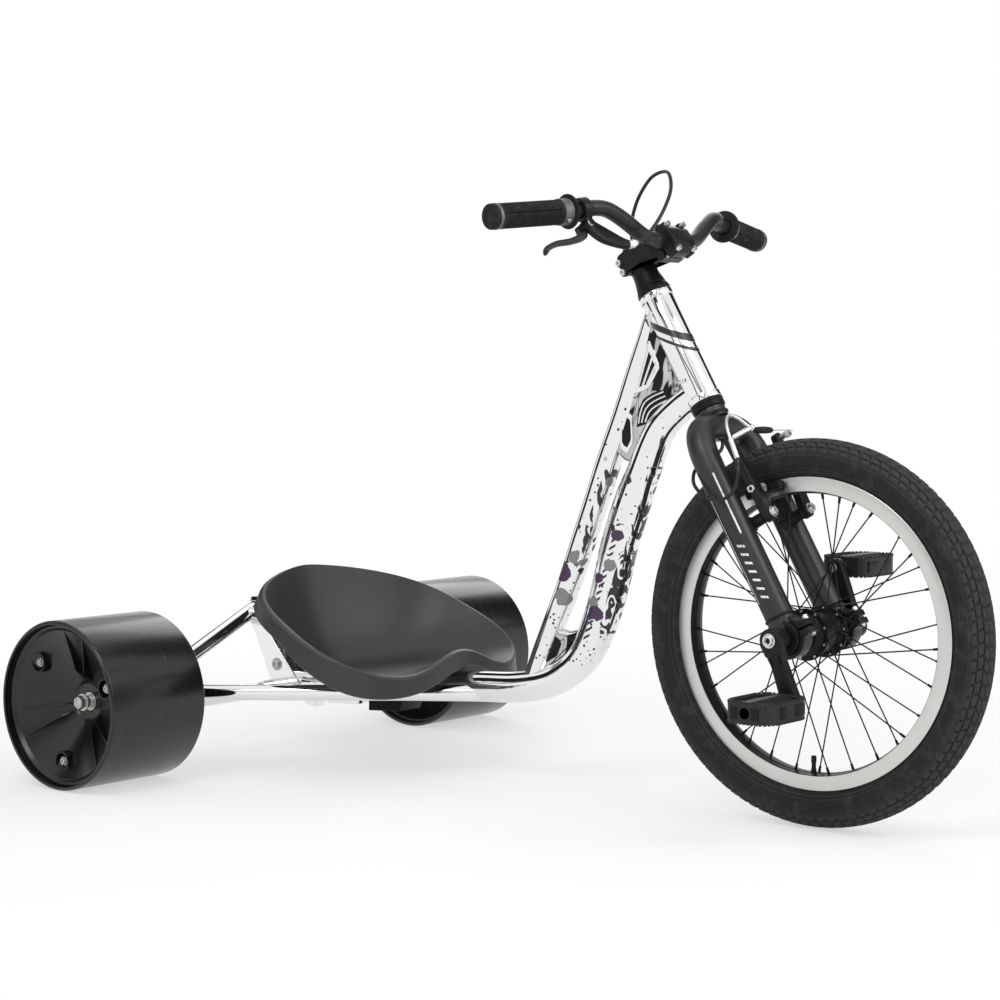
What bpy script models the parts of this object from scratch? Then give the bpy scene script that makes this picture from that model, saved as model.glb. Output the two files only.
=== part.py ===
"""Drift trike: a pedalled front wheel in a steered fork, a long plated frame, and a bucket seat low
between two wide rear wheels with slick plastic sleeves.

Metres, +Z up, +X forwards, -Y the rider's right. The origin is on the ground under the middle of
the trike's length. Pieces that turn with the handlebar are modelled in the fork's own axes, from
the front axle: x forwards and square to the steering axis, z up along that axis.
"""

import math

import bmesh
import bpy
import numpy as np
from mathutils import Matrix, Vector

# Clearances
TOUCH = 0.0003
RUNNING = 0.0008
PAD_GAP = 0.0020

# Layout of the wheels
WHEELBASE = 0.985
FRONT_TYRE_RADIUS = 0.260
REAR_TYRE_RADIUS = 0.124
REAR_TYRE_WIDTH = 0.1790
REAR_TYRE_INNER_Y = 0.2965
STEER_TILT = math.radians(29.86)

REAR_X = -(WHEELBASE + FRONT_TYRE_RADIUS - REAR_TYRE_RADIUS) / 2
FRONT_X = REAR_X + WHEELBASE
REAR_TYRE_OUTER_Y = REAR_TYRE_INNER_Y + REAR_TYRE_WIDTH

# Head tube and headset, along the steering axis from the front axle
HEAD_TUBE_CLEARANCE = 0.0920
HEAD_TUBE_LENGTH = 0.1730
HEAD_TUBE_RADIUS = 0.0230
HEAD_TUBE_WALL = 0.0040
STEERER_RADIUS = 0.0143
STEERER_WALL = 0.0024
STEERER_REACH = 0.0810
CUP_HEIGHT = 0.0120
CUP_LIP = 0.0012
SPACER_HEIGHT = 0.0285

HEAD_TUBE_BOTTOM = FRONT_TYRE_RADIUS + HEAD_TUBE_CLEARANCE
HEAD_TUBE_TOP = HEAD_TUBE_BOTTOM + HEAD_TUBE_LENGTH
STEERER_TOP = HEAD_TUBE_TOP + STEERER_REACH
SPACER_TOP = HEAD_TUBE_TOP + CUP_HEIGHT + SPACER_HEIGHT

# Frame tubes
MAIN_TUBE_WIDTH = 0.0460
BEND_END_BEHIND = 0.5828
BEND_END_DROP = 0.1230
TOP_TUBE_WIDTH = 0.0320
GUSSET_THICKNESS = 0.0240
LOWER_GUSSET_THICKNESS = 0.0140
CROSS_TUBE_RADIUS = 0.0135
CROSS_TUBE_HEIGHT = 0.1030
STAY_RADIUS = 0.0120
STRUT_RADIUS = 0.0125
MAIN_TUBE_END_X = 0.0060
MAIN_TUBE_ROUNDNESS = 2.1
MAIN_TUBE_FACETS = 24
TOP_TUBE_ROUNDNESS = 2.8
DROPOUT_THICKNESS = 0.0060
DROPOUT_INNER_Y = 0.2735
UPRIGHT_WALL = 0.0030

MAIN_TUBE_RADIUS = MAIN_TUBE_WIDTH / 2
BEND_END_X = WHEELBASE - BEND_END_BEHIND
MAIN_TUBE_SLOPE = (FRONT_TYRE_RADIUS - BEND_END_DROP - CROSS_TUBE_HEIGHT) / BEND_END_X
DROPOUT_OUTER_Y = DROPOUT_INNER_Y + DROPOUT_THICKNESS

# Rear wheels
SLEEVE_WALL = 0.0060
CORE_WALL = 0.0045
CORE_INSET = 0.0100
HUB_DEPTH = 0.0630
HUB_RADIUS = 0.0185
REAR_AXLE_RADIUS = 0.0060
AXLE_SHOULDER_RADIUS = 0.0105
REAR_BEARING_RADIUS = 0.0140
REAR_BEARING_WIDTH = 0.0080
AXLE_NUT_HEIGHT = 0.0080
AXLE_NUT_RADIUS = 0.0105
AXLE_SPACER_LENGTH = 0.0140
AXLE_SPACER_RADIUS = 0.0090
SLEEVE_SCREWS = 3

# Seat
SEAT_WALL = 0.0045
SEAT_BACK_X = 0.0446
SEAT_FRONT_GAP = 0.0358
SEAT_HALF_WIDTH = 0.2044
SEAT_FRONT_RISE = 0.0191
SEAT_BACK_RISE = 0.1944
SEAT_POMMEL_RISE = 0.0372
SEAT_POMMEL_WIDTH = 0.0780
SEAT_LIP_OUT = 0.0175
SEAT_LIP_DROP = 0.0224
SEAT_CORNER_DROP = 0.0180

# Front wheel
TYRE_SECTION_RADIUS = 0.0270
TYRE_HEIGHT = 0.0505
RIM_DEPTH = 0.0230
RIM_TRACK = 0.0200
RIM_HALF_WIDTH = 0.0145
RIM_BED_DEPTH = 0.0055
HUB_FLANGE_RADIUS = 0.0350
HUB_FLANGE_Y = 0.0240
HUB_FLANGE_THICKNESS = 0.0032
HUB_SHELL_RADIUS = 0.0300
HUB_END_RADIUS = 0.0210
HUB_END_Y = 0.0420
RIM_SPOKE_BED = 0.0062
VALVE_LENGTH = 0.0220
VALVE_RADIUS = 0.0030
SPOKE_COUNT = 36
SPOKE_RADIUS = 0.0010
SPOKE_CROSS = math.radians(58)

RIM_RADIUS = FRONT_TYRE_RADIUS - TYRE_HEIGHT
RIM_INNER_RADIUS = RIM_RADIUS - RIM_DEPTH

# Fork
LEG_Y = 0.0640
LEG_RADIUS = 0.0195
CROWN_CLEARANCE = 0.0530
CROWN_DROP = 0.0630
BOSS_Y = 0.0470
BOSS_BELOW_RIM = 0.0495
BOSS_RADIUS = 0.0090
BOSS_FRONT = 0.0340
HOUSING_RADIUS = 0.0225
HOUSING_INNER_Y = 0.0470
HOUSING_OUTER_Y = 0.0810
CLAMP_WALL = 0.0060
CLAMP_WIDTH = 0.0220
CLAMP_SPLIT = 0.0020
CLAMP_EAR = 0.0120
CRANK_BEARING_WIDTH = 0.0100
CRANK_BEARING_RADIUS = 0.0160
STUD_RADIUS = 0.0045

CROWN_HEIGHT = FRONT_TYRE_RADIUS + CROWN_CLEARANCE
LEG_STRAIGHT_TOP = CROWN_HEIGHT - CROWN_DROP
BOSS_Z = RIM_RADIUS - BOSS_BELOW_RIM

# Cranks and pedals
SPINDLE_RADIUS = 0.0085
CRANK_LENGTH = 0.0850
CRANK_INNER_Y = 0.1000
CRANK_THICKNESS = 0.0140
CRANK_BOSS_RADIUS = 0.0155
CRANK_END_RADIUS = 0.0125
CRANK_REST_ANGLE = math.radians(68.5)
CRANK_BOLT_HEIGHT = 0.0050
PEDAL_AXLE_RADIUS = 0.0055
PEDAL_INNER_Y = 0.1225
PEDAL_WIDTH = 0.0980
PEDAL_LENGTH = 0.0720
PEDAL_HEIGHT = 0.0290
PEDAL_BARREL_RADIUS = 0.0110

# Cockpit
BAR_RADIUS = 0.0111
BAR_CLAMP_RADIUS = 0.0127
BAR_CLAMP_X = 0.0560
BAR_CLAMP_RISE = 0.0520
STEM_WIDTH = 0.0460
GRIP_START_Y = 0.1862
GRIP_RADIUS = 0.0170
GRIP_FLANGE_RADIUS = 0.0235
GRIP_FLANGE_THICKNESS = 0.0040
GRIP_RING_WIDTH = 0.0070
GRIP_RIBS = 6
GRIP_END_WALL = 0.0030
CABLE_RADIUS = 0.0025

BAR_CLAMP_Z = HEAD_TUBE_TOP + BAR_CLAMP_RISE

# Brake
ARM_BACK = 0.0360
ARM_THICKNESS = 0.0120
ARM_ABOVE_TYRE = 0.0120
ARM_TOP_Y = 0.0600
ARM_FOOT_RADIUS = 0.0105
ARM_TOP_RADIUS = 0.0065
PAD_THICKNESS = 0.0100
PAD_HEIGHT = 0.0110
PAD_LENGTH = 0.0560
NOODLE_RADIUS = 0.0025
WIRE_RADIUS = 0.0009
BOOT_RADIUS = 0.0045

ARM_TOP_Z = FRONT_TYRE_RADIUS + ARM_ABOVE_TYRE

# Facets
ROUND = 20
WHEEL_STEPS = 40
DRUM_STEPS = 28
SECTION_POINTS = 12


def clear_scene():
    for obj in list(bpy.data.objects):
        bpy.data.objects.remove(obj, do_unlink=True)


def new_collection(name, render=True):
    collection = bpy.data.collections.new(name)
    collection.hide_render = not render
    bpy.context.scene.collection.children.link(collection)
    return collection


clear_scene()
PARTS = new_collection("drift_trike")
CUTTERS = new_collection("cutters", render=False)


def make_material(name, colour, metallic=0.0, roughness=0.5):
    material = bpy.data.materials.new(name)
    material.use_nodes = True
    shader = material.node_tree.nodes["Principled BSDF"]
    shader.inputs["Base Color"].default_value = (*colour, 1.0)
    shader.inputs["Metallic"].default_value = metallic
    shader.inputs["Roughness"].default_value = roughness
    material.diffuse_color = (*colour, 1.0)
    return material


CHROME = make_material("chrome_plate", (0.80, 0.81, 0.83), 1.0, 0.06)
SATIN_BLACK = make_material("satin_black_paint", (0.022, 0.022, 0.024), 0.0, 0.38)
GLOSS_BLACK = make_material("gloss_black_plastic", (0.012, 0.012, 0.013), 0.0, 0.18)
SEAT_BLACK = make_material("matt_black_plastic", (0.030, 0.030, 0.032), 0.0, 0.55)
TYRE_RUBBER = make_material("tyre_rubber", (0.020, 0.020, 0.021), 0.0, 0.75)
GRIP_RUBBER = make_material("grip_rubber", (0.014, 0.014, 0.015), 0.0, 0.65)
MACHINED_ALLOY = make_material("machined_alloy", (0.74, 0.75, 0.77), 1.0, 0.28)
ZINC_STEEL = make_material("zinc_steel", (0.62, 0.62, 0.60), 1.0, 0.35)
GREY_ALLOY = make_material("grey_anodised_alloy", (0.16, 0.16, 0.17), 0.8, 0.4)
CABLE_BLACK = make_material("cable_housing_black", (0.015, 0.015, 0.016), 0.0, 0.35)


def place(obj, material, parent=None, location=None, turn=None):
    """Puts a finished piece in the parts collection, with its material, parent and place."""
    for collection in list(obj.users_collection):
        collection.objects.unlink(obj)
    PARTS.objects.link(obj)
    obj.data.materials.clear()
    obj.data.materials.append(material)
    obj.parent = parent
    if location is not None:
        obj.location = location
    if turn is not None:
        obj.rotation_euler = turn
    return obj


def hide_helper(obj, parent=None):
    """Makes an object a cutter or a shape to join: it stays in the file and isn't rendered."""
    for collection in list(obj.users_collection):
        collection.objects.unlink(obj)
    CUTTERS.objects.link(obj)
    obj.hide_render = True
    obj.display_type = "WIRE"
    if parent is not None:
        obj.parent = parent
    return obj


def new_empty(name, location, turn=(0, 0, 0), parent=None):
    empty = bpy.data.objects.new(name, None)
    empty.empty_display_size = 0.03
    empty.location = location
    empty.rotation_euler = turn
    empty.parent = parent
    PARTS.objects.link(empty)
    return empty


def mesh_object(name, mesh, smooth_angle=35):
    obj = bpy.data.objects.new(name, mesh)
    bpy.context.scene.collection.objects.link(obj)
    mesh.shade_smooth()
    mesh.set_sharp_from_angle(angle=math.radians(smooth_angle))
    return obj


def from_bmesh(name, bm, smooth_angle=35):
    mesh = bpy.data.meshes.new(name)
    bmesh.ops.recalc_face_normals(bm, faces=bm.faces)
    bm.to_mesh(mesh)
    bm.free()
    return mesh_object(name, mesh, smooth_angle)


def turned(name, profile, steps=ROUND, ring=False):
    """A turned shape about local Z. The profile is (radius, height), down the outer side.

    A ring's profile closes on itself; any other starts and ends on the axis.
    """
    mesh = bpy.data.meshes.new(name)
    points = [(radius, 0.0, height) for radius, height in profile]
    edges = [(i, i + 1) for i in range(len(points) - 1)]
    if ring:
        edges.append((len(points) - 1, 0))
    mesh.from_pydata(points, edges, [])
    obj = bpy.data.objects.new(name, mesh)
    bpy.context.scene.collection.objects.link(obj)
    screw = obj.modifiers.new("turn", "SCREW")
    screw.axis = "Z"
    screw.steps = steps
    screw.render_steps = steps
    screw.use_merge_vertices = True
    screw.merge_threshold = 0.00001
    screw.use_smooth_shade = True
    return obj


def ring_profile(outer, inner, low, high, chamfer=0.0):
    """A plain ring's profile, with its outer corners taken off by the chamfer."""
    if not chamfer:
        return [(outer, high), (outer, low), (inner, low), (inner, high)]
    return [
        (outer - chamfer, high), (outer, high - chamfer), (outer, low + chamfer),
        (outer - chamfer, low), (inner, low), (inner, high),
    ]


def rod_profile(*steps):
    """A stepped rod's profile from (radius, top, bottom) for each step, top first."""
    profile = [(0.0, steps[0][1])]
    for radius, top, bottom in steps:
        profile += [(radius, top), (radius, bottom)]
    return profile + [(0.0, steps[-1][2])]


def across(side):
    """The turn that lays local Z along Y: towards +Y for side 1, towards -Y for side -1."""
    return (-side * math.pi / 2, 0.0, 0.0)


def aim(obj, start, end):
    """Stands an object at start with its local Z towards end."""
    start, end = Vector(start), Vector(end)
    obj.location = start
    obj.rotation_euler = (end - start).to_track_quat("Z", "Y").to_euler()
    return obj


def rod(name, start, end, radius, segments=16, end_radius=None):
    """A cylinder or a cone between two points."""
    start, end = Vector(start), Vector(end)
    bm = bmesh.new()
    bmesh.ops.create_cone(
        bm, cap_ends=True, segments=segments, radius1=radius,
        radius2=radius if end_radius is None else end_radius, depth=(end - start).length,
    )
    bmesh.ops.translate(bm, verts=bm.verts, vec=(0, 0, (end - start).length / 2))
    return aim(from_bmesh(name, bm), start, end)


def block(name, size, centre, bevel=0.0, turn=(0, 0, 0), bevel_segments=2):
    """A box with rounded edges."""
    bm = bmesh.new()
    bmesh.ops.create_cube(bm, size=1.0)
    bmesh.ops.scale(bm, verts=bm.verts, vec=size)
    obj = from_bmesh(name, bm)
    obj.location = centre
    obj.rotation_euler = turn
    if bevel:
        rounding = obj.modifiers.new("round", "BEVEL")
        rounding.width = bevel
        rounding.segments = bevel_segments
    return obj


def plate(name, outline, thickness, plane="XZ", offset=0.0, bevel=0.0):
    """A flat outline with a thickness, centred on the offset across its plane."""
    curve = bpy.data.curves.new(name, "CURVE")
    curve.dimensions = "2D"
    curve.fill_mode = "BOTH"
    curve.extrude = thickness / 2
    spline = curve.splines.new("POLY")
    spline.points.add(len(outline) - 1)
    for point, (u, v) in zip(spline.points, outline):
        point.co = (u, v, 0.0, 1.0)
    spline.use_cyclic_u = True
    obj = curve_to_mesh(name, curve)
    # XZ: the outline's v becomes Z, its depth -Y. YZ: u becomes Y, v becomes Z and the depth X.
    turns = {
        "XZ": Matrix(((1, 0, 0), (0, 0, -1), (0, 1, 0))),
        "YZ": Matrix(((0, 0, 1), (1, 0, 0), (0, 1, 0))),
        "XY": Matrix.Identity(3),
    }
    shift = {"XZ": (0, offset, 0), "YZ": (offset, 0, 0), "XY": (0, 0, offset)}[plane]
    obj.data.transform(Matrix.Translation(shift) @ turns[plane].to_4x4())
    if bevel:
        rounding = obj.modifiers.new("round", "BEVEL")
        rounding.width = bevel
        rounding.segments = 2
        rounding.limit_method = "ANGLE"
        rounding.angle_limit = math.radians(50)
    return obj


def curve_to_mesh(name, curve):
    """A mesh object from curve data, with its loose caps welded to its sides."""
    guide = bpy.data.objects.new(name + "_guide", curve)
    bpy.context.scene.collection.objects.link(guide)
    bpy.context.view_layer.update()
    graph = bpy.context.evaluated_depsgraph_get()
    mesh = bpy.data.meshes.new_from_object(guide.evaluated_get(graph))
    mesh.name = name
    bpy.data.objects.remove(guide, do_unlink=True)
    bm = bmesh.new()
    bm.from_mesh(mesh)
    bmesh.ops.remove_doubles(bm, verts=bm.verts, dist=0.00001)
    bmesh.ops.recalc_face_normals(bm, faces=bm.faces)
    bm.to_mesh(mesh)
    bm.free()
    return mesh_object(name, mesh)


def tube_curve(name, points, radius, resolution=4, radii=None):
    """Curve data for a round tube along points."""
    curve = bpy.data.curves.new(name, "CURVE")
    curve.dimensions = "3D"
    curve.bevel_depth = radius
    curve.bevel_resolution = resolution
    curve.use_fill_caps = True
    spline = curve.splines.new("POLY")
    spline.points.add(len(points) - 1)
    for index, (point, co) in enumerate(zip(spline.points, points)):
        point.co = (*co, 1.0)
        point.radius = 1.0 if radii is None else radii[index]
    return curve


def tube(name, points, radius, resolution=4):
    """A tube, wire or handle left as a curve object."""
    obj = bpy.data.objects.new(name, tube_curve(name, points, radius, resolution))
    bpy.context.scene.collection.objects.link(obj)
    return obj


def tube_mesh(name, points, radius, resolution=4, radii=None):
    return curve_to_mesh(name, tube_curve(name, points, radius, resolution, radii))


def smooth_route(route, count):
    """Points at even steps along a Catmull-Rom curve through the route's points."""
    knots = np.array(route, float)
    knots = np.vstack([2 * knots[0] - knots[1], knots, 2 * knots[-1] - knots[-2]])
    fine = []
    for i in range(1, len(knots) - 2):
        before, start, end, after = knots[i - 1:i + 3]
        for t in np.linspace(0, 1, 24, endpoint=False):
            fine.append(0.5 * (
                2 * start + (end - before) * t
                + (2 * before - 5 * start + 4 * end - after) * t**2
                + (3 * start - before - 3 * end + after) * t**3
            ))
    fine = np.array(fine + [knots[-2]])
    along = np.concatenate([[0], np.cumsum(np.linalg.norm(np.diff(fine, axis=0), axis=1))])
    even = np.linspace(0, along[-1], count)
    columns = [np.interp(even, along, column) for column in fine.T]
    return [tuple(row) for row in np.transpose(columns)]


def loft(name, rings, closed_ends=True):
    """A skin over rings of equally many points, each end closed by one face."""
    bm = bmesh.new()
    rows = [[bm.verts.new(point) for point in ring] for ring in rings]
    count = len(rows[0])
    for first, second in zip(rows, rows[1:]):
        for k in range(count):
            following = (k + 1) % count
            bm.faces.new((first[k], first[following], second[following], second[k]))
    if closed_ends:
        bm.faces.new(rows[0])
        bm.faces.new(list(reversed(rows[-1])))
    return from_bmesh(name, bm)


def swept_tube(name, stations, roundness, count):
    """A tube in the plane Y = 0 from (x, z, width in that plane, width across it) stations.

    Each section is a superellipse: 2 is an ellipse, and more is squarer.
    """
    path = np.array(smooth_route(stations, count))
    tangents = np.gradient(path[:, :2], axis=0)
    tangents /= np.linalg.norm(tangents, axis=1)[:, None]
    angles = np.linspace(0, 2 * math.pi, SECTION_POINTS, endpoint=False)
    cosines, sines = np.cos(angles), np.sin(angles)
    in_plane = np.sign(cosines) * np.abs(cosines) ** (2 / roundness)
    sideways = np.sign(sines) * np.abs(sines) ** (2 / roundness)
    rings = []
    for (x, z, depth, width), (along_x, along_z) in zip(path, tangents):
        rings.append([
            (x - along_z * u * depth / 2, v * width / 2, z + along_x * u * depth / 2)
            for u, v in zip(in_plane, sideways)
        ])
    return loft(name, rings)


def combine(obj, operation, helpers):
    for helper in helpers:
        boolean = obj.modifiers.new(helper.name, "BOOLEAN")
        boolean.operation = operation
        boolean.solver = "EXACT"
        boolean.object = helper
        hide_helper(helper, helper.parent or obj.parent)
    return obj


def weld(obj, *helpers):
    """Joins shapes to an object, as a weld or a casting does."""
    return combine(obj, "UNION", helpers)


def cut(obj, *helpers):
    """Takes shapes out of an object."""
    return combine(obj, "DIFFERENCE", helpers)


def side_name(side):
    return "left" if side > 0 else "right"


STEERING = new_empty("steering_axis", (FRONT_X, 0, FRONT_TYRE_RADIUS), (0, -STEER_TILT, 0))
FRONT_AXLE = new_empty("front_axle", (FRONT_X, 0, FRONT_TYRE_RADIUS))
CRANKS = new_empty("crank_axis", (FRONT_X, 0, FRONT_TYRE_RADIUS), (0, CRANK_REST_ANGLE, 0))


# Front frame: head tube, curved main tube, upper tube and the gussets between them

# From the front axle: (x, height, width in the frame's plane, width across it)
MAIN_TUBE_ROUTE = (
    (-0.1850, 0.3200, 0.0400, 0.0400), (-0.2190, 0.2980, 0.0420, 0.0420),
    (-0.2531, 0.2648, 0.0440, 0.0450), (-0.2820, 0.2040, 0.0490, 0.0460),
    (-0.3008, 0.1601, 0.0560, 0.0460), (-0.3215, 0.1031, 0.0560, 0.0460),
    (-0.3368, 0.0457, 0.0560, 0.0460), (-0.3573, -0.0146, 0.0540, 0.0460),
    (-0.3820, -0.0590, 0.0500, MAIN_TUBE_WIDTH), (-0.4118, -0.0856, 0.0470, MAIN_TUBE_WIDTH),
    (-0.4502, -0.1055, MAIN_TUBE_WIDTH, MAIN_TUBE_WIDTH),
    (-0.5067, -0.1175, MAIN_TUBE_WIDTH, MAIN_TUBE_WIDTH),
    (-0.5828, -0.1230, MAIN_TUBE_WIDTH, MAIN_TUBE_WIDTH),
)
TOP_TUBE_ROUTE = (
    (-0.2580, 0.4440, 0.0220, 0.0240), (-0.2740, 0.3950, 0.0250, 0.0280),
    (-0.2890, 0.3530, 0.0290, 0.0300), (-0.3137, 0.2844, 0.0330, TOP_TUBE_WIDTH),
    (-0.3417, 0.2179, 0.0340, TOP_TUBE_WIDTH), (-0.3635, 0.1607, 0.0340, TOP_TUBE_WIDTH),
    (-0.3871, 0.1014, 0.0340, TOP_TUBE_WIDTH), (-0.4106, 0.0421, 0.0330, TOP_TUBE_WIDTH),
    (-0.4385, -0.0181, 0.0310, TOP_TUBE_WIDTH), (-0.4652, -0.0776, 0.0300, TOP_TUBE_WIDTH),
    (-0.4770, -0.1100, 0.0300, TOP_TUBE_WIDTH),
)
UPPER_GUSSET = (
    (-0.2600, 0.4250), (-0.2290, 0.3600), (-0.2210, 0.3120), (-0.2460, 0.2820), (-0.2700, 0.2380),
    (-0.2870, 0.2200), (-0.3050, 0.2230), (-0.3150, 0.2310), (-0.3250, 0.2450), (-0.2970, 0.3400),
)
LOWER_GUSSET = (
    (-0.4430, -0.0220), (-0.4290, -0.0310), (-0.4130, -0.0330), (-0.3990, -0.0290),
    (-0.3750, -0.0180), (-0.3850, -0.0600), (-0.4150, -0.0860), (-0.4700, -0.1040),
)
GUSSET_RIDGE = (
    (-0.2706, 0.3899), (-0.2522, 0.3549), (-0.2670, 0.3360), (-0.2897, 0.3110), (-0.2860, 0.3400),
)
WINDOW_RIDGE = (
    (-0.3090, 0.2960), (-0.2890, 0.2820), (-0.2890, 0.2500), (-0.3010, 0.2360), (-0.3110, 0.2400),
)
RIDGE_HEIGHT = 0.0020
# How far past the head tube's ends nothing of the frame may stand in the headset's way
CUP_ROOM = 0.0300


def behind_origin(points):
    """Moves points given from the rear axle to the trike's origin."""
    return [(REAR_X + point[0], *point[1:]) for point in points]


def from_front_axle(points):
    """Moves points given from the front axle to the trike's origin."""
    return [(FRONT_X + x, FRONT_TYRE_RADIUS + z, *rest) for x, z, *rest in points]


def main_tube_height(x):
    """The main tube's centre over a point that far ahead of the rear axle, on its straight run."""
    return CROSS_TUBE_HEIGHT + MAIN_TUBE_SLOPE * x


def front_frame():
    straight = [
        (x, main_tube_height(x), MAIN_TUBE_WIDTH, MAIN_TUBE_WIDTH)
        for x in (BEND_END_X * 3 / 4, BEND_END_X / 3, MAIN_TUBE_END_X)
    ]
    route = from_front_axle(MAIN_TUBE_ROUTE) + behind_origin(straight)
    frame = swept_tube("front_frame", route, MAIN_TUBE_ROUNDNESS, count=MAIN_TUBE_FACETS)
    place(frame, CHROME)
    top_route = from_front_axle(TOP_TUBE_ROUTE)
    top_tube = swept_tube("top_tube", top_route, TOP_TUBE_ROUNDNESS, count=16)
    head_tube = rod(
        "head_tube", (0, 0, HEAD_TUBE_BOTTOM), (0, 0, HEAD_TUBE_TOP), HEAD_TUBE_RADIUS, ROUND,
    )
    head_tube.parent = STEERING
    upper = plate("upper_gusset", from_front_axle(UPPER_GUSSET), GUSSET_THICKNESS)
    ridge_thickness = GUSSET_THICKNESS + 2 * RIDGE_HEIGHT
    ridges = [
        plate("gusset_ridge", from_front_axle(GUSSET_RIDGE), ridge_thickness),
        plate("window_ridge", from_front_axle(WINDOW_RIDGE), ridge_thickness),
    ]
    lower = plate("lower_gusset", from_front_axle(LOWER_GUSSET), LOWER_GUSSET_THICKNESS)
    weld(frame, top_tube, head_tube, upper, lower, *ridges)
    bore = rod(
        "head_tube_bore", (0, 0, HEAD_TUBE_BOTTOM - CUP_ROOM), (0, 0, HEAD_TUBE_TOP + CUP_ROOM),
        HEAD_TUBE_RADIUS - HEAD_TUBE_WALL, ROUND,
    )
    bore.parent = STEERING
    seat_of_cross_tube = rod(
        "cross_tube_clearance", (REAR_X, -0.05, CROSS_TUBE_HEIGHT),
        (REAR_X, 0.05, CROSS_TUBE_HEIGHT), CROSS_TUBE_RADIUS + TOUCH, ROUND,
    )
    rooms = [
        rod(
            "cup_clearance", (0, 0, near), (0, 0, far), HEAD_TUBE_RADIUS + CUP_LIP + RUNNING, ROUND,
        )
        for near, far in (
            (HEAD_TUBE_BOTTOM - CUP_ROOM, HEAD_TUBE_BOTTOM),
            (HEAD_TUBE_TOP + TOUCH, HEAD_TUBE_TOP + CUP_ROOM),
        )
    ]
    for room in rooms:
        room.parent = STEERING
    cut(frame, bore, seat_of_cross_tube, *rooms)
    return frame


# Rear frame: the cross tube, its end plates, stays to the main tube, and the seat's upright

STAY_REAR = (0.0040, 0.2680, 0.1215)
STAY_FRONT_GAP = 0.0022
STAY_FRONT_DROP = 0.0108
STAY_FRONT_Y = 0.0170
STRUT_REAR = (0.0000, 0.2640, 0.1470)
STRUT_APEX = (-0.0740, 0.0000, 0.2235)
UPRIGHT_OUTLINE = (
    (-0.0060, 0.1000), (0.0480, 0.1060), (0.0500, 0.1160), (0.0110, 0.1600), (-0.0300, 0.2060),
    (-0.0560, 0.2300), (-0.0760, 0.2260), (-0.0480, 0.1900),
)
UPRIGHT_HOLLOW = (
    (-0.0020, 0.0900), (0.0600, 0.0900), (0.0600, 0.1300), (0.0100, 0.1800), (-0.0300, 0.2200),
    (-0.0500, 0.2130), (-0.0440, 0.1940),
)
UPRIGHT_BOLT = (0.0025, 0.1400)
UPRIGHT_BOLT_RADIUS = 0.0055
APEX_BOLT_RADIUS = 0.0065
DROPOUT_OUTLINE = (
    (-0.0160, 0.0960), (-0.0100, 0.0880), (0.0120, 0.0880), (0.0180, 0.0960), (0.0220, 0.1200),
    (0.0180, 0.1440), (0.0130, 0.1600), (-0.0130, 0.1600), (-0.0200, 0.1440), (-0.0220, 0.1200),
)


def from_rear_axle(point, side=1):
    x, y, z = point
    return (REAR_X + x, side * y, z)


def rear_frame():
    stay_x = BEND_END_X - STAY_FRONT_GAP
    stay_front = (stay_x, STAY_FRONT_Y, main_tube_height(stay_x) - STAY_FRONT_DROP)
    frame = rod(
        "rear_frame", (REAR_X, -DROPOUT_INNER_Y - 0.002, CROSS_TUBE_HEIGHT),
        (REAR_X, DROPOUT_INNER_Y + 0.002, CROSS_TUBE_HEIGHT), CROSS_TUBE_RADIUS, ROUND,
    )
    place(frame, CHROME)
    room = MAIN_TUBE_WIDTH + 6 * TOUCH
    sleeve = swept_tube("main_tube_clearance", behind_origin([
        (x, main_tube_height(x), room, room)
        for x in (BEND_END_X + STAY_RADIUS, -CROSS_TUBE_RADIUS)
    ]), MAIN_TUBE_ROUNDNESS, count=MAIN_TUBE_FACETS)
    for side in (-1, 1):
        end = plate(
            f"dropout_{side_name(side)}", behind_origin(DROPOUT_OUTLINE), DROPOUT_THICKNESS,
            offset=side * (DROPOUT_INNER_Y + DROPOUT_THICKNESS / 2),
        )
        stay = rod(
            f"stay_{side_name(side)}", from_rear_axle(STAY_REAR, side),
            from_rear_axle(stay_front, side), STAY_RADIUS, SECTION_POINTS,
        )
        cut(stay, sleeve)
        strut = rod(
            f"strut_{side_name(side)}", from_rear_axle(STRUT_REAR, side),
            from_rear_axle(STRUT_APEX, side), STRUT_RADIUS, SECTION_POINTS,
        )
        weld(frame, end, stay, strut)
    bolt_x, bolt_z = REAR_X + UPRIGHT_BOLT[0], UPRIGHT_BOLT[1]
    bolt_y = room / 2 + UPRIGHT_WALL + UPRIGHT_BOLT_RADIUS
    apex_x, _, apex_z = from_rear_axle(STRUT_APEX)
    upright = plate("upright", behind_origin(UPRIGHT_OUTLINE), room + 2 * UPRIGHT_WALL)
    cut(upright, plate("upright_channel", behind_origin(UPRIGHT_HOLLOW), room))
    weld(
        frame,
        upright,
        rod(
            "upright_bolt", (bolt_x, -bolt_y, bolt_z), (bolt_x, bolt_y, bolt_z),
            UPRIGHT_BOLT_RADIUS, 6,
        ),
        rod(
            "apex_bolt", (apex_x, 0, apex_z), (apex_x, 0, apex_z + STRUT_RADIUS + APEX_BOLT_RADIUS),
            APEX_BOLT_RADIUS, 6,
        ),
    )
    for side in (-1, 1):
        bore = rod(
            f"axle_hole_{side_name(side)}",
            (REAR_X, side * (DROPOUT_INNER_Y - TOUCH), REAR_TYRE_RADIUS),
            (REAR_X, side * (DROPOUT_OUTER_Y + 0.01), REAR_TYRE_RADIUS),
            REAR_AXLE_RADIUS + TOUCH, ROUND,
        )
        cut(frame, bore)
    return frame


front_frame()
rear_frame()


# Headset: bearing cups outside the head tube, with their bearings inside

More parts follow.
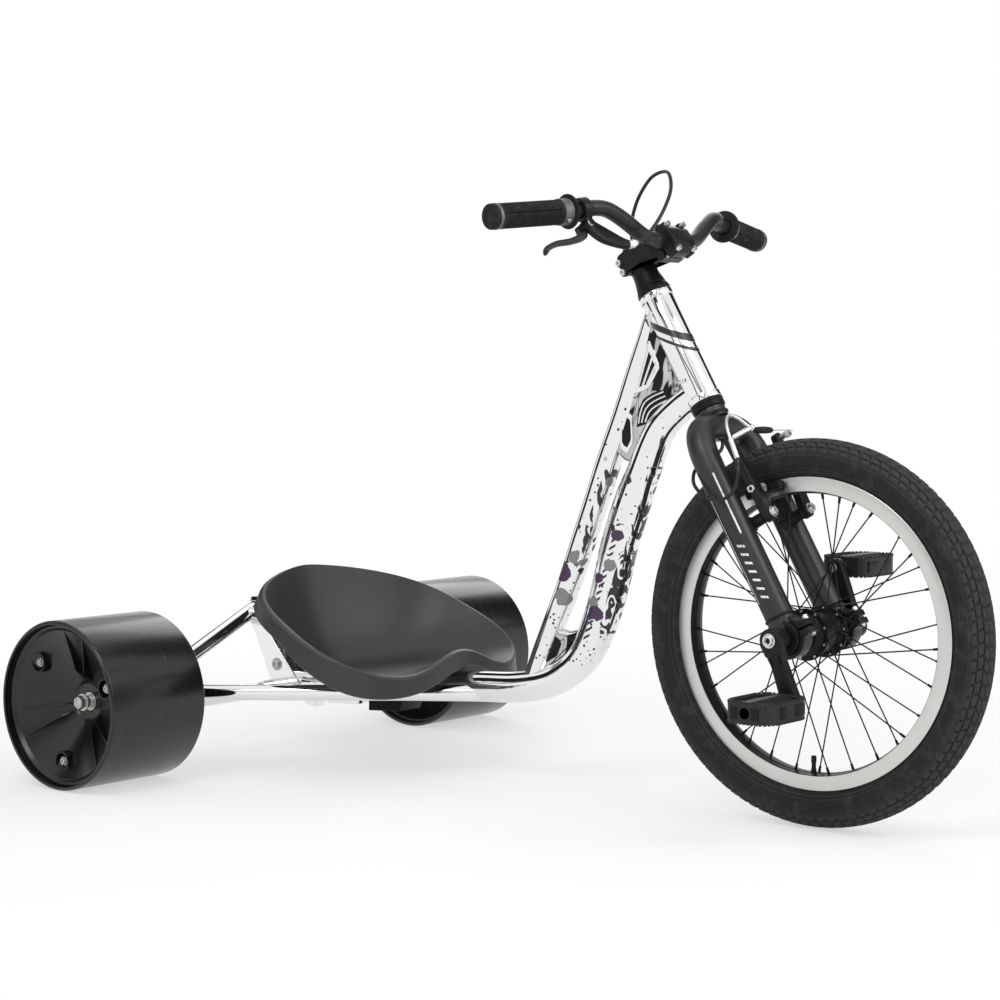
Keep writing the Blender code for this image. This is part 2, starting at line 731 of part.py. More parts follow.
def headset():
    cup_radius = HEAD_TUBE_RADIUS + CUP_LIP
    bore = STEERER_RADIUS + RUNNING
    inside = HEAD_TUBE_RADIUS - HEAD_TUBE_WALL - TOUCH
    lower = turned("lower_headset_cup", [
        (cup_radius, HEAD_TUBE_BOTTOM - TOUCH), (cup_radius, HEAD_TUBE_BOTTOM - CUP_HEIGHT),
        (bore, HEAD_TUBE_BOTTOM - CUP_HEIGHT), (bore, HEAD_TUBE_BOTTOM + CUP_HEIGHT),
        (inside, HEAD_TUBE_BOTTOM + CUP_HEIGHT), (inside, HEAD_TUBE_BOTTOM - TOUCH),
    ], ring=True)
    place(lower, SATIN_BLACK, STEERING)
    upper = turned("upper_headset_cup", [
        (cup_radius - 0.0015, HEAD_TUBE_TOP + CUP_HEIGHT - TOUCH),
        (cup_radius, HEAD_TUBE_TOP + TOUCH), (inside, HEAD_TUBE_TOP + TOUCH),
        (inside, HEAD_TUBE_TOP - CUP_HEIGHT), (bore, HEAD_TUBE_TOP - CUP_HEIGHT),
        (bore, HEAD_TUBE_TOP + CUP_HEIGHT - TOUCH),
    ], ring=True)
    place(upper, SATIN_BLACK, STEERING)


# Rear wheels: a slick sleeve screwed round a ribbed moulded core on two bearings

CORE_SCREW_BOSS = 0.0130
CORE_SCREW_CIRCLE = 0.0870
CORE_RIB_WIDTH = 0.0060
CORE_RIB_DEPTH = 0.0260
CORE_INNER_DISH = 0.0620
REAR_SHOULDER_DEPTH = 0.0180


def wheel_depth(depth):
    """The distance from the trike's middle plane of a depth into a rear wheel's outer face."""
    return REAR_TYRE_OUTER_Y - depth


def rear_sleeve(side, parent):
    inner = REAR_TYRE_RADIUS - SLEEVE_WALL
    profile = ring_profile(
        REAR_TYRE_RADIUS, inner, REAR_TYRE_INNER_Y, REAR_TYRE_OUTER_Y, chamfer=0.0020,
    )
    sleeve = turned(f"rear_sleeve_{side_name(side)}", profile, steps=DRUM_STEPS, ring=True)
    return place(sleeve, GLOSS_BLACK, parent, turn=across(side))


def rear_core(side, parent):
    """The moulded core: a rim, a deep cone down to the hub, and ribs and screw bosses in it."""
    rim = REAR_TYRE_RADIUS - SLEEVE_WALL - TOUCH
    seat = REAR_BEARING_RADIUS + TOUCH
    face, hub_face = wheel_depth(CORE_INSET), wheel_depth(HUB_DEPTH)
    inner_face = REAR_TYRE_INNER_Y + CORE_INSET
    hub_end = REAR_TYRE_INNER_Y + REAR_SHOULDER_DEPTH
    profile = [
        (rim, face), (rim, inner_face), (rim - CORE_WALL, inner_face),
        (rim - CORE_WALL, face - CORE_INNER_DISH), (0.0560, face - CORE_INNER_DISH - 0.0100),
        (HUB_RADIUS, face - CORE_INNER_DISH - 0.0140), (HUB_RADIUS, hub_end), (seat, hub_end),
        (seat, hub_face), (HUB_RADIUS + 0.0080, hub_face), (HUB_RADIUS + 0.0120, hub_face + 0.0040),
        (rim - CORE_WALL - 0.0040, face - 0.0060), (rim - CORE_WALL, face),
    ]
    core = turned(f"rear_core_{side_name(side)}", profile, steps=DRUM_STEPS, ring=True)
    place(core, SATIN_BLACK, parent, turn=across(side))
    for k in range(SLEEVE_SCREWS):
        angle = 2 * math.pi * k / SLEEVE_SCREWS + math.radians(20)
        x, z = CORE_SCREW_CIRCLE * math.cos(angle), CORE_SCREW_CIRCLE * math.sin(angle)
        boss = rod(
            f"core_boss_{k}", (x, side * (face - CORE_INNER_DISH), z),
            (x, side * (face - 0.0160), z), CORE_SCREW_BOSS, 16,
        )
        boss.parent = parent
        weld(core, boss)
        turn = Matrix.Rotation(-angle - math.pi / SLEEVE_SCREWS, 4, "Y")
        middle = turn @ Vector((0.0620, side * (face - 0.0420), 0))
        rib = block(
            f"core_rib_{k}", (0.0840, CORE_RIB_DEPTH, CORE_RIB_WIDTH), middle,
            turn=(0, -angle - math.pi / SLEEVE_SCREWS, 0),
        )
        rib.parent = parent
        weld(core, rib)
    return core


def rear_axle(side):
    """The fixed axle: a shoulder against the end plate, then the two bearings, then the nut."""
    bearing_face = wheel_depth(HUB_DEPTH)
    shoulder_end = REAR_TYRE_INNER_Y + REAR_SHOULDER_DEPTH
    nut_start = bearing_face + AXLE_SPACER_LENGTH + 2 * TOUCH
    tip = nut_start + AXLE_NUT_HEIGHT + 0.0030
    axle = turned(f"rear_axle_{side_name(side)}", rod_profile(
        (REAR_AXLE_RADIUS, tip, shoulder_end),
        (AXLE_SHOULDER_RADIUS, shoulder_end - TOUCH, DROPOUT_OUTER_Y + TOUCH),
        (REAR_AXLE_RADIUS, DROPOUT_OUTER_Y, DROPOUT_INNER_Y + TOUCH),
    ), steps=SECTION_POINTS)
    place(axle, ZINC_STEEL, None, (REAR_X, 0, REAR_TYRE_RADIUS), across(side))
    bore = REAR_AXLE_RADIUS + TOUCH
    spacer = turned(f"axle_spacer_{side_name(side)}", ring_profile(
        AXLE_SPACER_RADIUS, bore, bearing_face + TOUCH, bearing_face + AXLE_SPACER_LENGTH,
    ), steps=SECTION_POINTS, ring=True)
    place(spacer, MACHINED_ALLOY, None, (REAR_X, 0, REAR_TYRE_RADIUS), across(side))
    ends = [(REAR_X, side * y, REAR_TYRE_RADIUS) for y in (nut_start, nut_start + AXLE_NUT_HEIGHT)]
    nut = rod(f"axle_nut_{side_name(side)}", *ends, AXLE_NUT_RADIUS, 6)
    place(nut, ZINC_STEEL)
    ends = [(REAR_X, side * y, REAR_TYRE_RADIUS) for y in (bearing_face, tip + AXLE_NUT_HEIGHT)]
    cut(nut, rod(f"axle_nut_bore_{side_name(side)}", *ends, bore + TOUCH, SECTION_POINTS))


def rear_bearings(side, parent):
    bore = REAR_AXLE_RADIUS + TOUCH
    outer_face = wheel_depth(HUB_DEPTH)
    inner_face = REAR_TYRE_INNER_Y + REAR_SHOULDER_DEPTH
    places = {"outer": outer_face - REAR_BEARING_WIDTH, "inner": inner_face + TOUCH}
    for name, start in places.items():
        bearing = turned(f"rear_bearing_{name}_{side_name(side)}", ring_profile(
            REAR_BEARING_RADIUS, bore, start, start + REAR_BEARING_WIDTH,
        ), steps=SECTION_POINTS, ring=True)
        place(bearing, ZINC_STEEL, parent, turn=across(side))


def rear_wheel(side):
    spin = new_empty(f"rear_wheel_axis_{side_name(side)}", (REAR_X, 0, REAR_TYRE_RADIUS))
    rear_sleeve(side, spin)
    rear_core(side, spin)
    rear_bearings(side, spin)
    rear_axle(side)


# Seat: one moulded bucket with a raised pommel in front and a rolled-down edge all round

SEAT_AROUND = 30
SEAT_BOWL_STEPS = (0.0, 0.30, 0.50, 0.65, 0.77, 0.87, 0.95)
SEAT_LIP_CURVE = ((0.0, 0.0), (0.0055, -0.0015), (0.0105, -0.0070))
SEAT_BOWL_POWER = 4.0
# How square the crest is: its powers along the trike, and across it at the back and the front
SEAT_POWER_ALONG = 0.70
SEAT_POWER_BACK = 1.57
SEAT_POWER_FRONT = 0.69
SEAT_FRONT_WIDENING = 0.135
SEAT_SLOPE_POWER = 1.065


def seat_crest(angle):
    """The crest of the seat's edge at an angle round it, from the rear axle."""
    front_x = BEND_END_X - SEAT_FRONT_GAP
    centre_x, half_length = (front_x + SEAT_BACK_X) / 2, (front_x - SEAT_BACK_X) / 2
    cosine, sine = math.cos(angle), math.sin(angle)
    ahead = math.copysign(abs(cosine) ** SEAT_POWER_ALONG, cosine)
    share = (ahead + 1) / 2
    power = SEAT_POWER_BACK + (SEAT_POWER_FRONT - SEAT_POWER_BACK) * share
    half_width = SEAT_HALF_WIDTH * (1 + SEAT_FRONT_WIDENING * ahead)
    y = half_width * math.copysign(abs(sine) ** power, sine)
    back = main_tube_height(SEAT_BACK_X) + SEAT_BACK_RISE
    front = main_tube_height(front_x) + SEAT_FRONT_RISE
    z = back + (front - back) * share ** SEAT_SLOPE_POWER
    z += SEAT_POMMEL_RISE * math.exp(-(y / SEAT_POMMEL_WIDTH) ** 2) * max(ahead, 0.0) ** 3
    return Vector((centre_x + half_length * ahead, y, z))


def seat_floor(x):
    """The height where the bowl's inner face rests its wall on the main tube."""
    return main_tube_height(x) + MAIN_TUBE_RADIUS + SEAT_WALL + 2 * TOUCH


def seat_angles():
    """Angles that divide the crest's length evenly, so that its corners get enough points."""
    fine = np.linspace(0, 2 * math.pi, 1441)
    crest = np.array([seat_crest(angle) for angle in fine])
    along = np.concatenate([[0], np.cumsum(np.linalg.norm(np.diff(crest, axis=0), axis=1))])
    even = (np.arange(SEAT_AROUND) + 0.5) * along[-1] / SEAT_AROUND
    return np.interp(even, along, fine)


def seat():
    front_x = BEND_END_X - SEAT_FRONT_GAP
    deepest_x = (front_x + SEAT_BACK_X) / 2
    deepest = Vector((deepest_x, 0, seat_floor(deepest_x)))
    rings = [[] for _ in range(len(SEAT_BOWL_STEPS) + len(SEAT_LIP_CURVE) + 1)]
    for angle in seat_angles():
        crest = seat_crest(angle)
        length, width = front_x - SEAT_BACK_X, 2 * SEAT_HALF_WIDTH
        out = Vector((math.cos(angle) / length, math.sin(angle) / width, 0))
        out.normalize()
        for ring, step in zip(rings, SEAT_BOWL_STEPS):
            point = deepest.lerp(crest, step)
            floor = seat_floor(point.x)
            point.z = floor + (crest.z - seat_floor(crest.x)) * step ** SEAT_BOWL_POWER
            ring.append(point)
        corner = max(math.cos(angle), 0.0) * math.sin(angle) ** 2
        drop = SEAT_LIP_DROP + SEAT_CORNER_DROP * 2 * corner
        lip = SEAT_LIP_CURVE + ((SEAT_LIP_OUT, -drop),)
        for ring, (outwards, rise) in zip(rings[len(SEAT_BOWL_STEPS):], lip):
            ring.append(crest + out * outwards + Vector((0, 0, rise)))
    rings = [behind_origin(ring) for ring in rings[1:]]
    shell = loft("seat", rings, closed_ends=False)
    bm = bmesh.new()
    bm.from_mesh(shell.data)
    bm.verts.ensure_lookup_table()
    first = [bm.verts[k] for k in range(SEAT_AROUND)]
    centre = bm.verts.new((REAR_X + deepest.x, deepest.y, deepest.z))
    for k in range(SEAT_AROUND):
        bm.faces.new((centre, first[k], first[(k + 1) % SEAT_AROUND]))
    bmesh.ops.recalc_face_normals(bm, faces=bm.faces)
    bm.to_mesh(shell.data)
    bm.free()
    wall = shell.modifiers.new("wall", "SOLIDIFY")
    wall.thickness = SEAT_WALL
    wall.offset = -1
    return place(shell, SEAT_BLACK)


headset()
rear_wheel(-1)
rear_wheel(1)
seat()


# Front wheel: tyre, rim, and a hub laced with crossed spokes, turning on the crank spindle

TYRE_CROWN_RADIUS = FRONT_TYRE_RADIUS - TYRE_SECTION_RADIUS
RIM_FLANGE = 0.0022


def tyre():
    bed = RIM_RADIUS - RIM_BED_DEPTH + TOUCH
    bead = RIM_HALF_WIDTH - RIM_FLANGE - TOUCH
    wall_end = math.radians(122)
    profile = [
        (TYRE_CROWN_RADIUS + TYRE_SECTION_RADIUS * math.cos(angle),
         TYRE_SECTION_RADIUS * math.sin(angle))
        for angle in np.linspace(wall_end, -wall_end, 11)
    ]
    edge = (RIM_RADIUS + 2 * TOUCH, RIM_HALF_WIDTH - RIM_FLANGE)
    profile += [(edge[0], -edge[1]), (bed, -bead), (bed, bead), edge]
    wheel = turned("front_tyre", profile, steps=WHEEL_STEPS, ring=True)
    place(wheel, TYRE_RUBBER, FRONT_AXLE, turn=across(1))


def rim():
    bed = RIM_RADIUS - RIM_BED_DEPTH
    flange = RIM_HALF_WIDTH - RIM_FLANGE
    track_foot = RIM_RADIUS - RIM_TRACK
    half = [
        (RIM_INNER_RADIUS, RIM_SPOKE_BED), (track_foot, RIM_HALF_WIDTH),
        (RIM_RADIUS, RIM_HALF_WIDTH), (RIM_RADIUS, flange), (bed, flange),
    ]
    profile = half + [(radius, -height) for radius, height in reversed(half)]
    wheel = turned("front_rim", profile, steps=WHEEL_STEPS, ring=True)
    place(wheel, MACHINED_ALLOY, FRONT_AXLE, turn=across(1))
    valve = turned("valve", rod_profile(
        (VALVE_RADIUS, 0.0, 0.0090 - VALVE_LENGTH),
        (VALVE_RADIUS * 1.2, 0.0090 - VALVE_LENGTH, -VALVE_LENGTH),
    ), steps=12)
    top = -RIM_INNER_RADIUS * math.cos(math.pi / WHEEL_STEPS) + TOUCH + VALVE_LENGTH
    place(valve, SATIN_BLACK, FRONT_AXLE, (0, 0, top))


def spokes():
    """All the spokes as one helper: three crosses a side, heads out and heads in by turns."""
    bm = bmesh.new()
    rim_reach = RIM_INNER_RADIUS * math.cos(math.pi / WHEEL_STEPS) - 2 * TOUCH
    a_side = SPOKE_COUNT // 2
    for k in range(SPOKE_COUNT):
        side = 1 if k % 2 else -1
        lead = 1 if (k // 2) % 2 else -1
        angle = 2 * math.pi * (k // 2) / a_side + (math.pi / a_side if side > 0 else 0)
        rim_angle = angle + lead * SPOKE_CROSS
        start = Vector((
            (HUB_FLANGE_RADIUS - 0.0035) * math.cos(angle),
            side * (HUB_FLANGE_Y + lead * 0.0019),
            (HUB_FLANGE_RADIUS - 0.0035) * math.sin(angle),
        ))
        end = Vector((
            rim_reach * math.cos(rim_angle), side * (0.0038 + lead * 0.0008),
            rim_reach * math.sin(rim_angle),
        ))
        run = end - start
        turn = run.to_track_quat("Z", "Y").to_matrix().to_4x4()
        matrix = Matrix.Translation((start + end) / 2) @ turn
        bmesh.ops.create_cone(
            bm, cap_ends=True, segments=3, radius1=SPOKE_RADIUS, radius2=SPOKE_RADIUS,
            depth=run.length, matrix=matrix,
        )
    return from_bmesh("spokes", bm)


def hub():
    outer = HUB_FLANGE_Y + HUB_FLANGE_THICKNESS / 2
    inner = HUB_FLANGE_Y - HUB_FLANGE_THICKNESS / 2
    half = [
        (HUB_END_RADIUS, HUB_END_Y), (HUB_END_RADIUS, outer + 0.0040),
        (HUB_SHELL_RADIUS - 0.0020, outer), (HUB_FLANGE_RADIUS, outer), (HUB_FLANGE_RADIUS, inner),
        (HUB_SHELL_RADIUS, inner),
    ]
    profile = half + [(radius, -height) for radius, height in reversed(half)]
    bore = SPINDLE_RADIUS + RUNNING
    profile += [(bore, -HUB_END_Y), (bore, HUB_END_Y)]
    shell = turned("front_hub", profile, steps=ROUND, ring=True)
    place(shell, SATIN_BLACK, FRONT_AXLE, turn=across(1))
    lacing = spokes()
    lacing.parent = FRONT_AXLE
    weld(shell, lacing)


# Fork: two straight legs bent into a broad crown, a hollow steerer and split clamps at the ends

CROWN_SHOULDER = (
    (LEG_Y, LEG_STRAIGHT_TOP), (0.0610, CROWN_HEIGHT - 0.0330), (0.0490, CROWN_HEIGHT - 0.0100),
    (0.0260, CROWN_HEIGHT),
)
CROWN_ROUTE = tuple(
    [(0, -y, z) for y, z in CROWN_SHOULDER] + [(0, 0, CROWN_HEIGHT)]
    + [(0, y, z) for y, z in reversed(CROWN_SHOULDER)]
)
LEG_END = 0.0100
CROWN_RACE_RADIUS = 0.0215
CROWN_RACE_BOTTOM = CROWN_HEIGHT + 0.0120
CABLE_HOLE_RADIUS = 0.0060


def fork():
    crown = smooth_route(CROWN_ROUTE, 13)
    legs = [(0, -LEG_Y, LEG_END)] + crown + [(0, LEG_Y, LEG_END)]
    body = tube_mesh("fork", legs, LEG_RADIUS, resolution=4)
    place(body, SATIN_BLACK, STEERING)
    race_top = HEAD_TUBE_BOTTOM - CUP_HEIGHT - TOUCH
    weld(
        body,
        rod("crown_race", (0, 0, CROWN_RACE_BOTTOM), (0, 0, race_top), CROWN_RACE_RADIUS, ROUND),
        rod("steerer", (0, 0, CROWN_HEIGHT), (0, 0, STEERER_TOP), STEERER_RADIUS, ROUND),
    )
    for side in (-1, 1):
        name = side_name(side)
        clamp = HOUSING_RADIUS + TOUCH + CLAMP_WALL
        saddle = rod(
            f"fork_clamp_{name}", (0, side * LEG_Y - CLAMP_WIDTH / 2, 0),
            (0, side * LEG_Y + CLAMP_WIDTH / 2, 0), clamp, ROUND,
        )
        ears = block(
            f"fork_ears_{name}", (2 * (clamp + CLAMP_EAR), CLAMP_WIDTH * 0.8, CLAMP_WALL * 2.4),
            (0, side * LEG_Y, CLAMP_WALL * 0.9),
        )
        boss = rod(
            f"brake_boss_{name}", (0, side * BOSS_Y, BOSS_Z), (BOSS_FRONT, side * BOSS_Y, BOSS_Z),
            BOSS_RADIUS, SECTION_POINTS,
        )
        stud = rod(
            f"brake_stud_{name}", (BOSS_FRONT - 0.005, side * BOSS_Y, BOSS_Z),
            (ARM_BACK + ARM_THICKNESS + TOUCH, side * BOSS_Y, BOSS_Z), STUD_RADIUS, 16,
        )
        weld(body, saddle, ears, boss, stud)
        split = block(
            f"fork_split_{name}", SPLIT_BLOCK,
            (0, side * LEG_Y, (CLAMP_SPLIT - SPLIT_BLOCK[2]) / 2),
        )
        seat_bore = rod(
            f"housing_bore_{name}", (0, side * (LEG_Y - 0.03), 0), (0, side * (LEG_Y + 0.03), 0),
            HOUSING_RADIUS + TOUCH, ROUND,
        )
        cut(body, split, seat_bore)
    steerer_bore = rod(
        "steerer_bore", (0, 0, CROWN_RACE_BOTTOM), (0, 0, STEERER_TOP + 0.01),
        STEERER_RADIUS - STEERER_WALL, ROUND,
    )
    cable_hole = rod(
        "cable_hole", (0, 0, CROWN_HEIGHT - 0.04), (0, 0, CROWN_RACE_BOTTOM + 0.005),
        CABLE_HOLE_RADIUS, 16,
    )
    cut(body, steerer_bore, cable_hole)


# Larger than the clamp, so that it takes away a whole half of it
SPLIT_BLOCK = (0.1200, 0.0500, 0.0600)


def fork_end(side):
    """What each fork end clamps: a bearing housing, its bearing, and the clamp's lower half."""
    name = side_name(side)
    bore = CRANK_BEARING_RADIUS + TOUCH
    lip = HOUSING_OUTER_Y - 0.0030
    housing = turned(f"axle_housing_{name}", [
        (HOUSING_RADIUS, HOUSING_OUTER_Y), (HOUSING_RADIUS, HOUSING_INNER_Y),
        (bore, HOUSING_INNER_Y), (bore, lip), (SPINDLE_RADIUS + RUNNING, lip),
        (SPINDLE_RADIUS + RUNNING, HOUSING_OUTER_Y),
    ], ring=True)
    place(housing, SATIN_BLACK, STEERING, turn=across(side))
    bearing = turned(f"crank_bearing_{name}", ring_profile(
        CRANK_BEARING_RADIUS, SPINDLE_RADIUS + TOUCH, lip - CRANK_BEARING_WIDTH - TOUCH,
        lip - TOUCH,
    ), steps=SECTION_POINTS, ring=True)
    place(bearing, ZINC_STEEL, STEERING, turn=across(side))
    clamp = HOUSING_RADIUS + TOUCH + CLAMP_WALL
    cap = rod(
        f"clamp_cap_{name}", (0, side * LEG_Y - CLAMP_WIDTH / 2, 0),
        (0, side * LEG_Y + CLAMP_WIDTH / 2, 0), clamp, ROUND,
    )
    place(cap, GREY_ALLOY, STEERING)
    weld(cap, block(
        f"cap_ears_{name}", (2 * (clamp + CLAMP_EAR), CLAMP_WIDTH * 0.8, CLAMP_WALL * 2.4),
        (0, side * LEG_Y, -CLAMP_WALL * 0.9),
    ))
    cut(
        cap,
        block(
            f"cap_split_{name}", SPLIT_BLOCK,
            (0, side * LEG_Y, (SPLIT_BLOCK[2] - CLAMP_SPLIT) / 2),
        ),
        rod(
            f"cap_bore_{name}", (0, side * (LEG_Y - 0.03), 0), (0, side * (LEG_Y + 0.03), 0),
            HOUSING_RADIUS + TOUCH, ROUND,
        ),
    )


# Cranks and pedals

def taper_outline(start, start_radius, end, end_radius, arc_points=8):
    """The outline of a bar with two round ends of unlike radius, in plane coordinates."""
    (u0, v0), (u1, v1) = start, end
    heading = math.atan2(v1 - v0, u1 - u0)
    spread = math.acos((start_radius - end_radius) / math.hypot(u1 - u0, v1 - v0))
    outline = []
    for angle in np.linspace(spread, 2 * math.pi - spread, arc_points):
        outline.append((
            u0 + start_radius * math.cos(heading + angle),
            v0 + start_radius * math.sin(heading + angle),
        ))
    for angle in np.linspace(-spread, spread, arc_points):
        outline.append((
            u1 + end_radius * math.cos(heading + angle),
            v1 + end_radius * math.sin(heading + angle),
        ))
    return outline


def crank_spindle():
    taper = SPINDLE_RADIUS - 0.0010
    end = CRANK_INNER_Y + CRANK_THICKNESS - TOUCH
    start = HOUSING_OUTER_Y + 0.0020
    spindle = turned("crank_spindle", rod_profile(
        (taper, end, start), (SPINDLE_RADIUS, start, -start), (taper, -start, -end),
    ), steps=SECTION_POINTS)
    place(spindle, ZINC_STEEL, CRANKS, turn=across(1))


def crank(side):
    name = side_name(side)
    reach = -side * CRANK_LENGTH
    middle = CRANK_INNER_Y + CRANK_THICKNESS / 2
    outline = taper_outline((0, 0), CRANK_BOSS_RADIUS, (reach, 0), CRANK_END_RADIUS)
    arm = plate(
        f"crank_{name}", outline, CRANK_THICKNESS, offset=side * middle,
    )
    place(arm, SATIN_BLACK, CRANKS)
    collar = rod(
        f"crank_collar_{name}", (0, side * (HOUSING_OUTER_Y + 0.0030), 0), (0, side * middle, 0),
        CRANK_BOSS_RADIUS - 0.0010, ROUND,
    )
    weld(arm, collar)
    past = CRANK_INNER_Y + 2 * CRANK_THICKNESS
    cut(
        arm,
        rod(
            f"crank_bore_{name}", (0, side * (HOUSING_OUTER_Y - 0.01), 0), (0, side * past, 0),
            SPINDLE_RADIUS - 0.0010 + TOUCH, SECTION_POINTS,
        ),
        rod(
            f"pedal_hole_{name}", (reach, side * HOUSING_OUTER_Y, 0), (reach, side * past, 0),
            PEDAL_AXLE_RADIUS + TOUCH, SECTION_POINTS,
        ),
    )
    face = CRANK_INNER_Y + CRANK_THICKNESS + TOUCH
    bolt = turned(f"crank_bolt_{name}", rod_profile(
        (0.0075, face + CRANK_BOLT_HEIGHT, face + 0.0015), (0.0095, face + 0.0015, face),
    ), steps=SECTION_POINTS)
    place(bolt, ZINC_STEEL, CRANKS, turn=across(side))
    cut(bolt, rod(
        f"bolt_socket_{name}", (0, side * (face + 0.0020), 0), (0, side * (face + 0.02), 0),
        0.0042, 6,
    ))
    axle = turned(f"pedal_axle_{name}", rod_profile(
        (PEDAL_AXLE_RADIUS, PEDAL_INNER_Y + PEDAL_WIDTH - 0.0040, PEDAL_INNER_Y - 2 * TOUCH),
        (0.0085, PEDAL_INNER_Y - 2 * TOUCH, face),
        (PEDAL_AXLE_RADIUS, face, CRANK_INNER_Y + TOUCH),
    ), steps=SECTION_POINTS)
    place(axle, ZINC_STEEL, CRANKS, (reach, 0, 0), across(side))


def pedal(side):
    """A resin cage round a barrel, open above and below its four windows."""
    name = side_name(side)
    reach = -side * CRANK_LENGTH
    spot = (
        FRONT_X + reach * math.cos(CRANK_REST_ANGLE), 0,
        FRONT_TYRE_RADIUS - reach * math.sin(CRANK_REST_ANGLE),
    )
    axis = new_empty(f"pedal_axis_{name}", spot)
    middle = side * (PEDAL_INNER_Y + PEDAL_WIDTH / 2)
    cage = block(
        f"pedal_{name}", (PEDAL_LENGTH, PEDAL_WIDTH, PEDAL_HEIGHT), (0, middle, 0), bevel=0.0030,
    )
    place(cage, SATIN_BLACK, axis)
    window = (PEDAL_LENGTH / 2 - PEDAL_BARREL_RADIUS - 0.0080, PEDAL_WIDTH / 2 - 0.0105, 0.05)
    for lengthways in (-1, 1):
        for sideways in (-1, 1):
            centre = (
                lengthways * (PEDAL_BARREL_RADIUS + window[0] / 2 + 0.0010),
                middle + sideways * (window[1] / 2 + 0.0035), 0,
            )
            cut(cage, block(f"pedal_window_{name}", window, centre))
    cut(cage, rod(
        f"pedal_bore_{name}", (0, side * (PEDAL_INNER_Y - 0.01), 0),
        (0, side * (PEDAL_INNER_Y + PEDAL_WIDTH - 0.0030), 0), PEDAL_AXLE_RADIUS + TOUCH,
        SECTION_POINTS,
    ))


tyre()
rim()
hub()
fork()
crank_spindle()
for each_side in (-1, 1):
    fork_end(each_side)
    crank(each_side)
    pedal(each_side)


# Cockpit: headset spacer, stem, handlebar, grips and brake lever, all in the fork's axes

# The cockpit's heights are from the top of the head tube, the brake's and the cable's lower end
# from the height of the front tyre.


def raised(point, height):
    """A point with a height added to its last coordinate."""
    return (*point[:-1], point[-1] + height)


def all_raised(points, height):
    return [raised(point, height) for point in points]


# (distance from the middle, x, z), from the clamp to the start of the straight grip
BAR_ROUTE = all_raised((
    (0.0000, BAR_CLAMP_X, BAR_CLAMP_RISE), (0.0350, BAR_CLAMP_X, BAR_CLAMP_RISE),
    (0.0600, 0.0580, 0.0600), (0.0950, 0.0615, 0.0810), (0.1250, 0.0625, 0.0940),
    (0.1500, 0.0570, 0.0965),
), HEAD_TUBE_TOP)
BAR_BEND_END = raised((0.0465, 0.1750, 0.0962), HEAD_TUBE_TOP)
BAR_TIP = raised((0.0137, 0.3205, 0.0983), HEAD_TUBE_TOP)
BAR_CLAMP_HALF = 0.0350
BAR_TAPER_END = 0.0460
STEM_OUTLINE = all_raised((
    (-0.0225, 0.0418), (-0.0260, 0.0460), (-0.0260, 0.0750), (-0.0205, 0.0805), (0.0160, 0.0805),
    (0.0330, 0.0745), (0.0545, 0.0735), (0.0545, 0.0305), (0.0400, 0.0310), (0.0200, 0.0418),
), HEAD_TUBE_TOP)
FACEPLATE_OUTLINE = all_raised((
    (0.0575, 0.0305), (0.0575, 0.0735), (0.0660, 0.0735), (0.0770, 0.0620), (0.0790, 0.0430),
    (0.0700, 0.0305),
), HEAD_TUBE_TOP)
FACEPLATE_FRONT_X = 0.0790
STEM_SLOT = 0.0020
STEM_BOLT_Y = 0.0165
STEM_BOLT_Z = 0.0168
STEM_BOLT_RADIUS = 0.0036
PERCH_Y = 0.1640
PERCH_X = 0.0512
PERCH_Z = HEAD_TUBE_TOP + 0.0963
LEVER_PIVOT = raised((0.0400, -0.1650, 0.0740), HEAD_TUBE_TOP)
LEVER_HUB_RADIUS = 0.0065
LEVER_HUB_WIDTH = 0.0100
LEVER_PIN_RADIUS = 0.0028
# From the lever's pivot, out along the grip
LEVER_ROUTE = (
    (0.0000, 0.0000, 0.0000), (-0.0030, -0.0150, -0.0110), (-0.0100, -0.0400, -0.0190),
    (-0.0170, -0.0700, -0.0270), (-0.0190, -0.0930, -0.0310),
)
LEVER_WIDTHS = (0.0060, 0.0055, 0.0050, 0.0045, 0.0050)
PERCH_ROUTE = all_raised((
    (0.0500, -0.1640, 0.0830), (0.0500, -0.1540, 0.0710), (0.0550, -0.1280, 0.0560),
    (0.0630, -0.1060, 0.0410),
), HEAD_TUBE_TOP)
PERCH_WIDTHS = (0.0085, 0.0080, 0.0068, 0.0056)
BARREL_TIP = raised((0.0700, -0.0935, 0.0418), HEAD_TUBE_TOP)
BARREL_RADIUS = 0.0044
# From the barrel adjuster over the bar to the hollow steerer
CABLE_LOOP = all_raised((
    (0.0708, -0.0922, 0.0421), (0.0835, -0.0780, 0.0495), (0.0988, -0.0590, 0.0675),
    (0.1105, -0.0320, 0.0978), (0.1110, -0.0160, 0.1250), (0.0993, -0.0080, 0.1384),
    (0.0756, -0.0030, 0.1440), (0.0461, 0.0000, 0.1350), (0.0246, 0.0000, 0.1192),
    (0.0100, 0.0000, 0.1010), (0.0010, 0.0000, 0.0750), (0.0000, 0.0000, 0.0350),
), HEAD_TUBE_TOP)
# Down through the steerer and round the right fork leg to the noodle
CABLE_TAIL = all_raised((
    (0.0000, 0.0000, 0.2400), (0.0000, 0.0000, 0.1600), (0.0000, 0.0000, 0.0900),
    (0.0000, 0.0000, 0.0460), (-0.0040, -0.0050, 0.0250), (-0.0120, -0.0200, 0.0160),
    (-0.0220, -0.0420, 0.0100), (-0.0260, -0.0630, 0.0000), (-0.0215, -0.0840, -0.0220),
    (-0.0060, -0.0940, -0.0480), (0.0130, -0.0930, -0.0610), (0.0330, -0.0910, -0.0590),
    (0.0470, -0.0870, -0.0440), (0.0533, -0.0816, -0.0250), (0.05384, -0.08099, -0.0227),
), FRONT_TYRE_RADIUS)
CABLE_POINTS = 58


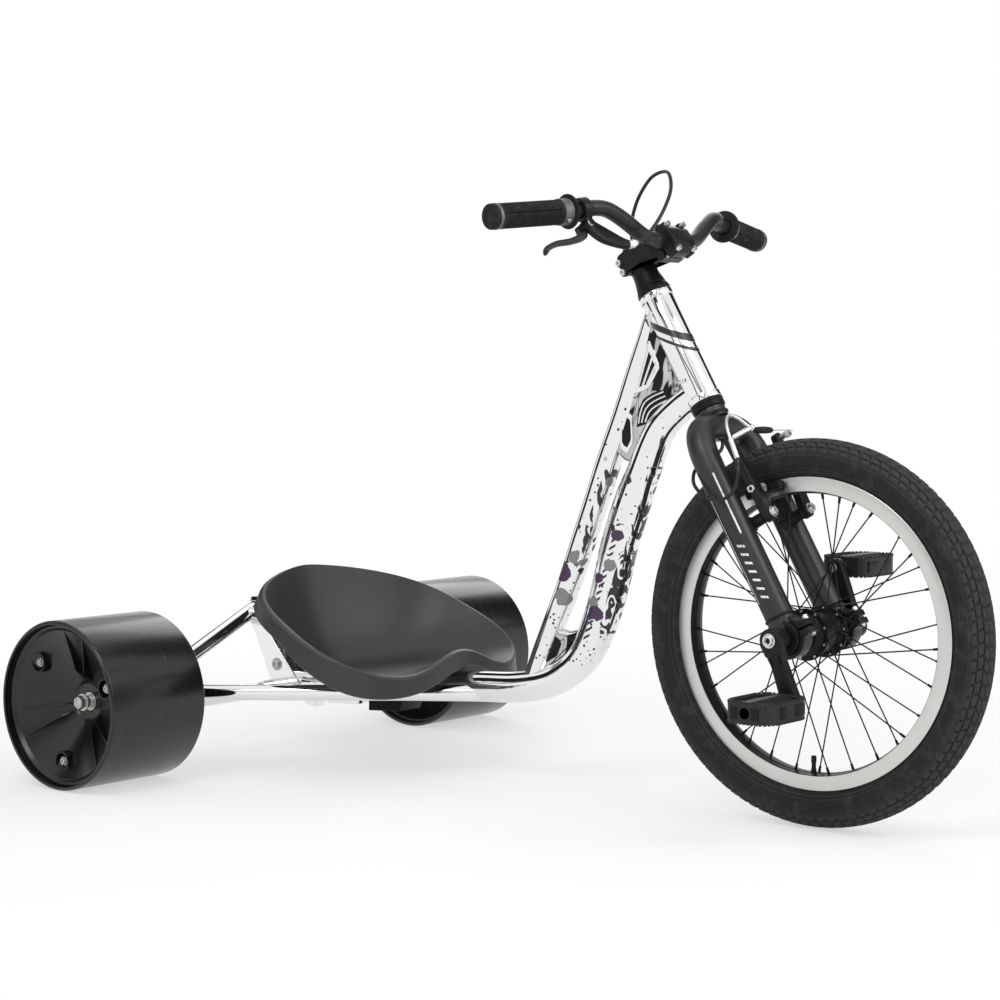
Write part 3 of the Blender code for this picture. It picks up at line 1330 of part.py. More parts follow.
def headset_spacer():
    bottom = HEAD_TUBE_TOP + CUP_HEIGHT
    top = SPACER_TOP
    spacer = turned("headset_spacer", [
        (0.0185, top), (0.0185, top - 0.0100), (0.0195, top - 0.0180), (0.0218, bottom),
        (STEERER_RADIUS + TOUCH, bottom), (STEERER_RADIUS + TOUCH, top),
    ], ring=True)
    place(spacer, SATIN_BLACK, STEERING)


def stem():
    body = plate("stem", STEM_OUTLINE, STEM_WIDTH * 0.86, bevel=0.0020)
    place(body, SATIN_BLACK, STEERING)
    weld(body, block("stem_cheeks", (0.0130, STEM_WIDTH, 0.0430), (0.0480, 0, BAR_CLAMP_Z)))
    cut(
        body,
        rod(
            "stem_bore", (0, 0, HEAD_TUBE_TOP), (0, 0, BAR_CLAMP_Z + STEM_WIDTH),
            STEERER_RADIUS + TOUCH, ROUND,
        ),
        bar_clamp_bore("stem_bar_bore"),
        block("stem_slot", (0.0200, STEM_SLOT, 0.0800), (-0.0220, 0, BAR_CLAMP_Z)),
    )
    face = plate("stem_faceplate", FACEPLATE_OUTLINE, STEM_WIDTH, bevel=0.0015)
    place(face, SATIN_BLACK, STEERING)
    for y in (-STEM_BOLT_Y, STEM_BOLT_Y):
        for z in (BAR_CLAMP_Z - STEM_BOLT_Z, BAR_CLAMP_Z + STEM_BOLT_Z):
            weld(face, rod(
                "faceplate_bolt", (BAR_CLAMP_X + 0.0100, y, z), (FACEPLATE_FRONT_X + 0.0010, y, z),
                STEM_BOLT_RADIUS, 8,
            ))
    cut(face, bar_clamp_bore("faceplate_bar_bore"))


def bar_clamp_bore(name):
    return rod(
        name, (BAR_CLAMP_X, -STEM_WIDTH, BAR_CLAMP_Z), (BAR_CLAMP_X, STEM_WIDTH, BAR_CLAMP_Z),
        BAR_CLAMP_RADIUS + TOUCH, ROUND,
    )


def handlebar():
    half = [(x, y, z) for y, x, z in BAR_ROUTE] + [BAR_BEND_END]
    bend = half[:1] + smooth_route(half[1:], 12)
    tip = Vector(BAR_TIP) - bar_direction(1) * (GRIP_END_WALL + TOUCH)
    right = [(x, -y, z) for x, y, z in reversed(bend[1:])]
    points = [(tip.x, -tip.y, tip.z)] + right + bend + [tuple(tip)]
    radii = []
    for _, y, _ in points:
        share = (BAR_TAPER_END - abs(y)) / (BAR_TAPER_END - BAR_CLAMP_HALF)
        thicker = BAR_CLAMP_RADIUS / BAR_RADIUS - 1
        radii.append(1 + thicker * min(max(share, 0.0), 1.0))
    bar = tube_mesh("handlebar", points, BAR_RADIUS, resolution=3, radii=radii)
    place(bar, SATIN_BLACK, STEERING)


def bar_direction(side):
    """The direction of the straight bar under a grip, outwards."""
    start, end = Vector(BAR_BEND_END), Vector(BAR_TIP)
    return Vector((end.x - start.x, side * (end.y - start.y), end.z - start.z)).normalized()


def grip(side):
    """A ribbed rubber grip with a flange inside, closed at its end, held by a clamp ring."""
    name = side_name(side)
    start, tip = Vector(BAR_BEND_END), Vector(BAR_TIP)
    start.y, tip.y = side * start.y, side * tip.y
    flange_start = (GRIP_START_Y - BAR_BEND_END[1]) / abs(bar_direction(1).y)
    end = (tip - start).length
    bore = (BAR_RADIUS + TOUCH) / math.cos(math.pi / SECTION_POINTS)
    ring_start = flange_start + GRIP_FLANGE_THICKNESS
    ring_end = ring_start + GRIP_RING_WIDTH
    profile = [(0.0, end), (GRIP_RADIUS - 0.0020, end), (GRIP_RADIUS, end - 0.0020)]
    ribs_top, ribs_bottom = end - 0.0110, ring_end + 0.0100
    pitch = (ribs_top - ribs_bottom) / GRIP_RIBS
    for k in range(GRIP_RIBS):
        top = ribs_top - k * pitch
        profile += [(GRIP_RADIUS, top), (GRIP_RADIUS - 0.0014, top - pitch / 2)]
    neck = GRIP_RADIUS - 0.0032
    profile += [
        (GRIP_RADIUS, ribs_bottom), (GRIP_RADIUS, ring_end + TOUCH), (neck, ring_end + TOUCH),
        (neck, ring_start - TOUCH), (GRIP_FLANGE_RADIUS, ring_start - TOUCH),
        (GRIP_FLANGE_RADIUS, flange_start), (bore, flange_start),
        (bore, end - GRIP_END_WALL), (0.0, end - GRIP_END_WALL),
    ]
    rubber = turned(f"grip_{name}", profile, steps=SECTION_POINTS)
    place(aim(rubber, start, tip), GRIP_RUBBER, STEERING)
    ring = turned(f"grip_ring_{name}", ring_profile(
        GRIP_RADIUS + 0.0010, neck + TOUCH, ring_start, ring_end,
    ), steps=SECTION_POINTS, ring=True)
    place(aim(ring, start, tip), GREY_ALLOY, STEERING)


def brake_perch():
    """The lever's bracket: a clamp round the bar, an arm in to the cable, and the lever's pin."""
    centre = Vector((PERCH_X, -PERCH_Y, PERCH_Z))
    along = Vector((BAR_BEND_END[0] - BAR_ROUTE[-1][1], BAR_ROUTE[-1][0] - BAR_BEND_END[1], 0))
    along.normalize()
    perch = rod(
        "brake_perch", centre - along * 0.0060, centre + along * 0.0060, BAR_RADIUS + 0.0055, ROUND,
    )
    place(perch, SATIN_BLACK, STEERING)
    arm = smooth_route([(*p, w) for p, w in zip(PERCH_ROUTE, PERCH_WIDTHS)], 6)
    base = PERCH_WIDTHS[0]
    body = tube_mesh(
        "perch_arm", [p[:3] for p in arm], base, resolution=3, radii=[p[3] / base for p in arm],
    )
    x, y, z = LEVER_PIVOT
    hub = rod("perch_hub", (x, y, z), (x + 0.0120, y, z), LEVER_HUB_RADIUS + 0.0010, SECTION_POINTS)
    pin = rod(
        "perch_pin", (x - LEVER_HUB_WIDTH - 0.001, y, z), (x + 0.002, y, z), LEVER_PIN_RADIUS,
        SECTION_POINTS,
    )
    weld(perch, body, hub, pin)
    cut(perch, rod(
        "perch_bore", centre - along * 0.03, centre + along * 0.03, BAR_RADIUS + 2 * TOUCH, ROUND,
    ))
    barrel_start = Vector(PERCH_ROUTE[-1])
    run = (Vector(BARREL_TIP) - barrel_start).normalized()
    barrel = rod(
        "barrel_adjuster", barrel_start - run * 0.0020, BARREL_TIP, BARREL_RADIUS, SECTION_POINTS,
    )
    place(barrel, MACHINED_ALLOY, STEERING)
    cut(perch, rod(
        "barrel_room", barrel_start - run * (0.0020 + TOUCH), Vector(BARREL_TIP) + run * 0.01,
        BARREL_RADIUS + 0.003, SECTION_POINTS,
    ))


def brake_lever():
    pivot = new_empty("lever_pivot", LEVER_PIVOT, parent=STEERING)
    lever = rod(
        "brake_lever", (-LEVER_HUB_WIDTH, 0, 0), (-TOUCH, 0, 0), LEVER_HUB_RADIUS, SECTION_POINTS,
    )
    place(lever, SATIN_BLACK, pivot)
    middle = -LEVER_HUB_WIDTH / 2 - 0.0020
    route = [(x + middle, y, z, w) for (x, y, z), w in zip(LEVER_ROUTE, LEVER_WIDTHS)]
    path = smooth_route(route, 8)
    base = LEVER_WIDTHS[0]
    blade = tube_mesh(
        "lever_blade", [p[:3] for p in path], base, resolution=3, radii=[p[3] / base for p in path],
    )
    blade.parent = pivot
    weld(lever, blade)
    cut(lever, rod("lever_bore", (-0.03, 0, 0), (0.03, 0, 0), LEVER_PIN_RADIUS + TOUCH, 12))


def brake_cable():
    """The housing, whole: over the bar, down the hollow steerer and round the right fork leg."""
    route = smooth_route(CABLE_LOOP + CABLE_TAIL, CABLE_POINTS)
    cable = tube("brake_cable", route, CABLE_RADIUS, 2)
    place(cable, CABLE_BLACK, STEERING)


# Rim brake: two arms on the fork's bosses, drawn together by the cable's wire

PAD_REACH = 0.0360
PAD_POST_X = 0.0410
ARM_TOP = (-ARM_TOP_Y, ARM_TOP_Z)
NOODLE_ROUTE = all_raised((
    (0.0540, -0.0808, -0.0218), (0.0550, -0.0785, 0.0000), (0.0555, -0.0720, 0.0260),
    (0.0555, -0.0570, 0.0410), (0.0580, -0.0430, 0.0370), (0.0610, -0.0350, 0.0260),
    (0.0625, -0.0310, 0.0205), (0.0640, -0.0270, 0.0150),
), FRONT_TYRE_RADIUS)
CRADLE_LENGTH = 0.0050
CRADLE_RADIUS = 0.0050
BOOT_START = raised((0.0640, -0.0246, 0.0145), FRONT_TYRE_RADIUS)
WIRE_END = raised((0.0640, 0.0700, 0.0122), FRONT_TYRE_RADIUS)
BOOT_LENGTH = 0.0420
BOOT_RIBS = 5
ANCHOR_Y = 0.0620
ANCHOR_Z = FRONT_TYRE_RADIUS + 0.0100
PIVOT_BOLT_LENGTH = 0.0060


def from_pivot(point, side):
    """A point in the fork's axes as seen from a brake arm's pivot."""
    x, y, z = point
    return (x, y - side * BOSS_Y, z - BOSS_Z)


def brake_arm(side):
    name = side_name(side)
    pivot = new_empty(f"brake_pivot_{name}", (0, side * BOSS_Y, BOSS_Z), parent=STEERING)
    top = (side * (ARM_TOP_Y - BOSS_Y), ARM_TOP_Z - BOSS_Z)
    outline = taper_outline((0, 0), ARM_FOOT_RADIUS, top, ARM_TOP_RADIUS)
    arm = plate(
        f"brake_arm_{name}", outline, ARM_THICKNESS, plane="YZ",
        offset=ARM_BACK + ARM_THICKNESS / 2,
    )
    place(arm, SATIN_BLACK, pivot)
    pad_z = math.sqrt((RIM_RADIUS - RIM_TRACK / 2 + 0.003) ** 2 - PAD_REACH**2)
    pad_back = RIM_HALF_WIDTH + PAD_GAP + PAD_THICKNESS
    post = rod(
        f"pad_post_{name}", from_pivot((PAD_POST_X, side * (pad_back + TOUCH), pad_z), side),
        from_pivot((PAD_POST_X, side * (BOSS_Y + 0.0100), pad_z), side), 0.0045, 12,
    )
    post.parent = pivot
    weld(arm, post)
    if side < 0:
        tip = Vector(from_pivot(NOODLE_ROUTE[-1], side))
        run = (tip - Vector(from_pivot(NOODLE_ROUTE[-2], side))).normalized()
        middle = tip - run * (CRADLE_LENGTH / 2 + 0.001)
        holder = rod(
            "noodle_cradle_arm", from_pivot((ARM_BACK + ARM_THICKNESS / 2, *ARM_TOP), side),
            middle, 0.0040, SECTION_POINTS,
        )
    else:
        front = WIRE_END[0] - WIRE_RADIUS - TOUCH
        holder = rod(
            "wire_anchor", from_pivot((ARM_BACK + 0.002, ANCHOR_Y, ANCHOR_Z), side),
            from_pivot((front, ANCHOR_Y, ANCHOR_Z), side), 0.0060, SECTION_POINTS,
        )
    holder.parent = pivot
    weld(arm, holder)
    if side < 0:
        half = run * CRADLE_LENGTH / 2
        cradle = rod(
            "noodle_cradle", middle - half, middle + half, CRADLE_RADIUS, SECTION_POINTS,
        )
        cradle.parent = pivot
        weld(arm, cradle)
        cut(arm, rod(
            "cradle_bore", middle - half * 4, middle + half * 4,
            (NOODLE_RADIUS + TOUCH) / math.cos(math.pi / SECTION_POINTS), SECTION_POINTS,
        ))
    cut(arm, rod(
        f"arm_bore_{name}", (0.02, 0, 0), (0.06, 0, 0), STUD_RADIUS + TOUCH, SECTION_POINTS,
    ))
    face = ARM_BACK + ARM_THICKNESS + TOUCH
    bolt = rod(
        f"brake_bolt_{name}", (face + TOUCH, side * BOSS_Y, BOSS_Z),
        (face + PIVOT_BOLT_LENGTH, side * BOSS_Y, BOSS_Z), 0.0075, SECTION_POINTS,
    )
    place(bolt, ZINC_STEEL, STEERING)
    cut(bolt, rod(
        f"brake_bolt_socket_{name}", (face + 0.0030, side * BOSS_Y, BOSS_Z),
        (face + 0.02, side * BOSS_Y, BOSS_Z), 0.0030, 6,
    ))
    brake_pad(side, pivot)
    return pivot


def brake_pad(side, pivot):
    """A curved shoe that follows the rim's braking track."""
    radius = RIM_RADIUS - RIM_TRACK / 2 + 0.003
    middle = math.asin(PAD_REACH / radius)
    spread = PAD_LENGTH / 2 / radius
    outline = []
    for reach, direction in ((radius - PAD_HEIGHT / 2, 1), (radius + PAD_HEIGHT / 2, -1)):
        for angle in np.linspace(middle - direction * spread, middle + direction * spread, 6):
            outline.append((reach * math.sin(angle), reach * math.cos(angle) - BOSS_Z))
    offset = side * (RIM_HALF_WIDTH + PAD_GAP + PAD_THICKNESS / 2 - BOSS_Y)
    pad = plate(f"brake_pad_{side_name(side)}", outline, PAD_THICKNESS, offset=offset)
    place(pad, TYRE_RUBBER, pivot)


def noodle_and_wire(pivot):
    """The bent guide pipe on the right arm, and the booted wire that it leads to the left arm."""
    route = [from_pivot(point, -1) for point in NOODLE_ROUTE]
    noodle = tube("brake_noodle", smooth_route(route, 15), NOODLE_RADIUS, 2)
    place(noodle, MACHINED_ALLOY, pivot)
    start, end = from_pivot(BOOT_START, -1), from_pivot(WIRE_END, -1)
    length = (Vector(end) - Vector(start)).length
    profile = [(0.0, length), (WIRE_RADIUS, length), (WIRE_RADIUS, BOOT_LENGTH)]
    pitch = BOOT_LENGTH / BOOT_RIBS
    for k in range(BOOT_RIBS):
        top = BOOT_LENGTH - k * pitch
        profile += [(BOOT_RADIUS * 0.6, top - pitch * 0.1), (BOOT_RADIUS, top - pitch * 0.6)]
    profile += [(BOOT_RADIUS * 0.6, 0.0), (0.0, 0.0)]
    wire = turned("cable_boot", profile, steps=8)
    place(aim(wire, start, end), CABLE_BLACK, pivot)


headset_spacer()
stem()
handlebar()
for each_side in (-1, 1):
    grip(each_side)
brake_perch()
brake_lever()
brake_cable()
brake_arm(1)
noodle_and_wire(brake_arm(-1))
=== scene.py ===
"""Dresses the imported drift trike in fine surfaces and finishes, and sets up its studio.

Every surface is worked out with numpy in millimetres, in the trike's own axes: +X forward, +Y to
the rider's left, +Z up from the ground. A piece is scaled to metres when its mesh is made. The
finishes, the studio and the camera are in metres. Each class below is one sub-assembly.
"""

from __future__ import annotations

import logging
import math
from dataclasses import dataclass, field
from enum import Enum
from typing import Any, Iterable

import bpy
import numpy as np
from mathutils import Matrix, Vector

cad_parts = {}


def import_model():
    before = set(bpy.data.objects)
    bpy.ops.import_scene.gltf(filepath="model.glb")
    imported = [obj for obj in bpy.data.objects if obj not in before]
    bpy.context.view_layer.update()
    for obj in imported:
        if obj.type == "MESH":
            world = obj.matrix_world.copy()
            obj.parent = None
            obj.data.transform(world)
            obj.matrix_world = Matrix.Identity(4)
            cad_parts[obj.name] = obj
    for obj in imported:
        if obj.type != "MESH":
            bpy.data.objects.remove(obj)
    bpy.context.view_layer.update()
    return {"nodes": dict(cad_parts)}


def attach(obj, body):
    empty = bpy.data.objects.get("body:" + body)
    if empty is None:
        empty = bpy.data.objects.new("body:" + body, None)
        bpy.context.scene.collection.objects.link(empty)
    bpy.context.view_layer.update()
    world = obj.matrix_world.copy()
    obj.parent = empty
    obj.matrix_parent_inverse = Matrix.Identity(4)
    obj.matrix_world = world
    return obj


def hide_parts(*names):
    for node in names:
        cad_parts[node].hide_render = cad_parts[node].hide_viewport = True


Array = np.ndarray
Point = tuple[float, float, float]
Rows = tuple[tuple[float, ...], ...]

LOG = logging.getLogger("drift_trike")
MILLIMETRE = 0.001


class Side(Enum):
    """The rider's left or right side, with its sign along Y."""

    LEFT = 1
    RIGHT = -1

    @property
    def label(self) -> str:
        """The side's name at the end of a node's name."""
        return self.name.lower()


class Plane(Enum):
    """The plane that a flat outline lies in, with where x, y and z stand in (across, up, deep)."""

    XY = (0, 1, 2)
    XZ = (0, 2, 1)
    YZ = (2, 0, 1)


@dataclass(frozen=True)
class Axes:
    """A set of axes to build in, given by its origin and its turn about Y in degrees.

    A positive turn tips the local Z axis towards -X, as the steering axis leans back.
    """

    origin: Point = (0.0, 0.0, 0.0)
    turn: float = 0.0

    def place(self, points: Array) -> Array:
        """Points given in these axes, turned and moved to the trike's own."""
        c, s = math.cos(math.radians(self.turn)), math.sin(math.radians(self.turn))
        return points @ np.array([[c, 0.0, s], [0.0, 1.0, 0.0], [-s, 0.0, c]]) + np.array(self.origin)


WHEELBASE = 985.0
FRONT_RADIUS = 260.0
REAR_RADIUS = 124.0
STEER_TILT = 29.86
CRANK_TURN = -68.5
REAR_X = -(WHEELBASE + FRONT_RADIUS - REAR_RADIUS) / 2
FRONT_X = REAR_X + WHEELBASE

WORLD = Axes()
REAR = Axes((REAR_X, 0.0, 0.0))
REAR_AXLE = Axes((REAR_X, 0.0, REAR_RADIUS))
FRONT_AXLE = Axes((FRONT_X, 0.0, FRONT_RADIUS))
FORK = Axes(FRONT_AXLE.origin, STEER_TILT)
CRANK = Axes(FRONT_AXLE.origin, CRANK_TURN)


# Surfaces


@dataclass
class Skin:
    """One surface: its points, its quads with a surface position at each corner, and its end caps."""

    points: Array
    quads: Array
    uv: Array
    caps: list[list[int]]

    def volume(self) -> float:
        """Six times the enclosed volume, which is negative where the faces point inwards.

        Returns:
            The sum over triangles of a dot (b cross c).
        """
        fans = [self.points[self.quads[:, [0, 1, 2]]], self.points[self.quads[:, [0, 2, 3]]]]
        for cap in self.caps:
            rest = self.points[cap][1:]
            hub = np.broadcast_to(self.points[cap[0]], rest[1:].shape)
            fans.append(np.stack([hub, rest[:-1], rest[1:]], 1))
        a, b, c = np.concatenate(fans).swapaxes(0, 1)
        return float(np.einsum("ij,ij->", a, np.cross(b, c)))

    def placed(self, axes: Axes) -> Skin:
        """The same surface moved from local axes to the trike's own."""
        return Skin(axes.place(self.points), self.quads, self.uv, self.caps)


def grid_skin(grid: Array, looped: bool = False) -> Skin:
    """A closed surface over a grid of points, where each quad joins four neighbours.

    Args:
        grid: Points of shape (rows, columns, 3). The last column joins the first.
        looped: Whether the last row joins the first too, instead of a cap over each end.

    Returns:
        The surface, facing outwards, with uv = (length along the rows, share round the columns).
    """
    rows, columns = grid.shape[:2]
    i, j = np.indices((rows if looped else rows - 1, columns)).reshape(2, -1)
    below, beside = (i + 1) % rows * columns, (j + 1) % columns
    quads = np.stack([i * columns + j, i * columns + beside, below + beside, below + j], 1)
    steps = np.linalg.norm(np.diff(grid, axis=0), axis=2).mean(axis=1)
    along = np.concatenate([[0.0], np.cumsum(steps), [steps.sum() + steps.mean()]])
    u, v = along[np.stack([i, i, i + 1, i + 1], 1)], np.stack([j, j + 1, j + 1, j], 1) / columns
    first, last = list(range(columns)), list(range(rows * columns - 1, (rows - 1) * columns - 1, -1))
    skin = Skin(grid.reshape(-1, 3), quads, np.stack([u, v], 2), [] if looped else [first, last])
    if skin.volume() >= 0.0:
        return skin
    return Skin(skin.points, quads[:, ::-1], skin.uv[:, ::-1], [cap[::-1] for cap in skin.caps])


def unit(vectors: Any) -> Array:
    """Vectors scaled to length one along their last axis."""
    return vectors / np.maximum(np.linalg.norm(vectors, axis=-1, keepdims=True), 1e-12)


def lengths(line: Array) -> Array:
    """How far along a line each of its points lies."""
    return np.concatenate([[0.0], np.cumsum(np.linalg.norm(np.diff(line, axis=0), axis=1))])


def angles(count: int) -> Array:
    """Angles that divide a full turn evenly, from 0."""
    return np.linspace(0, 2 * math.pi, count, endpoint=False)


def polar(radius: Any, angle: Array) -> Array:
    """Points (across, up) at a radius from the origin and angles round it."""
    return np.stack([radius * np.cos(angle), radius * np.sin(angle)], -1)


def superellipse(count: int, power: float = 2.0) -> Array:
    """Points (u, v) with |u|^power + |v|^power = 1, at even angles."""
    wave = polar(1.0, angles(count))
    return np.sign(wave) * np.abs(wave) ** (2 / power)


def spokes_about(axis: Array, angle: Array, seed: Point | None = None) -> Array:
    """Unit vectors square to an axis, across * cos + (axis cross across) * sin.

    Args:
        axis: The axis's unit vector.
        angle: The angles round it.
        seed: What across is square to, beside the axis: Y if it isn't given, or X near Y.

    Returns:
        A vector for each angle.
    """
    seed = seed or ((0.0, 1.0, 0.0) if abs(axis[1]) < 0.9 else (1.0, 0.0, 0.0))
    across = unit(np.cross(axis, seed))
    return np.cos(angle)[:, None] * across + np.sin(angle)[:, None] * np.cross(axis, across)


def smooth_route(route: Any, count: int) -> Array:
    """Points at even steps along a Catmull-Rom curve through the route's points.

    Between two knots the curve is half of 2 p1 + (p2 - p0) t + (2 p0 - 5 p1 + 4 p2 - p3) t squared
    + (3 p1 - p0 - 3 p2 + p3) t cubed.

    Args:
        route: The points to pass through, with any number of coordinates.
        count: How many points to return.

    Returns:
        An array of shape (count, coordinates).
    """
    knots = np.asarray(route, float)
    knots = np.vstack([2 * knots[0] - knots[1], knots, 2 * knots[-1] - knots[-2]])
    t = np.linspace(0, 1, 24, endpoint=False)[None, :, None]
    p0, p1, p2, p3 = (knots[k:len(knots) - 3 + k][:, None, :] for k in range(4))
    square, cube = 2 * p0 - 5 * p1 + 4 * p2 - p3, 3 * p1 - p0 - 3 * p2 + p3
    fine = 0.5 * (2 * p1 + (p2 - p0) * t + square * t**2 + cube * t**3)
    fine = np.vstack([fine.reshape(-1, knots.shape[1]), knots[-2]])
    along = lengths(fine)
    return np.stack([np.interp(np.linspace(0, along[-1], count), along, column) for column in fine.T], 1)


def fillet(outline: Any, radius: float, steps: int = 4, closed: bool = True) -> Array:
    """An outline with each corner rounded by a quadratic curve that starts and ends radius away.

    Args:
        outline: Corners of shape (n, 2).
        radius: How far from the corner the rounding starts.
        steps: Steps along each rounding.
        closed: Whether the last corner joins the first.

    Returns:
        The rounded outline's points.
    """
    corners = np.asarray(outline, float)
    back, on = np.roll(corners, 1, 0) - corners, np.roll(corners, -1, 0) - corners
    room = 0.48 * np.minimum(np.linalg.norm(back, axis=1), np.linalg.norm(on, axis=1))
    reach = np.minimum(radius, room)[:, None]
    start, end = (corners + unit(back) * reach)[:, None], (corners + unit(on) * reach)[:, None]
    t = np.linspace(0, 1, steps + 1)[None, :, None]
    bends = (1 - t) ** 2 * start + 2 * (1 - t) * t * corners[:, None] + t**2 * end
    if closed:
        return bends.reshape(-1, 2)
    return np.vstack([corners[:1], bends[1:-1].reshape(-1, 2), corners[-1:]])


def lathe(profile: Any, axis: Any, steps: int = 48, rounding: float = 0.0, start: Any = (0, 0, 0)) -> Skin:
    """A turned surface: each profile point (radius, height) sweeps a circle about the axis.

    Args:
        profile: Its points, looped into a ring unless it starts at the axis itself.
        axis: The axis's direction.
        steps: Points round each circle.
        rounding: The size of the rounding at the profile's corners.
        start: The axis's point at height 0.

    Returns:
        The closed surface.
    """
    looped = bool(profile[0][0] > 1.0)
    shape = fillet(profile, rounding, 3, looped) if rounding else np.asarray(profile, float)
    axis = unit(np.asarray(axis, float))
    spin = spokes_about(axis, angles(steps))
    return grid_skin(np.asarray(start) + shape[:, None, :1] * spin + shape[:, None, 1:] * axis, looped)


def spindle(start: Any, end: Any, shape: Any, steps: int, rounding: float = 0.0) -> Skin:
    """A turned surface between two points, whose profile is (radius, share of the way)."""
    run = np.subtract(end, start)
    return lathe(np.array(shape) * (1.0, np.linalg.norm(run)), run, steps, rounding, start)


def rod(
    start: Any, end: Any, radius: float, rounding: float = 0.6, steps: int = 32, tip: float = 0.0
) -> Skin:
    """A round bar between two points with rounded edges, and another radius at its end if given."""
    shape = [(radius * 0.02, 0), (radius, 0), (tip or radius, 1), ((tip or radius) * 0.02, 1)]
    return spindle(start, end, shape, steps, rounding)


def ring(start: Any, end: Any, outer: float, inner: float, rounding: float = 0.5, steps: int = 48) -> Skin:
    """A round sleeve between two points, with rounded edges."""
    return spindle(start, end, [(outer, 0), (outer, 1), (inner, 1), (inner, 0)], steps, rounding)


def hex_head(start: Any, end: Any, radius: float, hollow: float = 0.55) -> Skin:
    """A bolt's six-sided head, with a recess in its end whose radius is a share of its own."""
    crown = [(1, 0.8), (0.9, 1), (hollow, 1), (hollow * 0.9, 0.45), (0.05, 0.45)]
    return spindle(start, end, np.array([(0.05, 0), (1, 0), *crown]) * (radius, 1), 6)


def cap_head(start: Any, end: Any, radius: float) -> Skin:
    """A round cap screw's head, with a deep hole in its end."""
    crown = [(1, 0.82), (0.9, 1), (0.56, 1), (0.5, 0.92), (0.5, 0.35), (0.05, 0.3)]
    return spindle(start, end, np.array([(0.05, 0), (1, 0), *crown]) * (radius, 1), 24)


def sweep(path: Array, sizes: Any, section: Array, up: Point | None = None) -> Skin:
    """A section carried along a path: point + side * u * width / 2 + over * v * height / 2.

    Without an up vector the section's axes are turned from each step to the next by the least
    amount, so that the tube doesn't twist.

    Args:
        path: The centre line, of shape (n, 3).
        sizes: The radius, or an array of n radii, or of n (width, height) pairs.
        section: The section's unit outline.
        up: The direction that the section's first axis stays square to.

    Returns:
        The surface.
    """
    tangent = unit(np.gradient(path, axis=0))
    if up is None:
        seed = (0.0, 1.0, 0.0) if abs(tangent[0][1]) < 0.9 else (1.0, 0.0, 0.0)
        side = [unit(np.cross(seed, tangent[0]))]
        for step in tangent[1:]:
            side.append(unit(side[-1] - step * (side[-1] @ step)))
        side = np.array(side)
    else:
        side = unit(np.cross(np.array(up), tangent))
    radii = np.asarray(sizes) / 2 if np.ndim(sizes) == 2 else np.broadcast_to(sizes, (2, len(path))).T
    spread = radii[:, None] * section
    axes = np.stack([side, np.cross(tangent, side)], 1)
    return grid_skin(path[:, None] + spread @ axes)


def wire(route: Any, count: int, radius: float, sides: int = 24) -> Skin:
    """A round bar that follows the smooth curve through a route's points."""
    return sweep(smooth_route(route, count), radius, superellipse(sides))


def prism(
    outline: Any, low: float, high: float, bevel: float, plane: Plane = Plane.XZ, steps: int = 3
) -> Skin:
    """An outline given a thickness, its rims rounded by rows that step in along the corner normals.

    Args:
        outline: Corners of shape (n, 2), in the plane's two axes.
        low: Where the thickness starts along the third axis.
        high: Where it ends, on either side of the start.
        bevel: The size of the rounding.
        plane: The plane that the outline is given in.
        steps: Rows in each rounding.

    Returns:
        The closed surface.
    """
    low, high = sorted((low, high))
    corners = np.asarray(outline, float)
    after = np.roll(corners, -1, 0)
    before = unit(corners - np.roll(corners, 1, 0))
    along = unit(before + unit(after - corners))
    area = float(np.sum(corners[:, 0] * after[:, 1] - corners[:, 1] * after[:, 0]))
    stretch = math.copysign(1.0, area) / np.maximum(np.einsum("ij,ij->i", along, before), 0.5)
    normal = np.stack([along[:, 1], -along[:, 0]], 1) * stretch[:, None]
    turn = np.linspace(0, math.pi / 2, steps + 1)
    step_in, rise = bevel * (1 - np.sin(turn)), bevel * (1 - np.cos(turn))
    insets = np.concatenate([step_in, step_in[::-1]])[:, None, None]
    heights = np.concatenate([low + rise, high - rise[::-1]])[:, None, None]
    depth = np.broadcast_to(heights, (len(heights), len(corners), 1))
    return grid_skin(np.concatenate([corners - normal * insets, depth], 2)[:, :, plane.value])


def band(outer: Array, inner: Array, low: float, high: float, bevel: float, plane: Plane) -> Skin:
    """A closed band between two outlines, as deep as from low to high, with bevelled edges.

    Args:
        outer: The outer outline's points.
        inner: The inner outline, point for point.
        low: Where it starts, square to the plane of the outlines.
        high: Where it ends.
        bevel: How far its edges are taken off.
        plane: The plane that the outlines lie in.

    Returns:
        The band's surface.
    """
    share = bevel / max(float(np.linalg.norm(outer - inner, axis=1).mean()), bevel)
    near, far = outer + (inner - outer) * share, inner + (outer - inner) * share
    rows = [(outer, low + bevel), (outer, high - bevel), (near, high), (far, high),
            (inner, high - bevel), (inner, low + bevel), (far, low), (near, low)]
    grid = np.stack([np.column_stack([line, np.full(len(line), level)]) for line, level in rows])
    return grid_skin(grid[:, :, plane.value], looped=True)


def box(size: Point, centre: Point, bevel: float) -> Skin:
    """A block with rounded edges."""
    corners = np.array([(-1, -1), (1, -1), (1, 1), (-1, 1)]) * np.array(size[:2]) / 2
    skin = prism(fillet(corners, bevel), -size[2] / 2, size[2] / 2, bevel, Plane.XY)
    return skin.placed(Axes(centre))


def taper_outline(start: Any, start_radius: float, end: Any, end_radius: float, count: int) -> Array:
    """The outline of a bar with two round ends of unlike radius: an arc about each end.

    Args:
        start: The first end's centre.
        start_radius: Its radius.
        end: The other end's centre.
        end_radius: Its radius.
        count: Points on each arc.

    Returns:
        The outline's points.
    """
    run = np.subtract(end, start)
    heading = math.atan2(run[1], run[0])
    spread = math.acos((start_radius - end_radius) / float(np.linalg.norm(run)))
    first = polar(start_radius, np.linspace(spread, 2 * math.pi - spread, count) + heading)
    second = polar(end_radius, np.linspace(-spread, spread, count) + heading)
    return np.vstack([start + first, end + second])


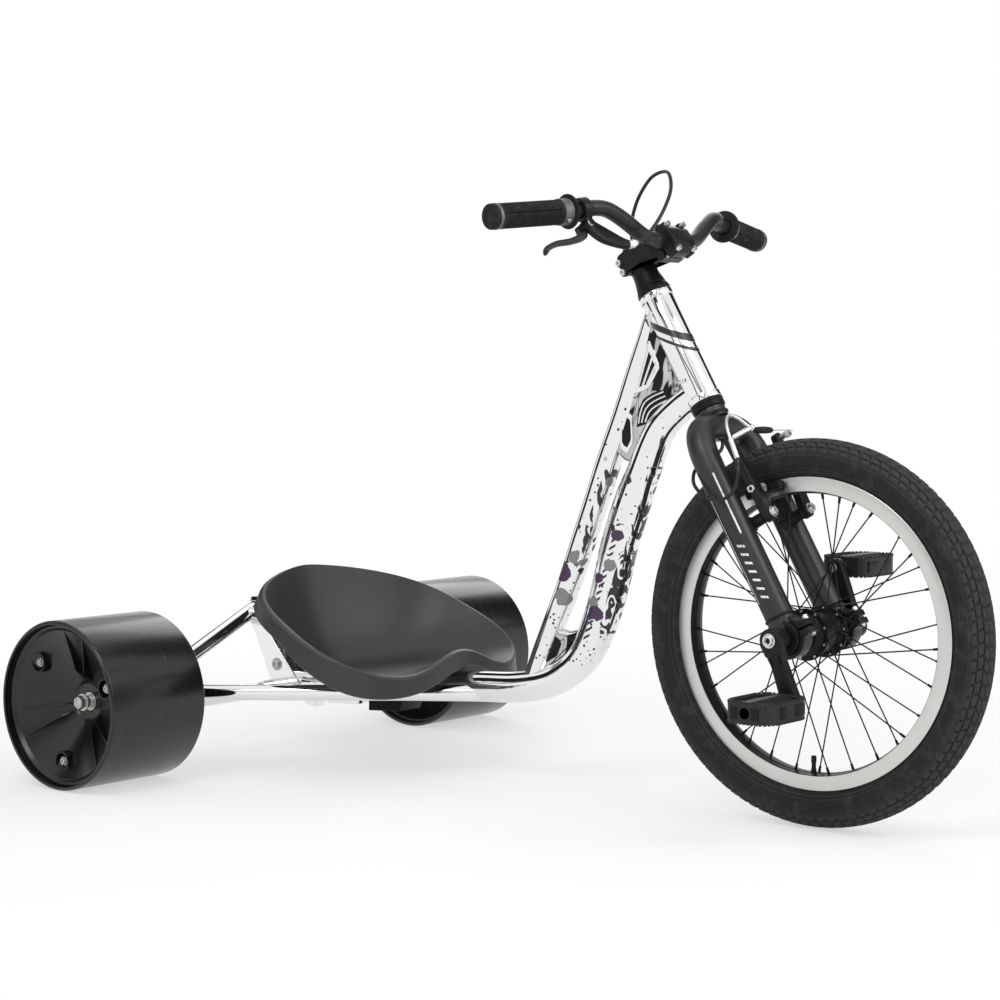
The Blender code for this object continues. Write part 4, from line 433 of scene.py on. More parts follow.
def weld_bead(route: Any, size: float = 3.0) -> Skin:
    """A weld along a seam: a small circle carried along it, its radius waving with the length."""
    line = smooth_route(route, 90)
    return sweep(line, size * ripple(lengths(line)), superellipse(10))


def round_weld(centre: Any, axis: Any, radius: float, size: float = 2.8) -> Skin:
    """A weld round a tube: a small circle carried round it, its radius waving with the angle.

    Args:
        centre: The middle of the ring.
        axis: The tube's direction.
        radius: The tube's radius.
        size: The small circle's largest radius.

    Returns:
        The closed ring.
    """
    axis, turn, spin = unit(np.asarray(axis, float)), angles(120), angles(10)[:, None]
    out = spokes_about(axis, turn)[:, None]
    bead = size * ripple(turn * radius)[:, None, None]
    grid = np.asarray(centre) + out * radius + bead * (out * np.cos(spin) + axis * np.sin(spin))
    return grid_skin(grid, looped=True)


def ripple(along: Array) -> Array:
    """A weld's thickness as a share of its largest, waving every 3 mm of its length."""
    return 0.86 + 0.14 * np.abs(np.sin(along * math.pi / 3.0))


def mirrored(half: Iterable[Any]) -> list[Any]:
    """A half profile of (radius, y), and the same backwards on the other side of y = 0."""
    half = list(half)
    return half + [(radius, -y) for radius, y in reversed(half)]


# Pieces


@dataclass
class Piece:
    """One object of the visual model: its surfaces with their finishes, and what it stands for."""

    name: str
    body: str
    slot: str
    replaces: tuple[str, ...]
    axes: Axes
    sharp: float = 38.0
    parts: list[tuple[Finish, Skin]] = field(default_factory=list)

    def add(self, finish: Finish, *skins: Skin, axes: Axes | None = None) -> None:
        """Adds surfaces in one finish, in the piece's own axes or in others if given."""
        self.parts += [(finish, skin.placed(axes or self.axes)) for skin in skins]

    def build(self) -> None:
        """Joins the surfaces into one mesh object, in metres, that rides on its body."""
        finishes = list(dict.fromkeys(finish for finish, _ in self.parts))
        points, faces, slots, corners, start = [], [], [], [], 0
        for finish, skin in self.parts:
            own = (skin.quads + start).tolist() + [[k + start for k in cap] for cap in skin.caps]
            faces += own
            slots += [finishes.index(finish)] * len(own)
            corners += [skin.uv.reshape(-1, 2), np.zeros((sum(map(len, skin.caps)), 2))]
            points.append(skin.points * MILLIMETRE)
            start += len(skin.points)
        mesh = bpy.data.meshes.new(self.name)
        mesh.from_pydata(np.vstack(points).tolist(), [], faces)
        for finish in finishes:
            mesh.materials.append(finish.material())
        mesh.polygons.foreach_set("material_index", slots)
        mesh.polygons.foreach_set("use_smooth", [True] * len(faces))
        layer = mesh.uv_layers.new(name="surface")
        layer.data.foreach_set("uv", np.vstack(corners).ravel())
        mesh.set_sharp_from_angle(angle=math.radians(self.sharp))
        mesh.update()
        piece = bpy.data.objects.new(self.name, mesh)
        bpy.context.scene.collection.objects.link(piece)
        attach(piece, self.body)
        if self.replaces:
            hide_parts(*self.replaces)
        LOG.info("%s: %d faces on %s", self.name, len(faces), self.body)


# Shader maths


@dataclass(frozen=True)
class Socket:
    """A node's output that Python expressions combine: values by Math, vectors by Vector Math."""

    net: Net
    link: Any

    def __add__(self, other: Any) -> Socket:
        """The sum."""
        return self.net.combine("ADD", self, other)

    def __radd__(self, other: Any) -> Socket:
        """The sum, with this on the right."""
        return self.net.combine("ADD", other, self)

    def __sub__(self, other: Any) -> Socket:
        """The difference."""
        return self.net.combine("SUBTRACT", self, other)

    def __rsub__(self, other: Any) -> Socket:
        """The difference, with this on the right."""
        return self.net.combine("SUBTRACT", other, self)

    def __mul__(self, other: Any) -> Socket:
        """The product."""
        return self.net.combine("MULTIPLY", self, other)

    def __rmul__(self, other: Any) -> Socket:
        """The product, with this on the right."""
        return self.net.combine("MULTIPLY", other, self)

    def __truediv__(self, other: Any) -> Socket:
        """The quotient."""
        return self.net.combine("DIVIDE", self, other)

    def __pow__(self, other: Any) -> Socket:
        """The power."""
        return self.net.combine("POWER", self, other)

    def __abs__(self) -> Socket:
        """The size without its sign."""
        return self.maths("ABSOLUTE")

    def maths(self, operation: str, *others: Any) -> Socket:
        """What a Math node makes of this and the others."""
        return self.net.node("Math", {0: self, **dict(enumerate(others, 1))}, operation=operation)

    def wave(self) -> Socket:
        """The sine."""
        return self.maths("SINE")

    def fraction(self) -> Socket:
        """What is left after the whole number."""
        return self.maths("FRACT")

    def angle(self, other: Socket) -> Socket:
        """The angle of the point whose height is this and whose reach is the other."""
        return self.maths("ARCTAN2", other)

    def larger(self, *others: Socket) -> Socket:
        """The largest of the values."""
        first = self.maths("MAXIMUM", others[0])
        return first.larger(*others[1:]) if others[1:] else first

    def parts(self) -> list[Socket]:
        """A vector's three coordinates."""
        split = self.net.node("SeparateXYZ", {0: self}).link.node
        return [Socket(self.net, output) for output in split.outputs]

    def above(self, edge: Any, soft: float = 0.02) -> Socket:
        """A mask that rises from 0 to 1 where the value passes an edge.

        Args:
            edge: The value at the middle of the rise.
            soft: Half the width of the rise.

        Returns:
            The mask, between 0 and 1.
        """
        values = {0: self, 1: edge - soft, 2: edge + soft, 3: 0.0, 4: 1.0}
        return self.net.node("MapRange", values, interpolation_type="SMOOTHSTEP")

    def below(self, edge: Any, soft: float = 0.02) -> Socket:
        """A mask that is 1 where the value is under an edge."""
        return 1.0 - self.above(edge, soft)

    def between(self, low: float, high: float, soft: float = 0.001) -> Socket:
        """A mask that is 1 from one value to another."""
        return self.above(low, soft) * self.below(high, soft)


class Net:
    """The node tree of one material or world."""

    def __init__(self, tree: Any) -> None:
        """Starts with an empty tree."""
        self.tree = tree
        tree.nodes.clear()

    def node(self, kind: str, inputs: dict[Any, Any], output: Any = 0, **settings: Any) -> Socket:
        """Adds one node.

        Args:
            kind: The node's type, without the word that all of them start with.
            inputs: Links, numbers or tuples for its sockets, by name or index.
            output: The output to hand back, by name or index.
            **settings: Its properties.

        Returns:
            The chosen output.
        """
        node = self.tree.nodes.new(f"ShaderNode{kind}")
        for key, value in settings.items():
            setattr(node, key, value)
        for key, value in inputs.items():
            if isinstance(value, Socket):
                self.tree.links.new(value.link, node.inputs[key])
            else:
                node.inputs[key].default_value = value
        return Socket(self, node.outputs[output] if len(node.outputs) else node)

    def combine(self, operation: str, *pair: Any) -> Socket:
        """Joins two operands, through Vector Math where either is a vector and Math otherwise.

        Args:
            operation: The node's operation.
            *pair: Sockets, numbers or tuples.

        Returns:
            The result.
        """
        if not any(isinstance(x, tuple) or isinstance(x, Socket) and x.link.type == "VECTOR" for x in pair):
            return self.node("Math", dict(enumerate(pair)), operation=operation)
        pair = ((x,) * 3 if isinstance(x, (int, float)) else x for x in pair)
        return self.node("VectorMath", dict(enumerate(pair)), operation=operation)

    def mix(self, mask: Any, first: Any, second: Any) -> Socket:
        """Blends two colours: the first where the mask is 0, the second where it is 1."""
        first, second = ((*x, 1.0) if isinstance(x, tuple) else x for x in (first, second))
        return self.node("Mix", {0: mask, 6: first, 7: second}, 2, data_type="RGBA", clamp_factor=True)

    def vector(self, x: Socket, y: Socket, z: Socket) -> Socket:
        """Joins three coordinates."""
        return self.node("CombineXYZ", {0: x, 1: y, 2: z})

    def place(self, axes: Axes = WORLD) -> Socket:
        """The point's place in metres from the origin of some axes, without their turn."""
        place = self.node("TexCoord", {}, "Object")
        return place if axes is WORLD else place - tuple(value * MILLIMETRE for value in axes.origin)

    def along_fork(self) -> tuple[Socket, Socket, Socket]:
        """How far the point lies forward, across and up in the fork's own axes, in metres.

        Returns:
            The three distances.
        """
        x, y, z = self.place(FORK).parts()
        cosine, sine = math.cos(math.radians(STEER_TILT)), math.sin(math.radians(STEER_TILT))
        return x * cosine + z * sine, y, z * cosine - x * sine

    def noise(self, vector: Socket, scale: float, detail: float = 4.0, roughness: float = 0.55) -> Socket:
        """Cloudy noise between 0 and 1, with so many features to the metre."""
        inputs = {"Vector": vector, "Scale": scale, "Detail": detail, "Roughness": roughness}
        return self.node("TexNoise", inputs)

    def bump(self, height: Socket, distance: float) -> Socket:
        """A surface normal shaped by a height, whose full range is so many metres."""
        return self.node("Bump", {"Strength": 1.0, "Distance": distance, "Height": height})


@dataclass(frozen=True)
class Finish:
    """What all finishes share: a name, and one material made the first time it is asked for."""

    name: str

    def material(self) -> bpy.types.Material:
        """The finish's material, built once.

        Returns:
            The material.
        """
        found = bpy.data.materials.get(f"finish_{self.name}")
        if found:
            return found
        material = bpy.data.materials.new(f"finish_{self.name}")
        material.use_nodes = True
        net = Net(material.node_tree)
        net.node("OutputMaterial", {"Surface": net.node("BsdfPrincipled", self.sockets(net))})
        return material

    def sockets(self, net: Net) -> dict[str, Any]:
        """What goes into the shader's sockets.

        Args:
            net: The material's node tree.

        Returns:
            Numbers, colours or links by socket name.
        """
        raise NotImplementedError


@dataclass(frozen=True)
class ChromePlate(Finish):
    """Bright plating with faint haze, hairlines and a few specks of road dirt."""

    tint: Point = (0.86, 0.86, 0.87)
    shade: Point = (0.8, 0.8, 0.82)
    dirt: Point = (0.12, 0.11, 0.1)
    haze: float = 0.05
    relief: float = 0.00012

    def plated(self, net: Net) -> tuple[Socket, Socket, Socket]:
        """The bare plating, which the printed kinds cover in part.

        Args:
            net: The material's node tree.

        Returns:
            Its colour, roughness and height.
        """
        place = net.place()
        cloud = net.noise(place, 26.0)
        hairs = net.noise(place * (90.0, 900.0, 900.0), 1.0, 2.0).above(0.69, 0.03)
        dirt = net.noise(place, 420.0, 3.0).above(0.74, 0.03) * net.noise(place, 12.0).above(0.55, 0.1)
        colour = net.mix(dirt * 0.6, net.mix(cloud, self.tint, self.shade), self.dirt)
        rough = self.haze + 0.05 * cloud.above(0.6, 0.15) + 0.1 * hairs + 0.4 * dirt
        return colour, rough, net.noise(place, 55.0, 1.0)

    def sockets(self, net: Net) -> dict[str, Any]:
        """Metal all over.

        Args:
            net: The material's node tree.

        Returns:
            Values and links by socket name.
        """
        colour, rough, height = self.plated(net)
        bump = net.bump(height, self.relief)
        return {"Base Color": colour, "Metallic": 1.0, "Roughness": rough, "Normal": bump}


@dataclass(frozen=True)
class SplashedChrome(ChromePlate):
    """Plating under a printed film: splashes of paint, a black maze, stripes, ticks and bands."""

    low: float = 0.26
    high: float = 0.49
    black: Point = (0.01, 0.01, 0.011)
    grey: Point = (0.21, 0.21, 0.215)
    violet: Point = (0.046, 0.014, 0.058)
    bands: tuple[tuple[float, float], ...] = ((0.468, 0.0065), (0.449, 0.003))

    def drops(self, net: Net, pitch: float, size: float, share: float, low: float, high: float) -> Socket:
        """Round splashes with ragged rims: points near scattered centres, a share of them used.

        Args:
            net: The material's node tree.
            pitch: Centres to the metre.
            size: A drop's largest radius as a share of the pitch.
            share: How many of the centres have a drop.
            low: The height where the drops begin.
            high: The height where they end.

        Returns:
            1 on a drop, 0 elsewhere.
        """
        place = net.place()
        warp = net.node("TexNoise", {"Vector": place, "Scale": pitch * 2.3, "Detail": 4.0}, "Color")
        inputs = {"Vector": place + warp * (0.6 / pitch), "Scale": pitch}
        outputs = ("Distance", "Color", "Position")
        near, colour, centre = (net.node("TexVoronoi", inputs, output) for output in outputs)
        lot, height = colour.parts(), centre.parts()[2]
        used = lot[0].above(1.0 - share, 0.001) * height.above(low, 0.001) * height.below(high, 0.001)
        return near.below(lot[1] * size * 0.7 + size * 0.5, 0.01) * used

    def stripes(self, net: Net) -> Socket:
        """The maze of black on both tubes' fronts, and the row of slanted ticks beside it.

        Distances are taken across each tube's straight centre line: x less its slope times z.

        Args:
            net: The material's node tree.

        Returns:
            1 on the print, 0 elsewhere.
        """
        place = net.place()
        x, _, z = place.parts()
        main, top = x - z * 0.344 + 0.0172, x - z * 0.418 + 0.117
        ragged = main - net.noise(place, 26.0, 2.0) * 0.012
        maze = abs((net.noise(place * (46.0, 46.0, 30.0), 1.0, 1.0) * 5.0).fraction() - 0.5).below(0.27, 0.03)
        maze = maze * (ragged.above(0.0085, 0.0004) * z.between(0.235, 0.355))
        upper = ragged.above(0.0115, 0.0004) * z.between(0.34, 0.475)
        upper = upper.larger(top.between(0.0085, 0.019, 0.0004) * z.between(0.33, 0.47))
        streaks = net.noise(place * (150.0, 70.0, 26.0), 1.0, 2.0).above(0.52, 0.01) * upper
        row = abs(main + 0.0005).below(0.0044, 0.0003) * z.between(0.222, 0.395, 0.0003)
        ticks = (z * 92.0 - main * 60.0).fraction().below(0.42, 0.03)
        ticks = ticks * (z * 23.0).fraction().below(0.86, 0.01)
        lines = (main * 620.0).fraction().below(0.42, 0.04) * abs(main + 0.0155).below(0.005, 0.0004)
        gaps = net.noise(place * (90.0, 90.0, 22.0), 1.0, 1.0).above(0.45, 0.02)
        return maze.larger(streaks, lines * gaps * z.between(0.3, 0.5, 0.02), row * ticks)

    def printed(self, net: Net) -> Socket:
        """Plain slanted bands round the head tube: up + 1.1 * forward lies near a fixed height.

        Args:
            net: The material's node tree.

        Returns:
            1 on a band, 0 elsewhere.
        """
        forward, _, up = net.along_fork()
        masks = [abs(up + forward * 1.1 - height).below(half, 0.0006) for height, half in self.bands]
        return masks[0].larger(*masks[1:]) * abs(forward).below(0.0245, 0.0005)

    def sockets(self, net: Net) -> dict[str, Any]:
        """Metal where the film is bare, dull paint where a splash covers it.

        Args:
            net: The material's node tree.

        Returns:
            Values and links by socket name.
        """
        colour, rough, height = self.plated(net)
        fine = self.drops(net, 150.0, 0.26, 0.35, 0.19, 0.56)
        ink = self.drops(net, 62.0, 0.3, 0.36, self.low, self.high)
        grey = self.drops(net, 35.0, 0.42, 0.5, self.low, self.high)
        violet = self.drops(net, 31.0, 0.42, 0.4, self.low, self.high)
        mask = self.stripes(net).larger(self.printed(net), ink, fine, grey, violet)
        paint = net.mix(violet, net.mix(grey, self.black, self.grey), self.violet)
        return {
            "Base Color": net.mix(mask, colour, paint),
            "Metallic": 1.0 - mask,
            "Roughness": rough * (1.0 - mask) + 0.34 * mask,
            "Coat Weight": 0.2,
            "Coat Roughness": 0.1,
            "Normal": net.bump(height + mask * 0.6, self.relief),
        }


@dataclass(frozen=True)
class PaintedShadeChrome(ChromePlate):
    """The gusset's plating: a darker tint that is painted shade, with black patches along the plate that are
    painted dark reflections.
    """

    # The dark tint is painted shade over the whole gusset.
    tint: Point = (0.24, 0.235, 0.23)
    # The near black of the painted dark reflections.
    painted_reflection_colour: Point = (0.02, 0.02, 0.021)

    def sockets(self, net: Net) -> dict[str, Any]:
        """Metal whose tint falls to near black, as painted dark reflections, where long smooth clouds cross
        it.

        Args:
            net: The material's node tree.

        Returns:
            Values and links by socket name.
        """
        colour, rough, height = self.plated(net)
        x, y, z = net.place().parts()
        along, across = x * 0.4 + z * 0.92, x * 0.92 - z * 0.4
        cloud = net.noise(net.vector(across * 30.0, y * 12.0, along * 11.0), 1.0, 2.0, 0.5)
        # Painted dark reflections: black patches, and thin dark edges beside them.
        black = cloud.above(0.56, 0.012).larger(abs(cloud - 0.47).below(0.006, 0.003) * 0.8)
        return {
            "Base Color": net.mix(black, colour, self.painted_reflection_colour),
            "Metallic": 1.0,
            "Roughness": rough + 0.1,
            "Normal": net.bump(height, self.relief),
        }


@dataclass(frozen=True)
class SatinPaint(Finish):
    """Powder paint: near black, with a fine orange peel, worn grains and settled dust."""

    colour: Point = (0.0085, 0.0085, 0.009)
    rough: float = 0.4
    peel: float = 0.00006
    dust: float = 0.5
    shine: float = 0.3

    def sockets(self, net: Net) -> dict[str, Any]:
        """Paint all over.

        Args:
            net: The material's node tree.

        Returns:
            Values and links by socket name.
        """
        place = net.place()
        cloud = net.noise(place, 18.0)
        dust = net.noise(place, 260.0, 5.0, 0.7).above(0.63, 0.06) * self.dust
        light = tuple(c * 1.9 + 0.006 for c in self.colour)
        colour = net.mix(dust * 0.5, net.mix(cloud, self.colour, light), (0.05, 0.05, 0.052))
        colour, relief = self.marked(net, colour)
        height = net.noise(place, 650.0, 2.0) + 0.4 * net.noise(place, 2400.0, 1.0)
        return {
            "Base Color": colour,
            "Roughness": self.rough - 0.05 + 0.1 * cloud + 0.12 * dust,
            "Normal": net.bump(height if relief is None else height + relief, self.peel),
            "Specular IOR Level": self.shine,
        }

    def marked(self, net: Net, colour: Socket) -> tuple[Socket, Socket | None]:
        """The paint's colour under what is printed on it: nothing on the plain kind."""
        return colour, None


@dataclass(frozen=True)
class StripedPaint(SatinPaint):
    """The fork legs' paint, with pinstripes and slanted dashes printed along each leg's side."""

    bottom: float = 0.055
    print_colour: Point = (0.8, 0.8, 0.79)

    def marked(self, net: Net, colour: Socket) -> tuple[Socket, Socket | None]:
        """White print where the stripes lie, worked out in the fork's own axes.

        Args:
            net: The material's node tree.
            colour: The bare paint's colour.

        Returns:
            The colour with the print, and how far the print stands up.
        """
        forward, y, up = net.along_fork()
        outside = (abs(y) - 0.064).above(0.006, 0.001)
        pin = abs(forward - 0.0105).below(0.001, 0.0003) * up.between(0.15, 0.24)
        fine = abs(forward + 0.0105).below(0.0006, 0.0002) * up.between(self.bottom, 0.214)
        step = ((up + forward * 0.55 - self.bottom) / 0.0125).fraction()
        dash = step.between(0.34, 0.62, 0.02) * abs(forward - 0.003).below(0.0048, 0.0003)
        wear = net.noise(net.place(), 300.0, 4.0).below(0.62, 0.03)
        mask = pin.larger(fine, dash * up.between(self.bottom, 0.14)) * outside * wear
        return net.mix(mask, colour, self.print_colour), mask * 0.8


@dataclass(frozen=True)
class MouldedPlastic(Finish):
    """Moulded plastic with a pebbled grain, pale rub marks and finer specks."""

    colour: Point = (0.02, 0.02, 0.021)
    rough: float = 0.5
    grain: float = 0.00012
    pitch: float = 900.0
    rubs: float = 0.35
    shine: float = 0.28

    def sockets(self, net: Net) -> dict[str, Any]:
        """Plastic all over.

        Args:
            net: The material's node tree.

        Returns:
            Values and links by socket name.
        """
        place = net.place()
        cloud = net.noise(place, 9.0, 3.0)
        rubs = net.noise(place * (35.0, 160.0, 90.0), 1.0, 6.0, 0.7).above(0.66, 0.08) * self.rubs
        light, pale = (tuple(c * k + lift for c in self.colour) for k, lift in ((1.35, 0.0), (2.6, 0.004)))
        pebbles = net.node("TexVoronoi", {"Vector": place, "Scale": self.pitch})
        return {
            "Base Color": net.mix(rubs, net.mix(cloud, self.colour, light), pale),
            "Roughness": self.rough - 0.04 + 0.08 * cloud - 0.1 * rubs,
            "Normal": net.bump(pebbles + 0.5 * net.noise(place, self.pitch * 2.0, 2.0), self.grain),
            "Specular IOR Level": self.shine,
        }


@dataclass(frozen=True)
class SlickPlastic(Finish):
    """A rear sleeve's glossy plastic: turned round its axle, so its scuffs run round it."""

    colour: Point = (0.0065, 0.0065, 0.007)
    worn: Point = (0.085, 0.085, 0.088)
    rough: float = 0.2
    scuffs: float = 1.0

    def sockets(self, net: Net) -> dict[str, Any]:
        """Plastic whose noise is stretched along the angle about the axle.

        Args:
            net: The material's node tree.

        Returns:
            Values and links by socket name.
        """
        x, y, z = net.place(REAR_AXLE).parts()
        place, reach = net.place(), (x * x + z * z) ** 0.5
        lines = net.noise(net.vector(z.angle(x) * 2.2, y * 900.0, reach * 900.0), 1.0, 3.0, 0.6)
        cloud = net.noise(place, 14.0, 4.0)
        scratch = lines.above(0.66, 0.03) * cloud.above(0.52, 0.08) * self.scuffs
        dust = net.noise(place, 330.0, 4.0, 0.7).above(0.66, 0.05) * self.scuffs
        return {
            "Base Color": net.mix(scratch * 0.5 + dust * 0.25, self.colour, self.worn),
            "Roughness": self.rough + 0.1 * cloud + 0.18 * scratch + 0.12 * dust,
            "Coat Weight": 0.3,
            "Coat Roughness": 0.16,
            "Normal": net.bump(lines * 0.6 + cloud, 0.00004),
            "Specular IOR Level": 0.35,
        }


@dataclass(frozen=True)
class TyreRubber(Finish):
    """Tyre rubber with moulded rings on its walls, a matt dusty bloom and grey tread faces."""

    colour: Point = (0.015, 0.015, 0.0155)
    tread: Point = (0.034, 0.034, 0.035)
    dusty: Point = (0.045, 0.045, 0.046)
    rings: Rows = ((0.2155, 0.0005), (0.22, 0.0004), (0.2385, 0.0004))

    def sockets(self, net: Net) -> dict[str, Any]:
        """Rubber with rings at fixed distances from the front axle.

        Args:
            net: The material's node tree.

        Returns:
            Values and links by socket name.
        """
        x, _, z = net.place(FRONT_AXLE).parts()
        place, reach = net.place(), (x * x + z * z) ** 0.5
        ridges = [abs(reach - radius).below(half, 0.0003) for radius, half in self.rings]
        ridge = ridges[0].larger(*ridges[1:])
        grain = net.noise(place, 1300.0, 3.0, 0.6)
        bloom = net.noise(place, 60.0, 5.0, 0.65)
        rubbed = net.mix(reach.above(0.242, 0.004), self.colour, self.tread)
        colour = net.mix(bloom.above(0.58, 0.12) * 0.6, rubbed, self.dusty)
        return {
            "Base Color": net.mix(ridge * 0.5, colour, (0.07, 0.07, 0.07)),
            "Roughness": 0.62 + 0.2 * bloom,
            "Normal": net.bump(grain + ridge * 3.0, 0.0001),
            "Specular IOR Level": 0.22,
        }


@dataclass(frozen=True)
class BrushedAlloy(Finish):
    """Machined metal whose fine tool lines run round the front axle, or any way if plain."""

    colour: Point = (0.7, 0.7, 0.69)
    rough: float = 0.24
    turned: bool = True
    grain: float = 1.0

    def sockets(self, net: Net) -> dict[str, Any]:
        """Metal with tool lines, dulled by patches of handling.

        Args:
            net: The material's node tree.

        Returns:
            Values and links by socket name.
        """
        place = net.place()
        if self.turned:
            x, y, z = net.place(FRONT_AXLE).parts()
            across = net.vector((x * x + z * z) ** 0.5 * 2600.0, z.angle(x) * 3.0, y * 60.0)
        else:
            across = place * (2200.0, 240.0, 2200.0)
        lines = net.noise(across, 1.0, 2.0)
        cloud = net.noise(place, 40.0, 4.0)
        marks = net.noise(place, 150.0, 5.0, 0.7).above(0.67, 0.04)
        dulled = cloud * (0.5 * self.grain) + marks * (0.4 * self.grain)
        return {
            "Base Color": net.mix(dulled, self.colour, tuple(c * 0.62 for c in self.colour)),
            "Metallic": 1.0,
            "Roughness": self.rough + 0.1 * cloud + (0.15 * self.grain) * lines,
            "Normal": net.bump(lines, 0.00003 * self.grain),
        }


@dataclass(frozen=True)
class RibbedRubber(Finish):
    """Soft grip rubber: matt, with a fine cross-hatch and worn crowns."""

    colour: Point = (0.012, 0.012, 0.0125)
    worn: Point = (0.036, 0.036, 0.037)

    def sockets(self, net: Net) -> dict[str, Any]:
        """Rubber with a hatch of waves along and round the grip.

        Args:
            net: The material's node tree.

        Returns:
            Values and links by socket name.
        """
        u, v, _ = net.node("UVMap", {}, uv_map="surface").parts()
        hatch = (u * 4.2).wave() * (v * 560.0).wave()
        grain = net.noise(net.place(), 1500.0, 2.0)
        worn = net.noise(net.place(), 70.0, 5.0, 0.7).above(0.56, 0.1)
        return {
            "Base Color": net.mix(worn * 0.5, self.colour, self.worn),
            "Roughness": 0.66 - 0.12 * worn + 0.1 * grain,
            "Normal": net.bump(hatch * 0.5 + grain, 0.00008),
            "Specular IOR Level": 0.22,
        }


CHROME = ChromePlate("chrome")
SPLASHED = SplashedChrome("splashed_chrome")
# The gusset plating carries painted shade and painted dark reflections.
SHADE_PAINTED_CHROME = PaintedShadeChrome("shade_painted_chrome")
PAINT = SatinPaint("satin_paint", (0.0065, 0.0065, 0.0068), 0.32, shine=0.17)
DARK_PAINT = SatinPaint("dark_paint", (0.004, 0.004, 0.0043), 0.32, shine=0.15)
FORK_PAINT = StripedPaint("fork_paint", (0.008, 0.008, 0.0084), 0.36, shine=0.5)
BAR_PAINT = SatinPaint("bar_paint", (0.0095, 0.009, 0.0088), 0.3, dust=0.2)
SEAT_PLASTIC = MouldedPlastic("seat_plastic", (0.024, 0.024, 0.025), 0.4, rubs=0.2, shine=0.5)
CORE_PLASTIC = SlickPlastic("core_plastic", (0.006, 0.006, 0.0065), rough=0.24, scuffs=0.4)
SLEEVE_PLASTIC = SlickPlastic("sleeve_plastic")
PEDAL_PLASTIC = MouldedPlastic("pedal_plastic", (0.015, 0.015, 0.0155), 0.46, rubs=0.5)
TYRE = TyreRubber("tyre_rubber")
PAD_RUBBER = RibbedRubber("pad_rubber", (0.016, 0.016, 0.016))
GRIP = RibbedRubber("grip_rubber")
TRACK = BrushedAlloy("rim_track", (0.66, 0.66, 0.64), 0.22, grain=0.3)
SILVER = BrushedAlloy("bright_alloy", (0.78, 0.78, 0.77), 0.2, turned=False)
ZINC = BrushedAlloy("zinc_plate", (0.6, 0.6, 0.58), 0.28, turned=False)
GREY = BrushedAlloy("grey_anodising", (0.2, 0.2, 0.2), 0.42, turned=False)
CABLE_SKIN = SatinPaint("cable_skin", (0.01, 0.01, 0.01), 0.24, dust=0.1)


# Frame


